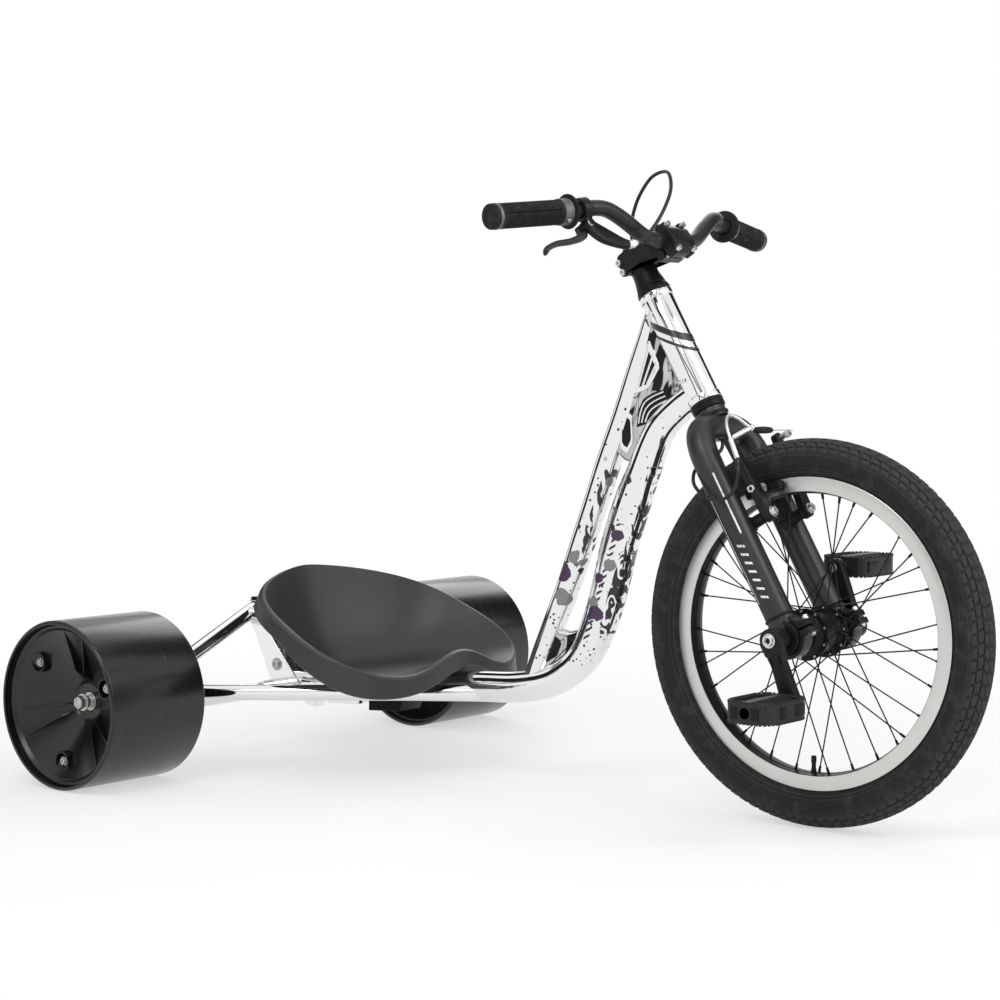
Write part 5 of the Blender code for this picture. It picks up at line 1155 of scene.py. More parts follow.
@dataclass
class Frame:
    """The plated frame: tubes, gussets, the cross tube with its end plates, and the seat's upright.

    A tube's route is (x from the rear axle, z, width in the middle plane, width across).
    """

    cross_height: float = 103.0
    slope: float = 0.0845
    tube_width: float = 46.0
    main_route: Rows = (
        (800, 580, 40, 40), (766, 558, 42, 42), (731.9, 524.8, 44, 45), (703, 464, 49, 46),
        (684.2, 420.1, 56, 46), (663.5, 363.1, 56, 46), (648.2, 305.7, 56, 46), (627.7, 245.4, 54, 46),
        (603, 201, 50, 46), (573.2, 174.4, 47, 46), (534.8, 154.5, 46, 46), (478.3, 142.5, 46, 46),
        (402.2, 137, 46, 46),
    )
    top_route: Rows = (
        (727, 704, 22, 24), (711, 655, 25, 28), (696, 613, 29, 30), (671.3, 544.4, 33, 32),
        (643.3, 477.9, 34, 32), (621.5, 420.7, 34, 32), (597.9, 361.4, 34, 32), (574.4, 302.1, 33, 32),
        (546.5, 241.9, 31, 32), (519.8, 182.4, 30, 32), (508, 150, 30, 32),
    )
    upper_gusset: Rows = (
        (725, 685), (756, 620), (764, 572), (739, 542), (715, 498), (698, 480), (680, 483), (670, 491),
        (660, 505), (688, 600),
    )
    lower_gusset: Rows = (
        (542, 238), (556, 229), (572, 227), (586, 231), (610, 242), (600, 200), (570, 174), (515, 156),
    )
    lip: Rows = ((538, 0, 225), (556, 0, 230.5), (576, 0, 229), (598, 0, 233))
    ridges: tuple[Rows, ...] = (
        ((722, 654), (742, 615), (722.5, 585), (696.5, 577), (704, 603)),
        ((674, 560), (694, 548), (696, 510), (686, 492), (674, 500)),
    )
    ribs: tuple[Rows, ...] = (
        ((703, 583), (722.5, 643)), ((711, 586), (730, 633)), ((719.5, 591), (736, 621)),
    )
    bows: tuple[Rows, ...] = (
        ((705, 536), (708.5, 552), (715, 565), (729, 574), (748, 581)),
        ((710.5, 537), (714, 550), (720.5, 560), (733, 568), (751, 575)),
        ((716.5, 538), (720, 547), (726, 555), (738, 562.5), (754, 569)),
    )
    # A dark sheet of painted shade on the upper gusset, under the bows.
    painted_shade_patch: Rows = (
        (701, 530), (704.5, 556), (712, 570), (728, 579), (756, 586), (757, 566), (740, 554), (726, 538),
    )
    # A dark sheet of painted shade in the lower gusset's window.
    painted_shade_window: Rows = ((543, 219), (556, 224), (565, 215), (557, 196), (536, 184), (537, 200))
    head_bottom: float = 352.0
    head_top: float = 525.0
    head_radius: float = 23.0
    seams: tuple[Rows, ...] = (
        ((0, -22.6, 388), (-12, -19.6, 392), (-20, -12, 394)),
        ((-4, -22.6, 500), (-14, -18.6, 494), (-21, -11, 488)),
    )
    end_plate: Rows = (
        (-16, 96), (-10, 88), (12, 88), (18, 96), (22, 120), (18, 144), (13, 160), (-13, 160), (-20, 144),
        (-22, 120),
    )
    cheek: Rows = (
        (-6, 100), (48, 106), (50, 116), (11, 160), (-30, 206), (-56, 230), (-76, 226), (-48, 190),
    )
    back: Rows = (
        (-5.8, 101), (-47.6, 190), (-75, 225.6), (-56.2, 229.4), (-51, 213), (-44.4, 194), (-2.4, 101),
    )
    under_bracket: Rows = ((200.8, 84), (264, 88.5), (281.8, 126), (200.8, 120))
    tab: Rows = ((48, 79), (74, 76), (74, 90), (48, 90))
    strip: Rows = ((99.8, 85), (168.9, 89), (168.9, 98), (99.8, 92))

    def tube_height(self, x: Any) -> Any:
        """The main tube's centre over points that far ahead of the rear axle."""
        return self.cross_height + self.slope * x

    def tube(self, route: Iterable[Any], power: float, count: int) -> Skin:
        """A frame tube: a superellipse of some power, so many times along its route."""
        rows = smooth_route(route, count)
        path = np.insert(rows[:, :2], 1, 0.0, axis=1)
        return sweep(path, rows[:, 2:], superellipse(48, power), up=(0.0, 1.0, 0.0))

    def front(self) -> None:
        """Builds the head tube, the two long tubes, and the gussets between them, with dark sheets of painted
        shade on the gussets.
        """
        piece = Piece("frame_tubes", "frame", "chrome_plate", ("front_frame",), REAR)
        straight = [(x, self.tube_height(x), self.tube_width, self.tube_width) for x in (300, 150, 6)]
        piece.add(SPLASHED, self.tube([*self.main_route, *straight], 2.1, 150))
        piece.add(SPLASHED, self.tube(self.top_route, 2.8, 90))
        for outline, half in ((self.upper_gusset, 12), (self.lower_gusset, 7)):
            piece.add(SHADE_PAINTED_CHROME, prism(fillet(outline, 6), -half, half, 3))
        for outline in self.ridges:
            rim = fillet(outline, 6, 5)
            inner = rim + 0.3 * (rim.mean(axis=0) - rim)
            for low, high in ((11.2, 14.2), (-14.2, -11.2)):
                piece.add(CHROME, band(rim, inner, low, high, 0.7, Plane.XZ))
            # The dark sheet inside each ridge's chrome rim, round its ribs, is painted shade.
            piece.add(DARK_PAINT, prism(inner, -12.8, 12.8, 0.4))
        # Dark sheets of painted shade through the gussets.
        for outline, half in ((self.painted_shade_patch, 12.6), (self.painted_shade_window, 7.6)):
            piece.add(DARK_PAINT, prism(fillet(outline, 3), -half, half, 0.4))
        for y in (-12.8, 12.8):
            piece.add(CHROME, *(rod((a, y, b), (c, y, d), 2.1, 1.2, 16) for (a, b), (c, d) in self.ribs))
            piece.add(CHROME, *(wire([(x, y, z) for x, z in bow], 30, 1.4, 12) for bow in self.bows))
        piece.add(CHROME, wire(self.lip, 30, 5.2))
        low, high, radius = self.head_bottom, self.head_top, self.head_radius
        piece.add(SPLASHED, ring((0, 0, low), (0, 0, high), radius, 19, 0.8, 72), axes=FORK)
        for z in (low, high - 9.5):
            piece.add(CHROME, ring((0, 0, z), (0, 0, z + 9.5), radius + 1.6, radius - 2, 1.2, 72), axes=FORK)
        for seam in self.seams:
            piece.add(CHROME, *(weld_bead(np.array(seam) * (1, s, 1)) for s in (1, -1)), axes=FORK)
        piece.build()

    def rear(self) -> None:
        """Builds the cross tube, end plates, stays, struts, and the folded upright behind the seat."""
        piece = Piece("frame_rear", "frame", "chrome_plate", ("rear_frame",), REAR)
        z = self.cross_height
        piece.add(CHROME, rod((0, -275, z), (0, 275, z), 13.5, 1, 48))
        for side in Side:
            s = side.value
            foot, run = np.array((0, s * 264, 147)), np.array((74, s * 264, 147 - 223.5))
            piece.add(
                CHROME,
                prism(fillet(self.end_plate, 5), s * 273.5, s * 279.5, 1.2),
                rod((4, s * 268, 121.5), (425, s * 1.2, 129), 12, 1, 40),
                wire([foot, (-37, s * 132, 185.3), (-74, 0, 223.5)], 40, 12.5, 40),
                round_weld((0, s * 273, z), (0, 1, 0), 14.2),
                round_weld((6, s * 266.5, 121.6), (396, -s * 251, 4.5), 12.6),
                round_weld(foot - unit(run) * 2, run, 13),
            )
        for low, high in ((-26.2, -23.2), (23.2, 26.2)):
            piece.add(CHROME, prism(fillet(self.cheek, 4, 5), low, high, 0.9))
        piece.add(CHROME, prism(self.back, -23.4, 23.4, 0.4))
        piece.build()

    def fittings(self) -> None:
        """Builds the small bolts, brackets and washers on the frame."""
        piece = Piece("frame_fittings", "frame", "zinc_steel", (), REAR)
        for s in (1, -1):
            face, crown, top = ((2.5, s * y, 140) for y in (26.2, 27.6, 31.7))
            piece.add(ZINC, rod(face, crown, 10.5, 0.4), hex_head(crown, top, 7.4))
        face, crown, top = ((-74, 0, z) for z in (235.5, 237.2, 242.4))
        piece.add(ZINC, rod(face, crown, 8, 0.4))
        piece.add(DARK_PAINT, hex_head(crown, top, 6.2), prism(self.under_bracket, -24.5, 24.5, 0.8))
        piece.add(CHROME, prism(self.tab, -10, 10, 0.8), prism(self.strip, -12, 12, 0.8))
        piece.build()

    def headset(self) -> None:
        """Builds the two bearing cups outside the head tube's ends."""
        cups = ("upper_headset_cup", "lower_headset_cup")
        piece = Piece("headset_cups", "frame", "satin_black_paint", cups, FORK)
        outer, bore = self.head_radius + 1.2, 15.1
        low = [(outer, -0.3), (outer, -4), (outer - 1, -4.8), (outer - 0.2, -5.8), (outer - 0.6, -12)]
        high = [(outer, 0.3), (outer, 5), (outer - 1, 5.8), (outer - 0.4, 6.6), (outer - 2.2, 11.7)]
        for profile, z in ((low, self.head_bottom), (high, self.head_top)):
            profile += [(bore, profile[-1][1]), (bore, profile[0][1])]
            piece.add(DARK_PAINT, lathe(profile, (0, 0, 1), 72, 0.6, (0, 0, z)))
        piece.build()

    def build(self) -> None:
        """Builds every piece of the frame."""
        for make in (self.front, self.rear, self.fittings, self.headset):
            make()


# Rear wheels


@dataclass
class RearWheel:
    """One rear wheel: a slick sleeve screwed round a ribbed core, turning on a fixed axle."""

    side: Side
    inner_y: float = 296.5
    outer_y: float = 475.5
    wall: float = 6.0
    face_inset: float = 10.0
    hub_depth: float = 63.0
    hub_radius: float = 18.5
    screw_circle: float = 87.0
    first_screw: float = 20.0
    ribs: int = 15

    def turned(self, profile: Rows, rounding: float, steps: int) -> Skin:
        """A turned surface about the axle, whose profile is (radius, distance from the middle plane)."""
        return lathe(profile, (0, self.side.value, 0), steps, rounding)

    def sleeve(self) -> None:
        """Builds the hard slick ring that touches the ground."""
        label, radius, inner = self.side.label, REAR_RADIUS, REAR_RADIUS - self.wall
        y0, y1 = self.inner_y, self.outer_y
        profile = ((inner, y0), (radius - 2.2, y0), (radius, y0 + 3), (radius, y1 - 3), (radius - 2.2, y1),
                   (inner + 0.6, y1), (inner, y1 - 1.2))
        slot, stands_for = "gloss_black_plastic", (f"rear_sleeve_{label}",)
        piece = Piece(f"sleeve_{label}", f"rear_wheel_{label}", slot, stands_for, REAR_AXLE)
        piece.add(SLEEVE_PLASTIC, self.turned(profile, 1.2, 144))
        piece.build()

    def radial(self, outline: Rows, angle: float, half: float) -> Skin:
        """A plate along a radius: corners (radius, distance from the middle plane), half as thick."""
        plate = prism(np.array(outline) * (1, self.side.value), -half, half, 0.6, Plane.XY, 2)
        return plate.placed(Axes(turn=angle))

    def core(self) -> None:
        """Builds the moulded core with its cone, ribs and screw bosses."""
        label, rim, face = self.side.label, REAR_RADIUS - self.wall - 0.3, self.outer_y - self.face_inset
        hub, radius, start = self.outer_y - self.hub_depth, self.hub_radius, self.inner_y + 10
        profile = (
            (rim, face), (rim, start), (rim - 4.5, start), (rim - 4.5, face - 62), (56, face - 72),
            (radius, face - 76), (radius, start + 8), (14.3, start + 8), (14.3, hub), (radius + 8, hub),
            (radius + 12, hub + 4), (rim - 8.5, face - 6), (rim - 4.5, face),
        )
        slot, stands_for = "matt_black_plastic", (f"rear_core_{label}",)
        piece = Piece(f"core_{label}", f"rear_wheel_{label}", slot, stands_for, REAR_AXLE)
        piece.add(CORE_PLASTIC, self.turned(profile, 1.2, 144))
        slope = ((30, hub + 1), (108, face - 7.5), (108, face - 10.5), (30, hub - 4))
        tall = ((30, hub + 1), (48, hub + 26), (109, face - 6), (109, face - 14), (30, hub - 4))
        for k in range(self.ribs):
            angle = 360 * (k + 0.5) / self.ribs + self.first_screw
            piece.add(CORE_PLASTIC, self.radial(slope, angle, 1.1))
        for k in range(3):
            angle = self.first_screw + 120 * k
            for turn in (49, 71):
                piece.add(CORE_PLASTIC, self.radial(tall, angle + turn, 1.4))
            self.boss(piece, angle, face)
        piece.build()

    def boss(self, piece: Piece, angle: float, face: float) -> None:
        """Adds one screw boss inside its horseshoe wall, with its silver screw.

        Args:
            piece: The core's piece.
            angle: The boss's angle about the axle, in degrees.
            face: The core's outer face.
        """
        s, (x, z) = self.side.value, polar(self.screw_circle, math.radians(angle))
        deep = {inset: (x, s * (face - inset), z) for inset in (45, 42, 16.3, 16, 15.2, 12.8, 11)}
        piece.add(CORE_PLASTIC, rod(deep[45], deep[16], 7.5, 0.8, 40, 6.8))
        piece.add(CORE_PLASTIC, ring(deep[42], deep[11], 15, 12.8, 0.6))
        for shift in (-13.9, 13.9):
            wall = box((25, 27, 2.2), (self.screw_circle + 12.5, s * (face - 26), shift), 0.6)
            piece.add(CORE_PLASTIC, wall.placed(Axes(turn=angle)))
        piece.add(ZINC, hex_head(deep[16], deep[12.8], 5.6), rod(deep[16.3], deep[15.2], 6.8, 0.2, 40))

    def axle_end(self) -> None:
        """Builds the fixed axle's shown end: washer, spacer sleeve and nut."""
        s, label, start = self.side.value, self.side.label, self.outer_y - self.hub_depth
        nodes = tuple(f"{word}_{label}" for word in ("rear_axle", "axle_spacer", "axle_nut"))
        piece = Piece(f"axle_end_{label}", "frame", "zinc_steel", nodes, REAR_AXLE)
        bar = ((0.1, 273.8), (6, 273.8), (6, 279.5), (10.5, 279.8), (10.5, 314), (6, 314.5), (6, 434.2),
               (5.2, 435), (0.1, 435))
        nut = ((10.5, start + 14.6), (10.5, start + 20.6), (9.4, start + 22.6), (6.6, start + 22.6),
               (6.3, start + 21.6), (6.3, start + 14.6))
        y = {out: (0, s * (start + out), 0) for out in (0.3, 12, 14, 14.2)}
        piece.add(ZINC, self.turned(bar, 0, 48))
        piece.add(SILVER, ring(y[0.3], y[14], 9, 6.3, 0.8), ring(y[12], y[14.2], 12.5, 6.3, 0.4))
        piece.add(ZINC, self.turned(nut, 0, 6))
        piece.build()

    def build(self) -> None:
        """Builds every piece of the wheel."""
        for make in (self.sleeve, self.core, self.axle_end):
            make()


# Seat


@dataclass
class Seat:
    """The moulded bucket: a crest with a raised pommel, a bowl under it and a rolled-down lip.

    The crest at an angle a is x = centre + half length * c, where c = sign(cos a) |cos a|^0.7, and
    y = half width * (1 + 0.135 c) * sign(sin a) |sin a|^p, where p goes from 1.57 at the back to
    0.69 at the front, and the part of p above 1 is rounded off near sin a = 0. Inside it the bowl
    falls towards the deepest point: height = floor + (crest - floor) * share^5.
    """

    frame: Frame
    wall: float = 4.5
    centre_x: float = 205.5
    half_length: float = 160.9
    half_width: float = 204.4
    front_height: float = 153.1
    back_height: float = 301.2
    pommel_rise: float = 37.2
    pommel_width: float = 78.0
    back_power: float = 1.57
    front_power: float = 0.69
    roll: float = 10.5
    roll_drop: float = 7.0
    lip_out: float = 17.8
    lip_drop: float = 22.4
    corner_drop: float = 36.0
    around: int = 200
    inwards: int = 56

    def floor(self, x: Array) -> Array:
        """The bowl's inner height where its wall rests on the main tube."""
        return self.frame.tube_height(x) + self.frame.tube_width / 2 + self.wall + 0.6

    def crest(self, angle: Array) -> Array:
        """The line along the top of the bowl's wall.

        Args:
            angle: Angles round the seat, from the front.

        Returns:
            Its points, from the rear axle.
        """
        cosine, sine = np.cos(angle), np.sin(angle)
        ahead = np.sign(cosine) * np.abs(cosine) ** 0.7
        share = (ahead + 1) / 2
        power = self.back_power + (self.front_power - self.back_power) * share
        blunt = ((sine**2 + 0.09) / 1.09) ** (np.maximum(power - 1, 0) / 2)
        across = np.sign(sine) * np.abs(sine) ** np.minimum(power, 1) * blunt
        y = self.half_width * (1 + 0.135 * ahead) * across
        z = self.back_height + (self.front_height - self.back_height) * share**1.065
        z += self.pommel_rise * np.exp(-((y / self.pommel_width) ** 2)) * np.maximum(ahead, 0) ** 3
        return np.stack([self.centre_x + self.half_length * ahead, y, z], 1)

    def shell(self) -> Skin:
        """The seat's closed shell: the bowl, the lip's roll, and the same surfaces a wall below.

        Returns:
            The shell, from the rear axle.
        """
        fine = np.linspace(0, 2 * math.pi, 4001)
        along = lengths(self.crest(fine))
        angle = np.interp(np.linspace(0, along[-1], self.around, endpoint=False), along, fine)
        crest = self.crest(angle)
        share = np.linspace(0.004, 1.0, self.inwards)[:, None, None] ** 0.6
        deepest = np.array([self.centre_x, 0.0, 0.0])
        bowl = deepest + (crest - deepest) * share
        bowl[..., 2] = self.floor(bowl[..., 0]) + (crest[:, 2] - self.floor(crest[:, 0])) * share[..., 0] ** 5
        out = polar(1.0, angle) / (self.half_length, self.half_width)
        out = unit(np.insert(out, 2, 0.0, axis=1))
        turn = np.linspace(0, 1, 14)[1:, None, None]
        curl, fall = np.minimum(turn / 0.6, 1) * math.pi / 2, np.maximum(turn - 0.6, 0) / 0.4
        ahead, beside = np.maximum(np.cos(angle), 0)[:, None], np.sin(angle)[:, None] ** 2
        across = np.sin(curl) * self.roll + (self.lip_out - self.roll) * fall
        low = self.lip_drop + self.corner_drop * ahead**0.5 * beside
        drop = (1 - np.cos(curl)) * self.roll_drop + (low - self.roll_drop) * fall
        lip = crest + out * across * (1 - 2.1 * ahead * beside) - np.array([0.0, 0.0, 1.0]) * drop
        upper = np.concatenate([bowl, lip])
        down, round_it = np.gradient(upper, axis=0), np.roll(upper, -1, 1) - np.roll(upper, 1, 1)
        normal = unit(np.cross(down, round_it))
        normal *= np.sign(normal[3, :, 2].mean())
        lower = upper - normal * self.wall
        edge = (upper[-1:] + lower[-1:]) / 2 + unit(down[-1:]) * self.wall * 0.35
        return grid_skin(np.concatenate([upper, edge, lower[::-1]]))

    def build(self) -> None:
        """Builds the seat."""
        piece = Piece("seat_bucket", "frame", "matt_black_plastic", ("seat",), REAR)
        piece.add(SEAT_PLASTIC, self.shell())
        piece.build()


# Front wheel


@dataclass
class FrontWheel:
    """The pedalled wheel: a block-tread tyre, a rim with bright braking tracks, spokes and a hub.

    Each band of tread is (start, end, lean of its cuts, their shift in blocks), in angles across.
    """

    section: float = 27.0
    rim_radius: float = 209.5
    rim_inner: float = 186.5
    track: float = 20.0
    half_width: float = 14.5
    flange_radius: float = 35.0
    flange_y: float = 24.0
    spokes: int = 36
    spoke_radius: float = 1.0
    spoke_cross: float = 58.0
    rings: int = 1008
    blocks: int = 96
    groove: float = 3.1
    tread_bands: Rows = (
        (0.0, 0.27, 0.9, 0.0), (0.27, 0.6, -1.3, 0.35), (0.6, 0.93, 0.7, 0.75), (0.93, 1.16, 0.3, 0.15),
    )

    def tread(self, round_wheel: Array, across: Array) -> Array:
        """How deep the tread is cut at an angle round the wheel and an angle across the tyre.

        Bands of blocks lie on each side of the middle: their edges are lines of constant angle
        across, and cross cuts that lean one way in each band, half a block out of step.

        Args:
            round_wheel: Angles about the axle.
            across: Angles from the crown towards each wall.

        Returns:
            The depth, 0 on a block's face.
        """
        reach, hand = np.abs(across), np.sign(across)
        depth = np.zeros(np.broadcast(round_wheel, across).shape)
        for low, high, lean, shift in self.tread_bands:
            inside = (reach >= low) & (reach < high)
            turns = round_wheel * self.blocks / (2 * math.pi)
            step = (turns + shift + lean * (reach - low) + 0.25 * hand) % 1.0
            cut = np.clip(1.0 - np.minimum(step, 1.0 - step) / 0.17, 0.0, 1.0)
            near = np.minimum(reach - low, high - reach) if low else high - reach
            edge = np.clip(1.0 - near / 0.035, 0.0, 1.0)
            depth = np.where(inside, np.maximum(cut, edge * 0.85), depth)
        fade, shoulder = np.clip((1.18 - reach) / 0.06, 0.0, 1.0), np.clip((reach - 1.16) / 0.04, 0.0, 1.0)
        return self.groove * np.minimum(1.0, depth * 1.35) * fade + 0.9 * shoulder

    def tyre(self) -> None:
        """Builds the tyre: its section circle carried round the crown, less the tread's depth."""
        wall, edge = math.radians(122), 1.2
        outer = np.linspace(edge, wall, 9)[1:]
        across = np.concatenate([-outer[::-1], np.linspace(-edge, edge, 61), outer])
        angle = angles(self.rings)[:, None]
        section = polar(self.section - self.tread(angle, across), across)
        section[..., 0] += FRONT_RADIUS - self.section
        edge, wide = self.rim_radius, self.half_width
        half = [(edge + 0.6, wide - 2.2), (edge - 5.2, wide - 2.5)]
        closing = np.broadcast_to(mirrored(half), (self.rings, 4, 2))
        radius, width = np.moveaxis(np.concatenate([section, closing], 1), 2, 0)
        grid = np.stack([radius * np.cos(angle), width, radius * np.sin(angle)], 2)
        piece = Piece("tyre", "front_wheel", "tyre_rubber", ("front_tyre",), FRONT_AXLE, sharp=60.0)
        piece.add(TYRE, grid_skin(grid, looped=True))
        piece.build()

    def rim(self) -> None:
        """Builds the rim: a black double wall, with a bright machined track let into each side."""
        inner, outer, half = self.rim_inner, self.rim_radius, self.half_width
        foot = outer - self.track
        side = [(inner, 4.5), (inner + 1, 6.2), (foot - 0.4, half - 0.6), (outer, half - 0.4),
                (outer, half - 2.2), (outer - 5.5, half - 2.2)]
        track = [(foot, half - 1.2), (foot + 0.4, half), (outer - 1, half), (outer - 0.3, half - 0.4),
                 (outer - 0.3, half - 1.2)]
        piece = Piece("rim", "front_wheel", "machined_alloy", ("front_rim",), FRONT_AXLE)
        piece.add(DARK_PAINT, lathe(mirrored(side), (0, 1, 0), 220, 0.6))
        for s in (-1, 1):
            piece.add(TRACK, lathe(np.array(track) * (1, s), (0, 1, 0), 220))
        piece.build()

    def spoke_ends(self) -> tuple[Array, Array]:
        """Each spoke's start at a flange and end at the rim, about the axle.

        Returns:
            Two arrays of shape (spokes, 3).
        """
        k, pairs = np.arange(self.spokes), self.spokes // 2
        side, lead = np.where(k % 2, 1, -1), np.where((k // 2) % 2, 1, -1)
        angle = 2 * math.pi * (k // 2) / pairs + np.where(side > 0, math.pi / pairs, 0.0)
        near = polar(self.flange_radius - 3.5, angle)
        far = polar(self.rim_inner + 1, angle + lead * math.radians(self.spoke_cross))
        start = np.stack([near[:, 0], side * (self.flange_y + lead * 1.9), near[:, 1]], 1)
        return start, np.stack([far[:, 0], side * (3.8 + lead * 0.8), far[:, 1]], 1)

    def lacing(self) -> None:
        """Builds the hub shell with its flanges, every spoke, and a nipple on each."""
        outer, inner, flange = self.flange_y + 1.6, self.flange_y - 1.6, self.flange_radius
        half = [(21, 42), (21, outer + 6), (23.5, outer + 4), (28, outer), (flange, outer), (flange, inner),
                (29, inner), (27, inner - 6)]
        piece = Piece("hub_and_spokes", "front_wheel", "satin_black_paint", ("front_hub",), FRONT_AXLE)
        piece.add(DARK_PAINT, lathe([*mirrored(half), (9.3, -42), (9.3, 42)], (0, 1, 0), 96, 1))
        for start, end in zip(*self.spoke_ends()):
            run = unit(end - start)
            piece.add(DARK_PAINT, rod(start, end, self.spoke_radius, 0.2, 8))
            piece.add(DARK_PAINT, rod(end - run * 9, end + run * 1.5, 1.7, 0.3, 10, 2.1))
            piece.add(ZINC, rod(start - (0, 1.2, 0), start + (0, 1.2, 0), 1.9, 0.4, 10))
        piece.build()

    def valve(self) -> None:
        """Builds the valve stem with its cap, pointing in from the rim's lowest point."""
        stem = ((0.1, -1), (4.2, -1), (3.8, 3), (3, 5), (3, 12), (3.6, 12.5), (3.6, 20.5), (2.8, 22),
                (0.1, 22))
        piece = Piece("tyre_valve", "front_wheel", "satin_black_paint", ("valve",), FRONT_AXLE)
        piece.add(DARK_PAINT, lathe(stem, (0, 0, 1), 32, 0.4, (0, 0, -self.rim_inner)))
        piece.build()

    def build(self) -> None:
        """Builds every piece of the wheel."""
        for make in (self.tyre, self.rim, self.lacing, self.valve):
            make()


# Fork


@dataclass
class Fork:
    """The fork: one bent tube for both legs, a crown race, a steerer, brake bosses and clamps."""

    leg_y: float = 64.0
    leg_radius: float = 19.5
    clamp_width: float = 22.0
    clamp_radius: float = 28.8
    clamp_bore: float = 22.8
    housing_radius: float = 22.5
    shoulder: Rows = ((0, 64, 250), (0, 61, 280), (0, 49, 303), (0, 26, 313))

    def half_clamp(self, y: float, low: bool) -> Skin:
        """Half of a clamp: a half circle with an ear at each end, closed round a bore.

        Args:
            y: The middle of its width.
            low: Whether it is the lower half.

        Returns:
            The half clamp, in the fork's axes.
        """
        turn = np.linspace(0.11, math.pi - 0.11, 28)
        outer, inner = polar(self.clamp_radius, turn), polar(self.clamp_bore, turn[::-1])
        bore, ear, lift, top = self.clamp_bore, self.clamp_radius + 11.5, 1.2, 9.8
        outer = outer[outer[:, 1] > 10.5]
        right, left = [(bore, lift), (ear, lift), (ear, top)], [(-ear, top), (-ear, lift), (-bore, lift)]
        outline = np.vstack([right, outer, left, inner[1:-1]]) * (1, -1 if low else 1)
        return prism(fillet(outline, 1.6, 2), y - self.clamp_width / 2, y + self.clamp_width / 2, 1)

    def body(self) -> None:
        """Builds everything welded into the fork."""
        piece = Piece("fork_body", "steering", "satin_black_paint", ("fork",), FORK)
        left = np.array(self.shoulder)
        bend = smooth_route([*left * (1, -1, 1), (0, 0, 313), *left[::-1]], 64)
        leg = np.linspace((0, -self.leg_y, 10), (0, -self.leg_y, 244), 24)
        path = np.vstack([leg, bend, (leg * (1, -1, 1))[::-1]])
        race = ((0.1, 325), (20.6, 325), (21.4, 330), (21.5, 339.7), (0.1, 339.7))
        piece.add(FORK_PAINT, sweep(path, self.leg_radius, superellipse(48), up=(1.0, 0.0, 0.0)))
        piece.add(FORK_PAINT, lathe(race, (0, 0, 1), 64, 0.8))
        piece.add(PAINT, ring((0, 0, 320), (0, 0, 606), 14.3, 11.9))
        for s in (-1, 1):
            foot, weld, step, collar, tip = ((x, s * 47, 160) for x in (0, 12, 30, 34, 48.3))
            piece.add(PAINT, self.half_clamp(s * self.leg_y, low=False), rod(foot, collar, 9, 0.8, 40, 8))
            piece.add(ZINC, rod(step, tip, 4.5, 0.4))
            piece.add(PAINT, round_weld(weld, (1, 0, 0), 9.2, 1.8))
            piece.add(PAINT, round_weld((0, s * self.leg_y, 29), (0, 0, 1), 19.3, 2.2))
        piece.add(PAINT, round_weld((0, 0, 330), (0, 0, 1), 21.2, 2.4))
        piece.build()

    def end(self, side: Side) -> None:
        """Builds a fork end's bearing housing and the clamp half that holds it, with their bolts.

        Args:
            side: Which end.
        """
        s, label, radius = side.value, side.label, self.housing_radius
        nodes = (f"axle_housing_{label}", f"clamp_cap_{label}")
        piece = Piece(f"fork_end_{label}", "steering", "satin_black_paint", nodes, FORK)
        shell = ((radius - 1, 81), (radius, 80), (radius, 48), (radius - 1, 47), (16.3, 47), (16.3, 78),
                 (9.3, 78), (9.3, 81))
        piece.add(DARK_PAINT, lathe(shell, (0, s, 0), 72, 0.6))
        piece.add(BAR_PAINT, self.half_clamp(s * self.leg_y, low=True))
        for x in (-34.6, 34.6):
            spots = [(x, s * self.leg_y, z) for z in (9.8, 15.8, -9.8, -13.2)]
            piece.add(SILVER, cap_head(*spots[:2], 4.4))
            piece.add(ZINC, hex_head(*spots[2:], 4.4, 0.4))
        piece.build()

    def build(self) -> None:
        """Builds the fork and both its ends."""
        self.body()
        for side in Side:
            self.end(side)


# Drive


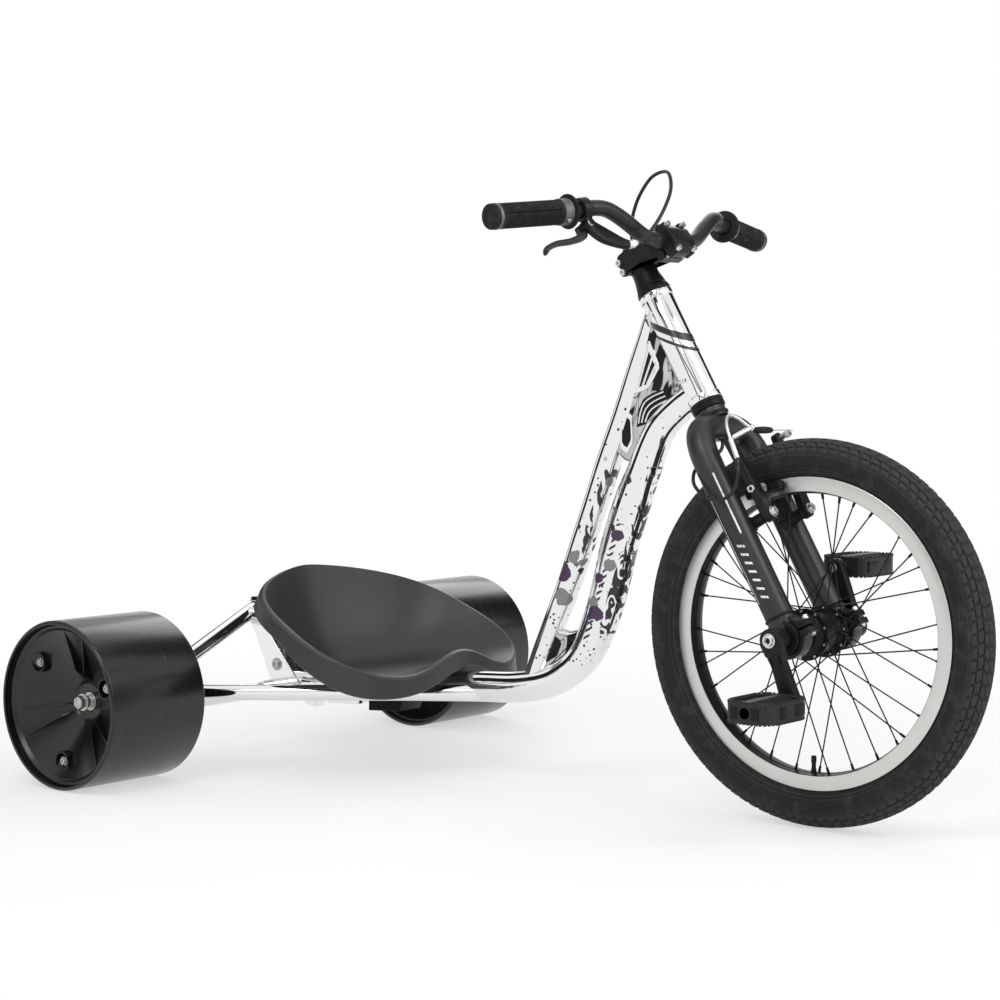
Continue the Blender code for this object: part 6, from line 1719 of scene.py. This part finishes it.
@dataclass
class Drive:
    """One side's crank and the pedal that it carries."""

    side: Side
    length: float = 85.0
    inner_y: float = 100.0
    outer_y: float = 114.0
    pedal_y: float = 122.5
    pedal_width: float = 98.0
    pedal_length: float = 72.0
    pedal_height: float = 29.0
    pedal_wall: float = 5.2

    def crank(self) -> None:
        """Builds a forged crank: a waisted bar between two round ends, with its bolt and collar."""
        s, label, face = self.side.value, self.side.label, self.outer_y
        reach = -s * self.length
        nodes = (f"crank_{label}", f"crank_bolt_{label}")
        piece = Piece(f"crank_arm_{label}", "cranks", "satin_black_paint", nodes, CRANK)
        for start, wide, end, narrow in ((0, 15.5, 0.36, 10.2), (0.3, 10, 1, 12.5)):
            bar = taper_outline((reach * start, 0), wide, (reach * end, 0), narrow, 26)
            piece.add(PAINT, prism(bar, s * self.inner_y, s * face, 2.2, steps=4))
        groove = taper_outline((reach * 0.28, 0), 6.2, (reach * 0.78, 0), 5.6, 16)
        piece.add(DARK_PAINT, prism(groove, s * (face - 0.6), s * (face + 0.3), 0.2))
        collar = ((0.1, 84), (13.2, 84), (14.5, 86), (14.5, 96), (15.2, 101), (0.1, 101))
        piece.add(PAINT, lathe(collar, (0, s, 0), 48, 0.6))
        bolt = ((0.2, 0.3), (9.5, 0.3), (9.5, 1.4), (7.8, 1.8), (7.5, 4.6), (6.8, 5.3), (4.6, 5.3),
                (4.2, 4.8), (4.2, 2.2), (0.2, 2.2))
        piece.add(SILVER, lathe(bolt, (0, s, 0), start=(0, s * face, 0)))
        piece.add(DARK_PAINT, rod((0, s * (face + 2.1), 0), (0, s * (face + 2.4), 0), 4, 0.1, 6))
        piece.add(ZINC, cap_head(*((reach, s * (self.inner_y - out), 0) for out in (0.2, 1.6)), 5.8))
        piece.build()

    def pedal(self) -> None:
        """Builds a pedal: a toothed band with cut-off corners, a barrel housing and ribs inside it."""
        s, label, arm = self.side.value, self.side.label, math.radians(CRANK_TURN)
        x, y, z = self.pedal_length / 2, self.pedal_width / 2, self.pedal_height / 2
        at_x, at_z = (FRONT_X, FRONT_RADIUS) - s * polar(self.length, arm)
        spot = Axes((at_x, s * (self.pedal_y + y), at_z))
        node = f"pedal_{label}"
        piece = Piece(f"pedal_cage_{label}", node, "satin_black_paint", (node,), spot)
        corners = np.array([
            (x, 15 - y), (x, y - 21), (x - 10, y), (10 - x, y), (-x, y - 21), (-x, 15 - y), (7 - x, -y),
            (x - 7, -y),
        ]) * (1, s)
        outer = fillet(corners, 10, 6)
        inner = fillet(corners * (1 - self.pedal_wall / x, 1 - self.pedal_wall / y), 6, 6)
        piece.add(PEDAL_PLASTIC, band(outer, inner, 1.4 - z, z - 1.4, 1, Plane.XY))
        for point in smooth_route(np.concatenate([outer, outer[:1]]) * 0.965, 53)[:-1]:
            teeth = (box((3.4, 3.4, 4), (*point, hand * (z - 2)), 0.6) for hand in (-1, 1))
            piece.add(PEDAL_PLASTIC, *teeth)
        for at in (-y / 3, y / 3):
            piece.add(PEDAL_PLASTIC, box((2 * x - 6, 3.2, 2 * z - 8), (0, at, 0), 0.8))
        half = [(-12, -9), (-7, -z), (7, -z), (12, -9)]
        section = half + [(-a, -b) for a, b in half]
        piece.add(PEDAL_PLASTIC, prism(fillet(section, 2), 2 - y, y - 2, 1))
        piece.add(PEDAL_PLASTIC, rod((0, s * (y - 2), 0), (0, s * y, 0), 8, 0.8, 40))
        wells = [(hand * (x - 0.4), at, 1, long) for hand in (-1, 1) for at, long in ((-24, 26), (14, 18))]
        wells += [(at, y - 0.4, 12, 1) for at in (-15, 15)]
        piece.add(DARK_PAINT, *(box((wide, long, 15), (a, s * b, 0), 0.3) for a, b, wide, long in wells))
        piece.build()

    def build(self) -> None:
        """Builds the side's crank and pedal."""
        self.crank()
        self.pedal()


# Cockpit


@dataclass
class Cockpit:
    """The stem, handlebar, brake lever and cable, in the fork's axes."""

    clamp: tuple[float, float] = (56.0, 577.0)
    bar_radius: float = 11.1
    clamp_radius: float = 12.7
    bar_route: Rows = (
        (56, 35, 577), (59, 63, 582), (63, 99, 602), (63, 127.5, 616.5), (57, 150.5, 621), (46.5, 175, 621.2),
    )
    bar_tip: Point = (13.7, 320.5, 623.3)
    collar: Rows = (
        (18.4, 565.5), (18.5, 556.5), (19, 551.5), (20.6, 544), (21.7, 538.2), (21.4, 537), (14.6, 537),
        (14.6, 565.5),
    )
    stem_outline: Rows = (
        (-19.5, 566.8), (-23, 571), (-23, 593.5), (-18, 599), (16, 601), (33, 597.5), (54.5, 596.5),
        (54.5, 551.5), (40, 554), (20, 566.8),
    )
    plate_outline: Rows = ((57.5, 549.5), (57.5, 598.5), (66.5, 598.5), (77.5, 586), (80, 564), (72, 549.5))
    stem_ridge: Rows = ((10, 570), (40, 560.5), (40, 563.5), (11, 573.5))
    bracket_centre: Point = (51.2, -164.0, 621.3)
    bracket_route: Rows = (
        (50, -165.5, 608, 16, 14), (49, -160, 596, 23, 13), (50.5, -148, 585, 28, 12),
        (53, -132, 576, 24, 11), (55.5, -118, 569, 17.5, 10.5), (59, -107.5, 564, 12.5, 10),
    )
    pivot: Point = (40.0, -165.0, 599.0)
    lever_route: Rows = (
        (-5, 0, -2, 7.5), (-1, -10, -13, 7), (-5, -34, -19.5, 5.2), (-10.5, -60, -21.5, 4.8),
        (-14.5, -78, -27, 4.7), (-19, -85, -35, 5.6),
    )
    adjuster: Rows = ((58.8, -107.5, 564), (66.3, -94.5, 565.2))
    cable_route: Rows = (
        (67.2, -93, 565.5), (81.5, -78.5, 573.5), (98.8, -59, 592.5), (110.5, -32, 622.8), (111, -16, 650),
        (99.3, -8, 663.3), (75.6, -3, 668.9), (46.1, 0, 660), (24.6, 0, 644.2), (10, 0, 626), (1, 0, 600),
        (0, 0, 560), (0, 0, 500), (0, 0, 420), (0, 0, 350), (0, 0, 306), (-4, -5, 285), (-12, -20, 276),
        (-22, -42, 270), (-26, -63, 260), (-21.5, -84, 238), (-6, -94, 212), (13, -93, 199), (33, -91, 201),
        (47, -87, 216), (53.3, -81.6, 235), (53.84, -80.99, 237.3),
    )

    def spacer(self) -> None:
        """Builds the tapered collar between the headset and the stem."""
        piece = Piece("stem_collar", "steering", "satin_black_paint", ("headset_spacer",), FORK)
        piece.add(DARK_PAINT, lathe(self.collar, (0, 0, 1), 72, 0.8))
        piece.build()

    def stem(self) -> None:
        """Builds the stem's body and faceplate, with their cheeks, ridges and screws."""
        piece = Piece("stem_body", "steering", "satin_black_paint", ("stem", "stem_faceplate"), FORK)
        piece.add(PAINT, prism(fillet(self.stem_outline, 4), -19.8, 19.8, 2.8, steps=4))
        piece.add(PAINT, box((13, 48, 46), (48, 0, self.clamp[1] - 2), 1.6))
        piece.add(PAINT, prism(fillet(self.plate_outline, 4), -24.6, 24.6, 2, steps=4))
        for s in (-1, 1):
            piece.add(DARK_PAINT, prism(fillet(self.stem_ridge, 1), s * 19.5, s * 20.4, 0.4))
            for z in (554, 592.5):
                x = {x: (x, s * 18.3, z) for x in (53.5, 58.5, 60, 71, 73.5, 80)}
                piece.add(SILVER, cap_head(x[71], x[80], 4))
                piece.add(PAINT, rod(x[60], x[73.5], 6.2, 1, 32, 5.6))
                piece.add(ZINC, rod(x[53.5], x[58.5], 2.6, 0.2, 20))
        for z in (572.5, 587.5):
            piece.add(SILVER, cap_head((-18.5, -19.8, z), (-18.5, -25.2, z), 4.6))
            piece.add(PAINT, rod((-18.5, -15, z), (-18.5, -20.5, z), 6.4, 1))
        piece.add(PAINT, ring((0, 0, 599), (0, 0, 602.2), 17.2, 14.6, 0.6))
        piece.build()

    def bar(self) -> None:
        """Builds the handlebar: one bent tube, thicker where the stem holds it."""
        x, z = self.clamp
        bend = smooth_route([*self.bar_route, self.bar_tip], 110)
        left = np.vstack([[(x, y, z) for y in (8, 16, 24, 30)], bend[bend[:, 1] < 317.5]])
        path = np.vstack([(left * (1, -1, 1))[::-1], [(x, 0, z)], left])
        share = np.clip((46 - np.abs(path[:, 1])) / 11, 0.0, 1.0)
        radii = self.bar_radius + (self.clamp_radius - self.bar_radius) * share * share * (3 - 2 * share)
        piece = Piece("handlebar_tube", "steering", "satin_black_paint", ("handlebar",), FORK)
        piece.add(BAR_PAINT, sweep(path, radii, superellipse(40), up=(1.0, 0.0, 0.0)))
        piece.build()

    def perch(self) -> None:
        """Builds the lever's bracket: a clamp round the bar, a tapering arm, and the pivot's boss."""
        piece = Piece("lever_bracket", "steering", "satin_black_paint", ("brake_perch",), FORK)
        along = unit(np.array((-10.5, -25, 0))) * 6
        piece.add(PAINT, ring(self.bracket_centre - along, self.bracket_centre + along, 16.6, 11.4, 1, 64))
        line = smooth_route(self.bracket_route, 60)
        piece.add(PAINT, sweep(line[:, :3], line[:, 3:], superellipse(40, 3.0), up=(1.0, 0.0, 0.0)))
        x = {x: (self.pivot[0] + x, *self.pivot[1:]) for x in (-11.2, 0, 11.8, 12, 13.2, 15.5)}
        piece.add(PAINT, rod(x[0], x[12], 7.5, 1, 40))
        piece.add(SILVER, rod(x[-11.2], x[13.2], 2.7, 0.5, 24), cap_head(x[11.8], x[15.5], 5.6))
        piece.build()

    def barrel(self) -> None:
        """Builds the silver cable adjuster: stations (along, radius), with a knurled wheel between."""
        start, tip = np.array(self.adjuster)
        length, run, turn = float(np.linalg.norm(tip - start)), unit(tip - start), angles(72)
        along, radius = np.array([
            (-1.8, 4), (-1, 5), (1, 5.6), (7, 6), (10, 5.2), (length - 1, 3.6), (length, 2.8),
        ]).T[..., None]
        radius = radius - 0.4 * ((along > 0.5) & (along < 7.2) & (np.cos(turn * 18) > 0))
        out = spokes_about(run, turn, seed=(0.0, 0.0, 1.0))
        piece = Piece("cable_adjuster", "steering", "machined_alloy", ("barrel_adjuster",), FORK)
        piece.add(SILVER, grid_skin(start + along[..., None] * run + radius[..., None] * out))
        piece.build()

    def lever(self) -> None:
        """Builds the lever's blade: an oval section along its curve, with a hooked tip."""
        line = smooth_route(self.lever_route, 72)
        sizes = line[:, 3:] * (2.0, 1.7)
        sizes[-6:] *= np.sqrt(np.linspace(1.0, 0.05, 6))[:, None]
        x, y, z = self.pivot
        piece = Piece("lever_blade", "brake_lever", "satin_black_paint", ("brake_lever",), FORK)
        path = line[:, :3] + self.pivot
        piece.add(BAR_PAINT, sweep(path, sizes, superellipse(32, 2.3), up=(0.0, 0.0, 1.0)))
        piece.add(BAR_PAINT, ring((x - 10, y, z), (x - 0.3, y, z), 6.5, 3, 0.8))
        piece.build()

    def cable(self) -> None:
        """Builds the cable's housing with a ferrule at its lower end."""
        line = smooth_route(self.cable_route, 420)
        piece = Piece("cable_housing", "steering", "cable_housing_black", ("brake_cable",), FORK)
        piece.add(CABLE_SKIN, sweep(line, 2.5, superellipse(16)))
        piece.add(CABLE_SKIN, rod(line[-1] - unit(line[-1] - line[-8]) * 9, line[-1], 3.1, 0.3, 24))
        piece.build()

    def build(self) -> None:
        """Builds every piece of the cockpit."""
        for make in (self.spacer, self.stem, self.bar, self.perch, self.barrel, self.lever, self.cable):
            make()
        for side in Side:
            Grip(side, self).build()


@dataclass
class Grip:
    """One grip with its flange and its clamp ring, on the bar's straight end."""

    side: Side
    cockpit: Cockpit
    start_y: float = 186.2
    radius: float = 17.0
    flange_radius: float = 23.5
    rib_depth: float = 1.9
    rib_count: int = 24
    panels: int = 5

    def line(self) -> tuple[Array, Array, float, float]:
        """The straight line under the grip.

        Returns:
            Its start, its direction, and how far along it the flange and the tip are.
        """
        flip = (1.0, self.side.value, 1.0)
        start, tip = self.cockpit.bar_route[-1] * np.array(flip), self.cockpit.bar_tip * np.array(flip)
        along = unit(tip - start)
        flange = (self.start_y - abs(start[1])) / abs(along[1])
        return start, along, flange, float(np.linalg.norm(tip - start))

    def rubber(self) -> None:
        """Builds the grip: radius = base + ribs running round it, less panels cut along it."""
        start, along, flange, end = self.line()
        inner, edge, label = flange + 19.5, self.radius, self.side.label
        first, last, turn = inner + 3, end - 15, angles(96)
        u = np.concatenate([
            np.linspace(inner + 0.3, first, 5), np.linspace(first, last, 200)[1:],
            np.linspace(last, end - 2, 6)[1:],
        ])
        mid = np.clip((u - first) / 3, 0, 1) * np.clip((last - u) / 3, 0, 1)
        wave = 0.5 + 0.5 * np.cos((u - first) * 2 * math.pi * self.rib_count / (last - first))
        gaps = np.abs(turn / (2 * math.pi) * self.panels % 1.0 - 0.5) < 0.035
        radius = edge - mid[:, None] * (self.rib_depth * (1 - wave**0.6)[:, None] + 1.6 * gaps)
        corners = [(end - 0.8, edge - 0.8), (end, edge - 2.6), (end, 10), (end - 1.2, 9), (end - 1.2, 0.2)]
        tail = np.array(corners)
        u = np.concatenate([[inner + 0.3], u, tail[:, 0]])[:, None, None]
        radius = np.vstack([np.full(96, 11.8), radius, np.repeat(tail[:, 1:], 96, axis=1)])
        piece = Piece(f"grip_rubber_{label}", "steering", "grip_rubber", (f"grip_{label}",), FORK)
        piece.add(GRIP, grid_skin(start + u * along + radius[..., None] * spokes_about(along, turn)))
        collar = ((15, end - 12.5), (17.4, end - 12), (17.4, end - 7.5), (15, end - 7))
        piece.add(GREY, lathe(collar, along, 96, 0.3, start))
        rim = self.flange_radius
        lip = ((11.5, flange), (rim - 1, flange), (rim, flange + 1.2), (rim, flange + 2.8),
               (rim - 1.2, flange + 3.7), (16, flange + 3.7), (13.8, inner), (11.5, inner))
        piece.add(GRIP, lathe(lip, along, 96, 0.6, start))
        piece.build()

    def clamp_ring(self) -> None:
        """Builds the grip's anodised clamp ring with its screw and ridges."""
        start, along, flange, _ = self.line()
        label, low, high = self.side.label, flange + 4.1, flange + 19.4
        half = [(14.2, 0), (17.6, 0), (18, 0.6), (18, 1.8), (17.6, 2.2)]
        profile = [(r, low + y) for r, y in half] + [(r, high - y) for r, y in reversed(half)]
        nodes = (f"grip_ring_{label}",)
        piece = Piece(f"grip_clamp_{label}", "steering", "grey_anodised_alloy", nodes, FORK)
        piece.add(GREY, lathe(profile, along, 96, 0.2, start))
        lean = np.array((0.35, 0.0, -1.0))
        down = unit(lean - along * (along @ lean))
        spot = start + along * (low + high) / 2 + down * 16
        piece.add(SILVER, cap_head(spot, spot + down * 3.2, 2.6))
        piece.build()

    def build(self) -> None:
        """Builds the grip and its ring."""
        self.rubber()
        self.clamp_ring()


# Brake


@dataclass
class Brake:
    """The rim brake: an arm each side on the fork's bosses, with its shoe, and the cable's guide."""

    wheel: FrontWheel
    back: float = 36.0
    thickness: float = 12.0
    boss: tuple[float, float] = (47.0, 160.0)
    top: tuple[float, float] = (60.0, 272.0)
    gap: float = 2.0
    shoe: Point = (56.0, 10.0, 11.0)
    shoe_reach: float = 36.0
    post_x: float = 41.0
    cups: Rows = ((30, 34, 6.6), (34.5, 38.5, 5.8), (53, 56, 6.2))
    guide_route: Rows = (
        (54, -80.8, 238.2), (55, -78.5, 260), (55.5, -72, 286), (55.5, -57, 301), (58, -43, 297),
        (61, -35, 286), (62.5, -31, 280.5), (64, -27, 275),
    )
    boot_line: Rows = ((64, -24.6, 274.5), (64, 70, 272.2))
    boot_length: float = 42.0

    @property
    def shoe_radius(self) -> float:
        """How far from the axle the middle of a shoe lies."""
        return self.wheel.rim_radius - self.wheel.track / 2 + 3

    def arm(self, side: Side) -> None:
        """Builds one arm, its shoe's post and its anchor or cradle.

        Args:
            side: Which side.
        """
        s, label, face = side.value, side.label, self.back + self.thickness
        nodes = (f"brake_arm_{label}",)
        piece = Piece(f"brake_arm_cast_{label}", f"brake_arm_{label}", "satin_black_paint", nodes, FORK)
        (foot_y, foot_z), (head_y, head_z) = self.boss, self.top
        outline = taper_outline((s * foot_y, foot_z), 10.5, (s * head_y, head_z), 6.5, 26)
        piece.add(PAINT, prism(outline, self.back, face, 1.8, Plane.YZ, 4))
        rib = taper_outline((s * foot_y, foot_z + 30), 4, (s * head_y, head_z - 14), 2.6, 16)
        piece.add(DARK_PAINT, prism(rib, face - 0.4, face + 0.4, 0.3, Plane.YZ))
        z = math.sqrt(self.shoe_radius**2 - self.shoe_reach**2)
        back = self.wheel.half_width + self.gap + self.shoe[1] + 0.3
        piece.add(ZINC, rod((self.post_x, s * back, z), (self.post_x, s * 57, z), 3.2, 0.4, 24))
        for low, high, radius in self.cups:
            cup = ring((self.post_x, s * low, z), (self.post_x, s * high, z), radius, 3.1, 0.6, 40)
            piece.add(ZINC, cup)
        piece.add(SILVER, hex_head((self.post_x, s * 56, z), (self.post_x, s * 61, z), 6.2, 0.5))
        if side is Side.RIGHT:
            before, tip = np.array(self.guide_route[-2:])
            run = unit(tip - before)
            middle = tip - run * 3.5
            piece.add(SILVER, rod((self.back + 6, s * head_y, head_z), middle, 4, 0.6, 24))
            piece.add(SILVER, ring(middle - run * 2.5, middle + run * 2.5, 5, 2.8, 0.4))
        else:
            start, face, end = ((x, 62, 270) for x in (self.back + 2, 56, 62.8))
            piece.add(SILVER, rod(start, end, 4.6), hex_head(face, end, 6, 0.4))
        piece.build()

    def pad(self, side: Side) -> None:
        """Builds a shoe: a block that follows the braking track, and its holder.

        Args:
            side: Which side.
        """
        s, label, radius = side.value, side.label, self.shoe_radius
        length, thick, height = self.shoe
        middle, spread = math.asin(self.shoe_reach / radius), length / 2 / radius
        turn = np.linspace(middle - spread, middle + spread, 24)
        low, high = (polar(radius + lift, turn)[:, ::-1] for lift in (-height / 2, height / 2))
        outline = fillet(np.vstack([low, high[::-1]]), 2.2, 3)
        start = self.wheel.half_width + self.gap
        nodes = (f"brake_pad_{label}",)
        piece = Piece(f"brake_shoe_{label}", f"brake_arm_{label}", "grip_rubber", nodes, FORK)
        piece.add(DARK_PAINT, prism(outline, s * (start + 5), s * (start + thick), 1.4))
        piece.add(PAD_RUBBER, prism(outline, s * start, s * (start + 5.2), 0.6))
        piece.build()

    def screw(self, side: Side) -> None:
        """Builds the screw that holds an arm on its boss.

        Args:
            side: Which side.
        """
        face, label, (y, z) = self.back + self.thickness + 0.3, side.label, self.boss
        x = {out: (face + out, side.value * y, z) for out in (0.3, 1.2, 1.4, 6)}
        piece = Piece(f"arm_screw_{label}", "steering", "zinc_steel", (f"brake_bolt_{label}",), FORK)
        piece.add(SILVER, cap_head(x[1.2], x[6], 6.2))
        piece.add(ZINC, ring(x[0.3], x[1.4], 8, 4, 0.3))
        piece.build()

    def guide(self) -> None:
        """Builds the bent guide pipe, silver, with the sleeve that takes the cable's end."""
        line = smooth_route(self.guide_route, 80)
        piece = Piece("cable_guide", "brake_arm_right", "machined_alloy", ("brake_noodle",), FORK)
        piece.add(SILVER, sweep(line, 2.2, superellipse(20)), rod(line[0], line[20], 3.6, 0.5))
        piece.build()

    def boot(self) -> None:
        """Builds the rubber bellows over the wire, radius = swell + ridges, and the wire beyond it."""
        start, end = np.array(self.boot_line)
        u = np.linspace(0.0, self.boot_length, 90)
        turn = u / self.boot_length * math.pi
        radius = 2.6 + 1.7 * np.abs(np.sin(turn)) ** 0.5 + 0.6 * np.abs(np.sin(turn * 7))
        profile = [(0.2, 0), *zip(radius, u), (1.2, self.boot_length + 0.5), (0.2, self.boot_length + 0.5)]
        piece = Piece("wire_boot", "brake_arm_right", "cable_housing_black", ("cable_boot",), FORK)
        piece.add(PAD_RUBBER, lathe(profile, end - start, 32, start=start))
        piece.add(SILVER, rod(start + unit(end - start) * 40, end, 0.9, 0.2, 12))
        piece.build()

    def build(self) -> None:
        """Builds both sides and the cable's parts."""
        for side in Side:
            for make in (self.arm, self.pad, self.screw):
                make(side)
        self.guide()
        self.boot()


# Studio


@dataclass
class Studio:
    """The pale floor, soft lamps, the world and the camera, in metres."""

    camera_at: Point = (1.9335, -2.52, 0.598)
    camera_to: Point = (-0.1166, 0.0, 0.4188)
    lens: float = 78.89
    sensor: float = 36.0
    lamps_to: Point = (0.0, 0.0, 0.35)
    floor_rows: tuple[float, ...] = (0.002, 1.0, 4.0, 12.0)
    floor_depth: float = 0.0004
    light: float = 0.72
    screens: Rows = ((-0.35, 0.2), (-2.62, 0.2), (1.35, 0.28), (2.75, 0.24), (-1.62, 0.05), (-1.05, 0.04))

    def link(self, name: str, data: Any, at: Point = (0.0, 0.0, 0.0), to: Point | None = None) -> Any:
        """Adds an object to the scene.

        Args:
            name: Its name.
            data: Its mesh, light or camera.
            at: Where it stands.
            to: What it faces, if it matters.

        Returns:
            The object.
        """
        thing = bpy.data.objects.new(name, data)
        thing.location = at
        if to:
            thing.rotation_euler = (Vector(to) - Vector(at)).to_track_quat("-Z", "Y").to_euler()
        bpy.context.scene.collection.objects.link(thing)
        return thing

    def camera(self) -> None:
        """Adds the camera at the photograph's angle."""
        data = bpy.data.cameras.new("camera")
        data.lens, data.sensor_width = self.lens, self.sensor
        bpy.context.scene.camera = self.link("camera", data, self.camera_at, self.camera_to)

    def rays(self, net: Net) -> Socket:
        """A mask of the rays that show the background: straight, mirrored or through glass."""
        seen = [net.node("LightPath", {}, f"Is {kind} Ray") for kind in ("Camera", "Glossy", "Transmission")]
        return seen[0].larger(*seen[1:])

    def floor(self) -> None:
        """Adds a round pale floor that fades to plain white away from the trike, under its shadow."""
        flat = np.insert(polar(1.0, angles(96)), 2, 0.0, axis=1) * np.array(self.floor_rows)[:, None, None]
        skin = grid_skin(np.concatenate([flat, flat[-1:] - (0, 0, 0.01)]))
        mesh = bpy.data.meshes.new("studio_floor")
        points = skin.points - (0, 0, self.floor_depth)
        mesh.from_pydata(points.tolist(), [], skin.quads.tolist() + skin.caps)
        material = bpy.data.materials.new("studio_white")
        material.use_nodes = True
        net = Net(material.node_tree)
        x, y, _ = net.place().parts()
        far = (x * x + y * y) ** 0.5
        matt = net.node("BsdfDiffuse", {"Color": (0.9, 0.9, 0.9, 1.0)})
        white = net.node("Emission", {"Color": (1.0, 1.0, 1.0, 1.0), "Strength": 1.0})
        mask = self.rays(net) * (0.55 + 0.45 * far.above(1.4, 0.6))
        net.node("OutputMaterial", {"Surface": net.node("MixShader", {0: mask, 1: matt, 2: white})})
        mesh.materials.append(material)
        self.link("studio_floor", mesh)

    def world(self) -> None:
        """Adds a white surround, in which mirrored rays also meet a few dark studio screens."""
        world = bpy.data.worlds.new("studio")
        world.use_nodes = True
        bpy.context.scene.world = world
        net = Net(world.node_tree)
        x, y, z = net.node("TexCoord", {}, "Generated").parts()
        turn = y.angle(x)
        dark = abs(z - 0.34).below(0.035, 0.02) * 0.8
        for middle, half in self.screens:
            screen = abs(turn - middle).below(half, 0.03) * z.below(0.8, 0.05) * z.above(-0.02, 0.02)
            dark = dark.larger(screen)
        lamp = net.node("LightPath", {}, "Is Glossy Ray")
        seen = net.mix(dark * lamp, (1.0, 1.0, 1.0), (0.015, 0.015, 0.015))
        shown = net.node("Background", {"Color": seen, "Strength": 1.0})
        soft = net.node("Background", {"Color": (1.0, 1.0, 1.0, 1.0), "Strength": self.light})
        blend = net.node("MixShader", {0: self.rays(net), 1: soft, 2: shown})
        net.node("OutputWorld", {"Surface": blend})

    def lamp(self, name: str, at: Point, size: float, watts: float) -> None:
        """Adds a square soft lamp that faces the trike's middle.

        Args:
            name: Its name.
            at: Where it stands.
            size: The length of its edge.
            watts: Its power.
        """
        data = bpy.data.lights.new(name, "AREA")
        data.size, data.energy = size, watts
        self.link(name, data, at, self.lamps_to)

    def build(self) -> None:
        """Builds the studio."""
        bpy.context.scene.view_settings.view_transform = "Standard"
        self.camera()
        self.floor()
        self.world()
        self.lamp("key", (0.6, -2.6, 3.0), 1.6, 34.0)
        self.lamp("fill", (3.0, 0.8, 1.8), 1.6, 14.0)
        self.lamp("back", (-1.6, 2.4, 2.2), 1.8, 16.0)
        self.lamp("bowl", (1.5, -0.2, 1.6), 0.9, 8.0)


def dress_kept_nodes(nodes: dict[str, Any]) -> None:
    """Gives the CAD nodes that stay, all of them inside the hubs, their finish.

    Args:
        nodes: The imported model's objects by name.
    """
    for name, node in nodes.items():
        if any(word in name for word in ("bearing", "axle", "spindle")):
            for slot in node.material_slots:
                slot.material = ZINC.material()


def main() -> None:
    """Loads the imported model, builds every sub-assembly over it and sets up the studio."""
    logging.basicConfig(level=logging.INFO, format="%(name)s %(message)s")
    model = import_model()
    frame, wheel = Frame(), FrontWheel()
    rear, drives = map(RearWheel, Side), map(Drive, Side)
    for assembly in (frame, Seat(frame), *rear, wheel, Fork(), *drives, Cockpit(), Brake(wheel)):
        assembly.build()
    dress_kept_nodes(model["nodes"])
    Studio().build()
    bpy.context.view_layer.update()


if __name__ == "__main__":
    main()
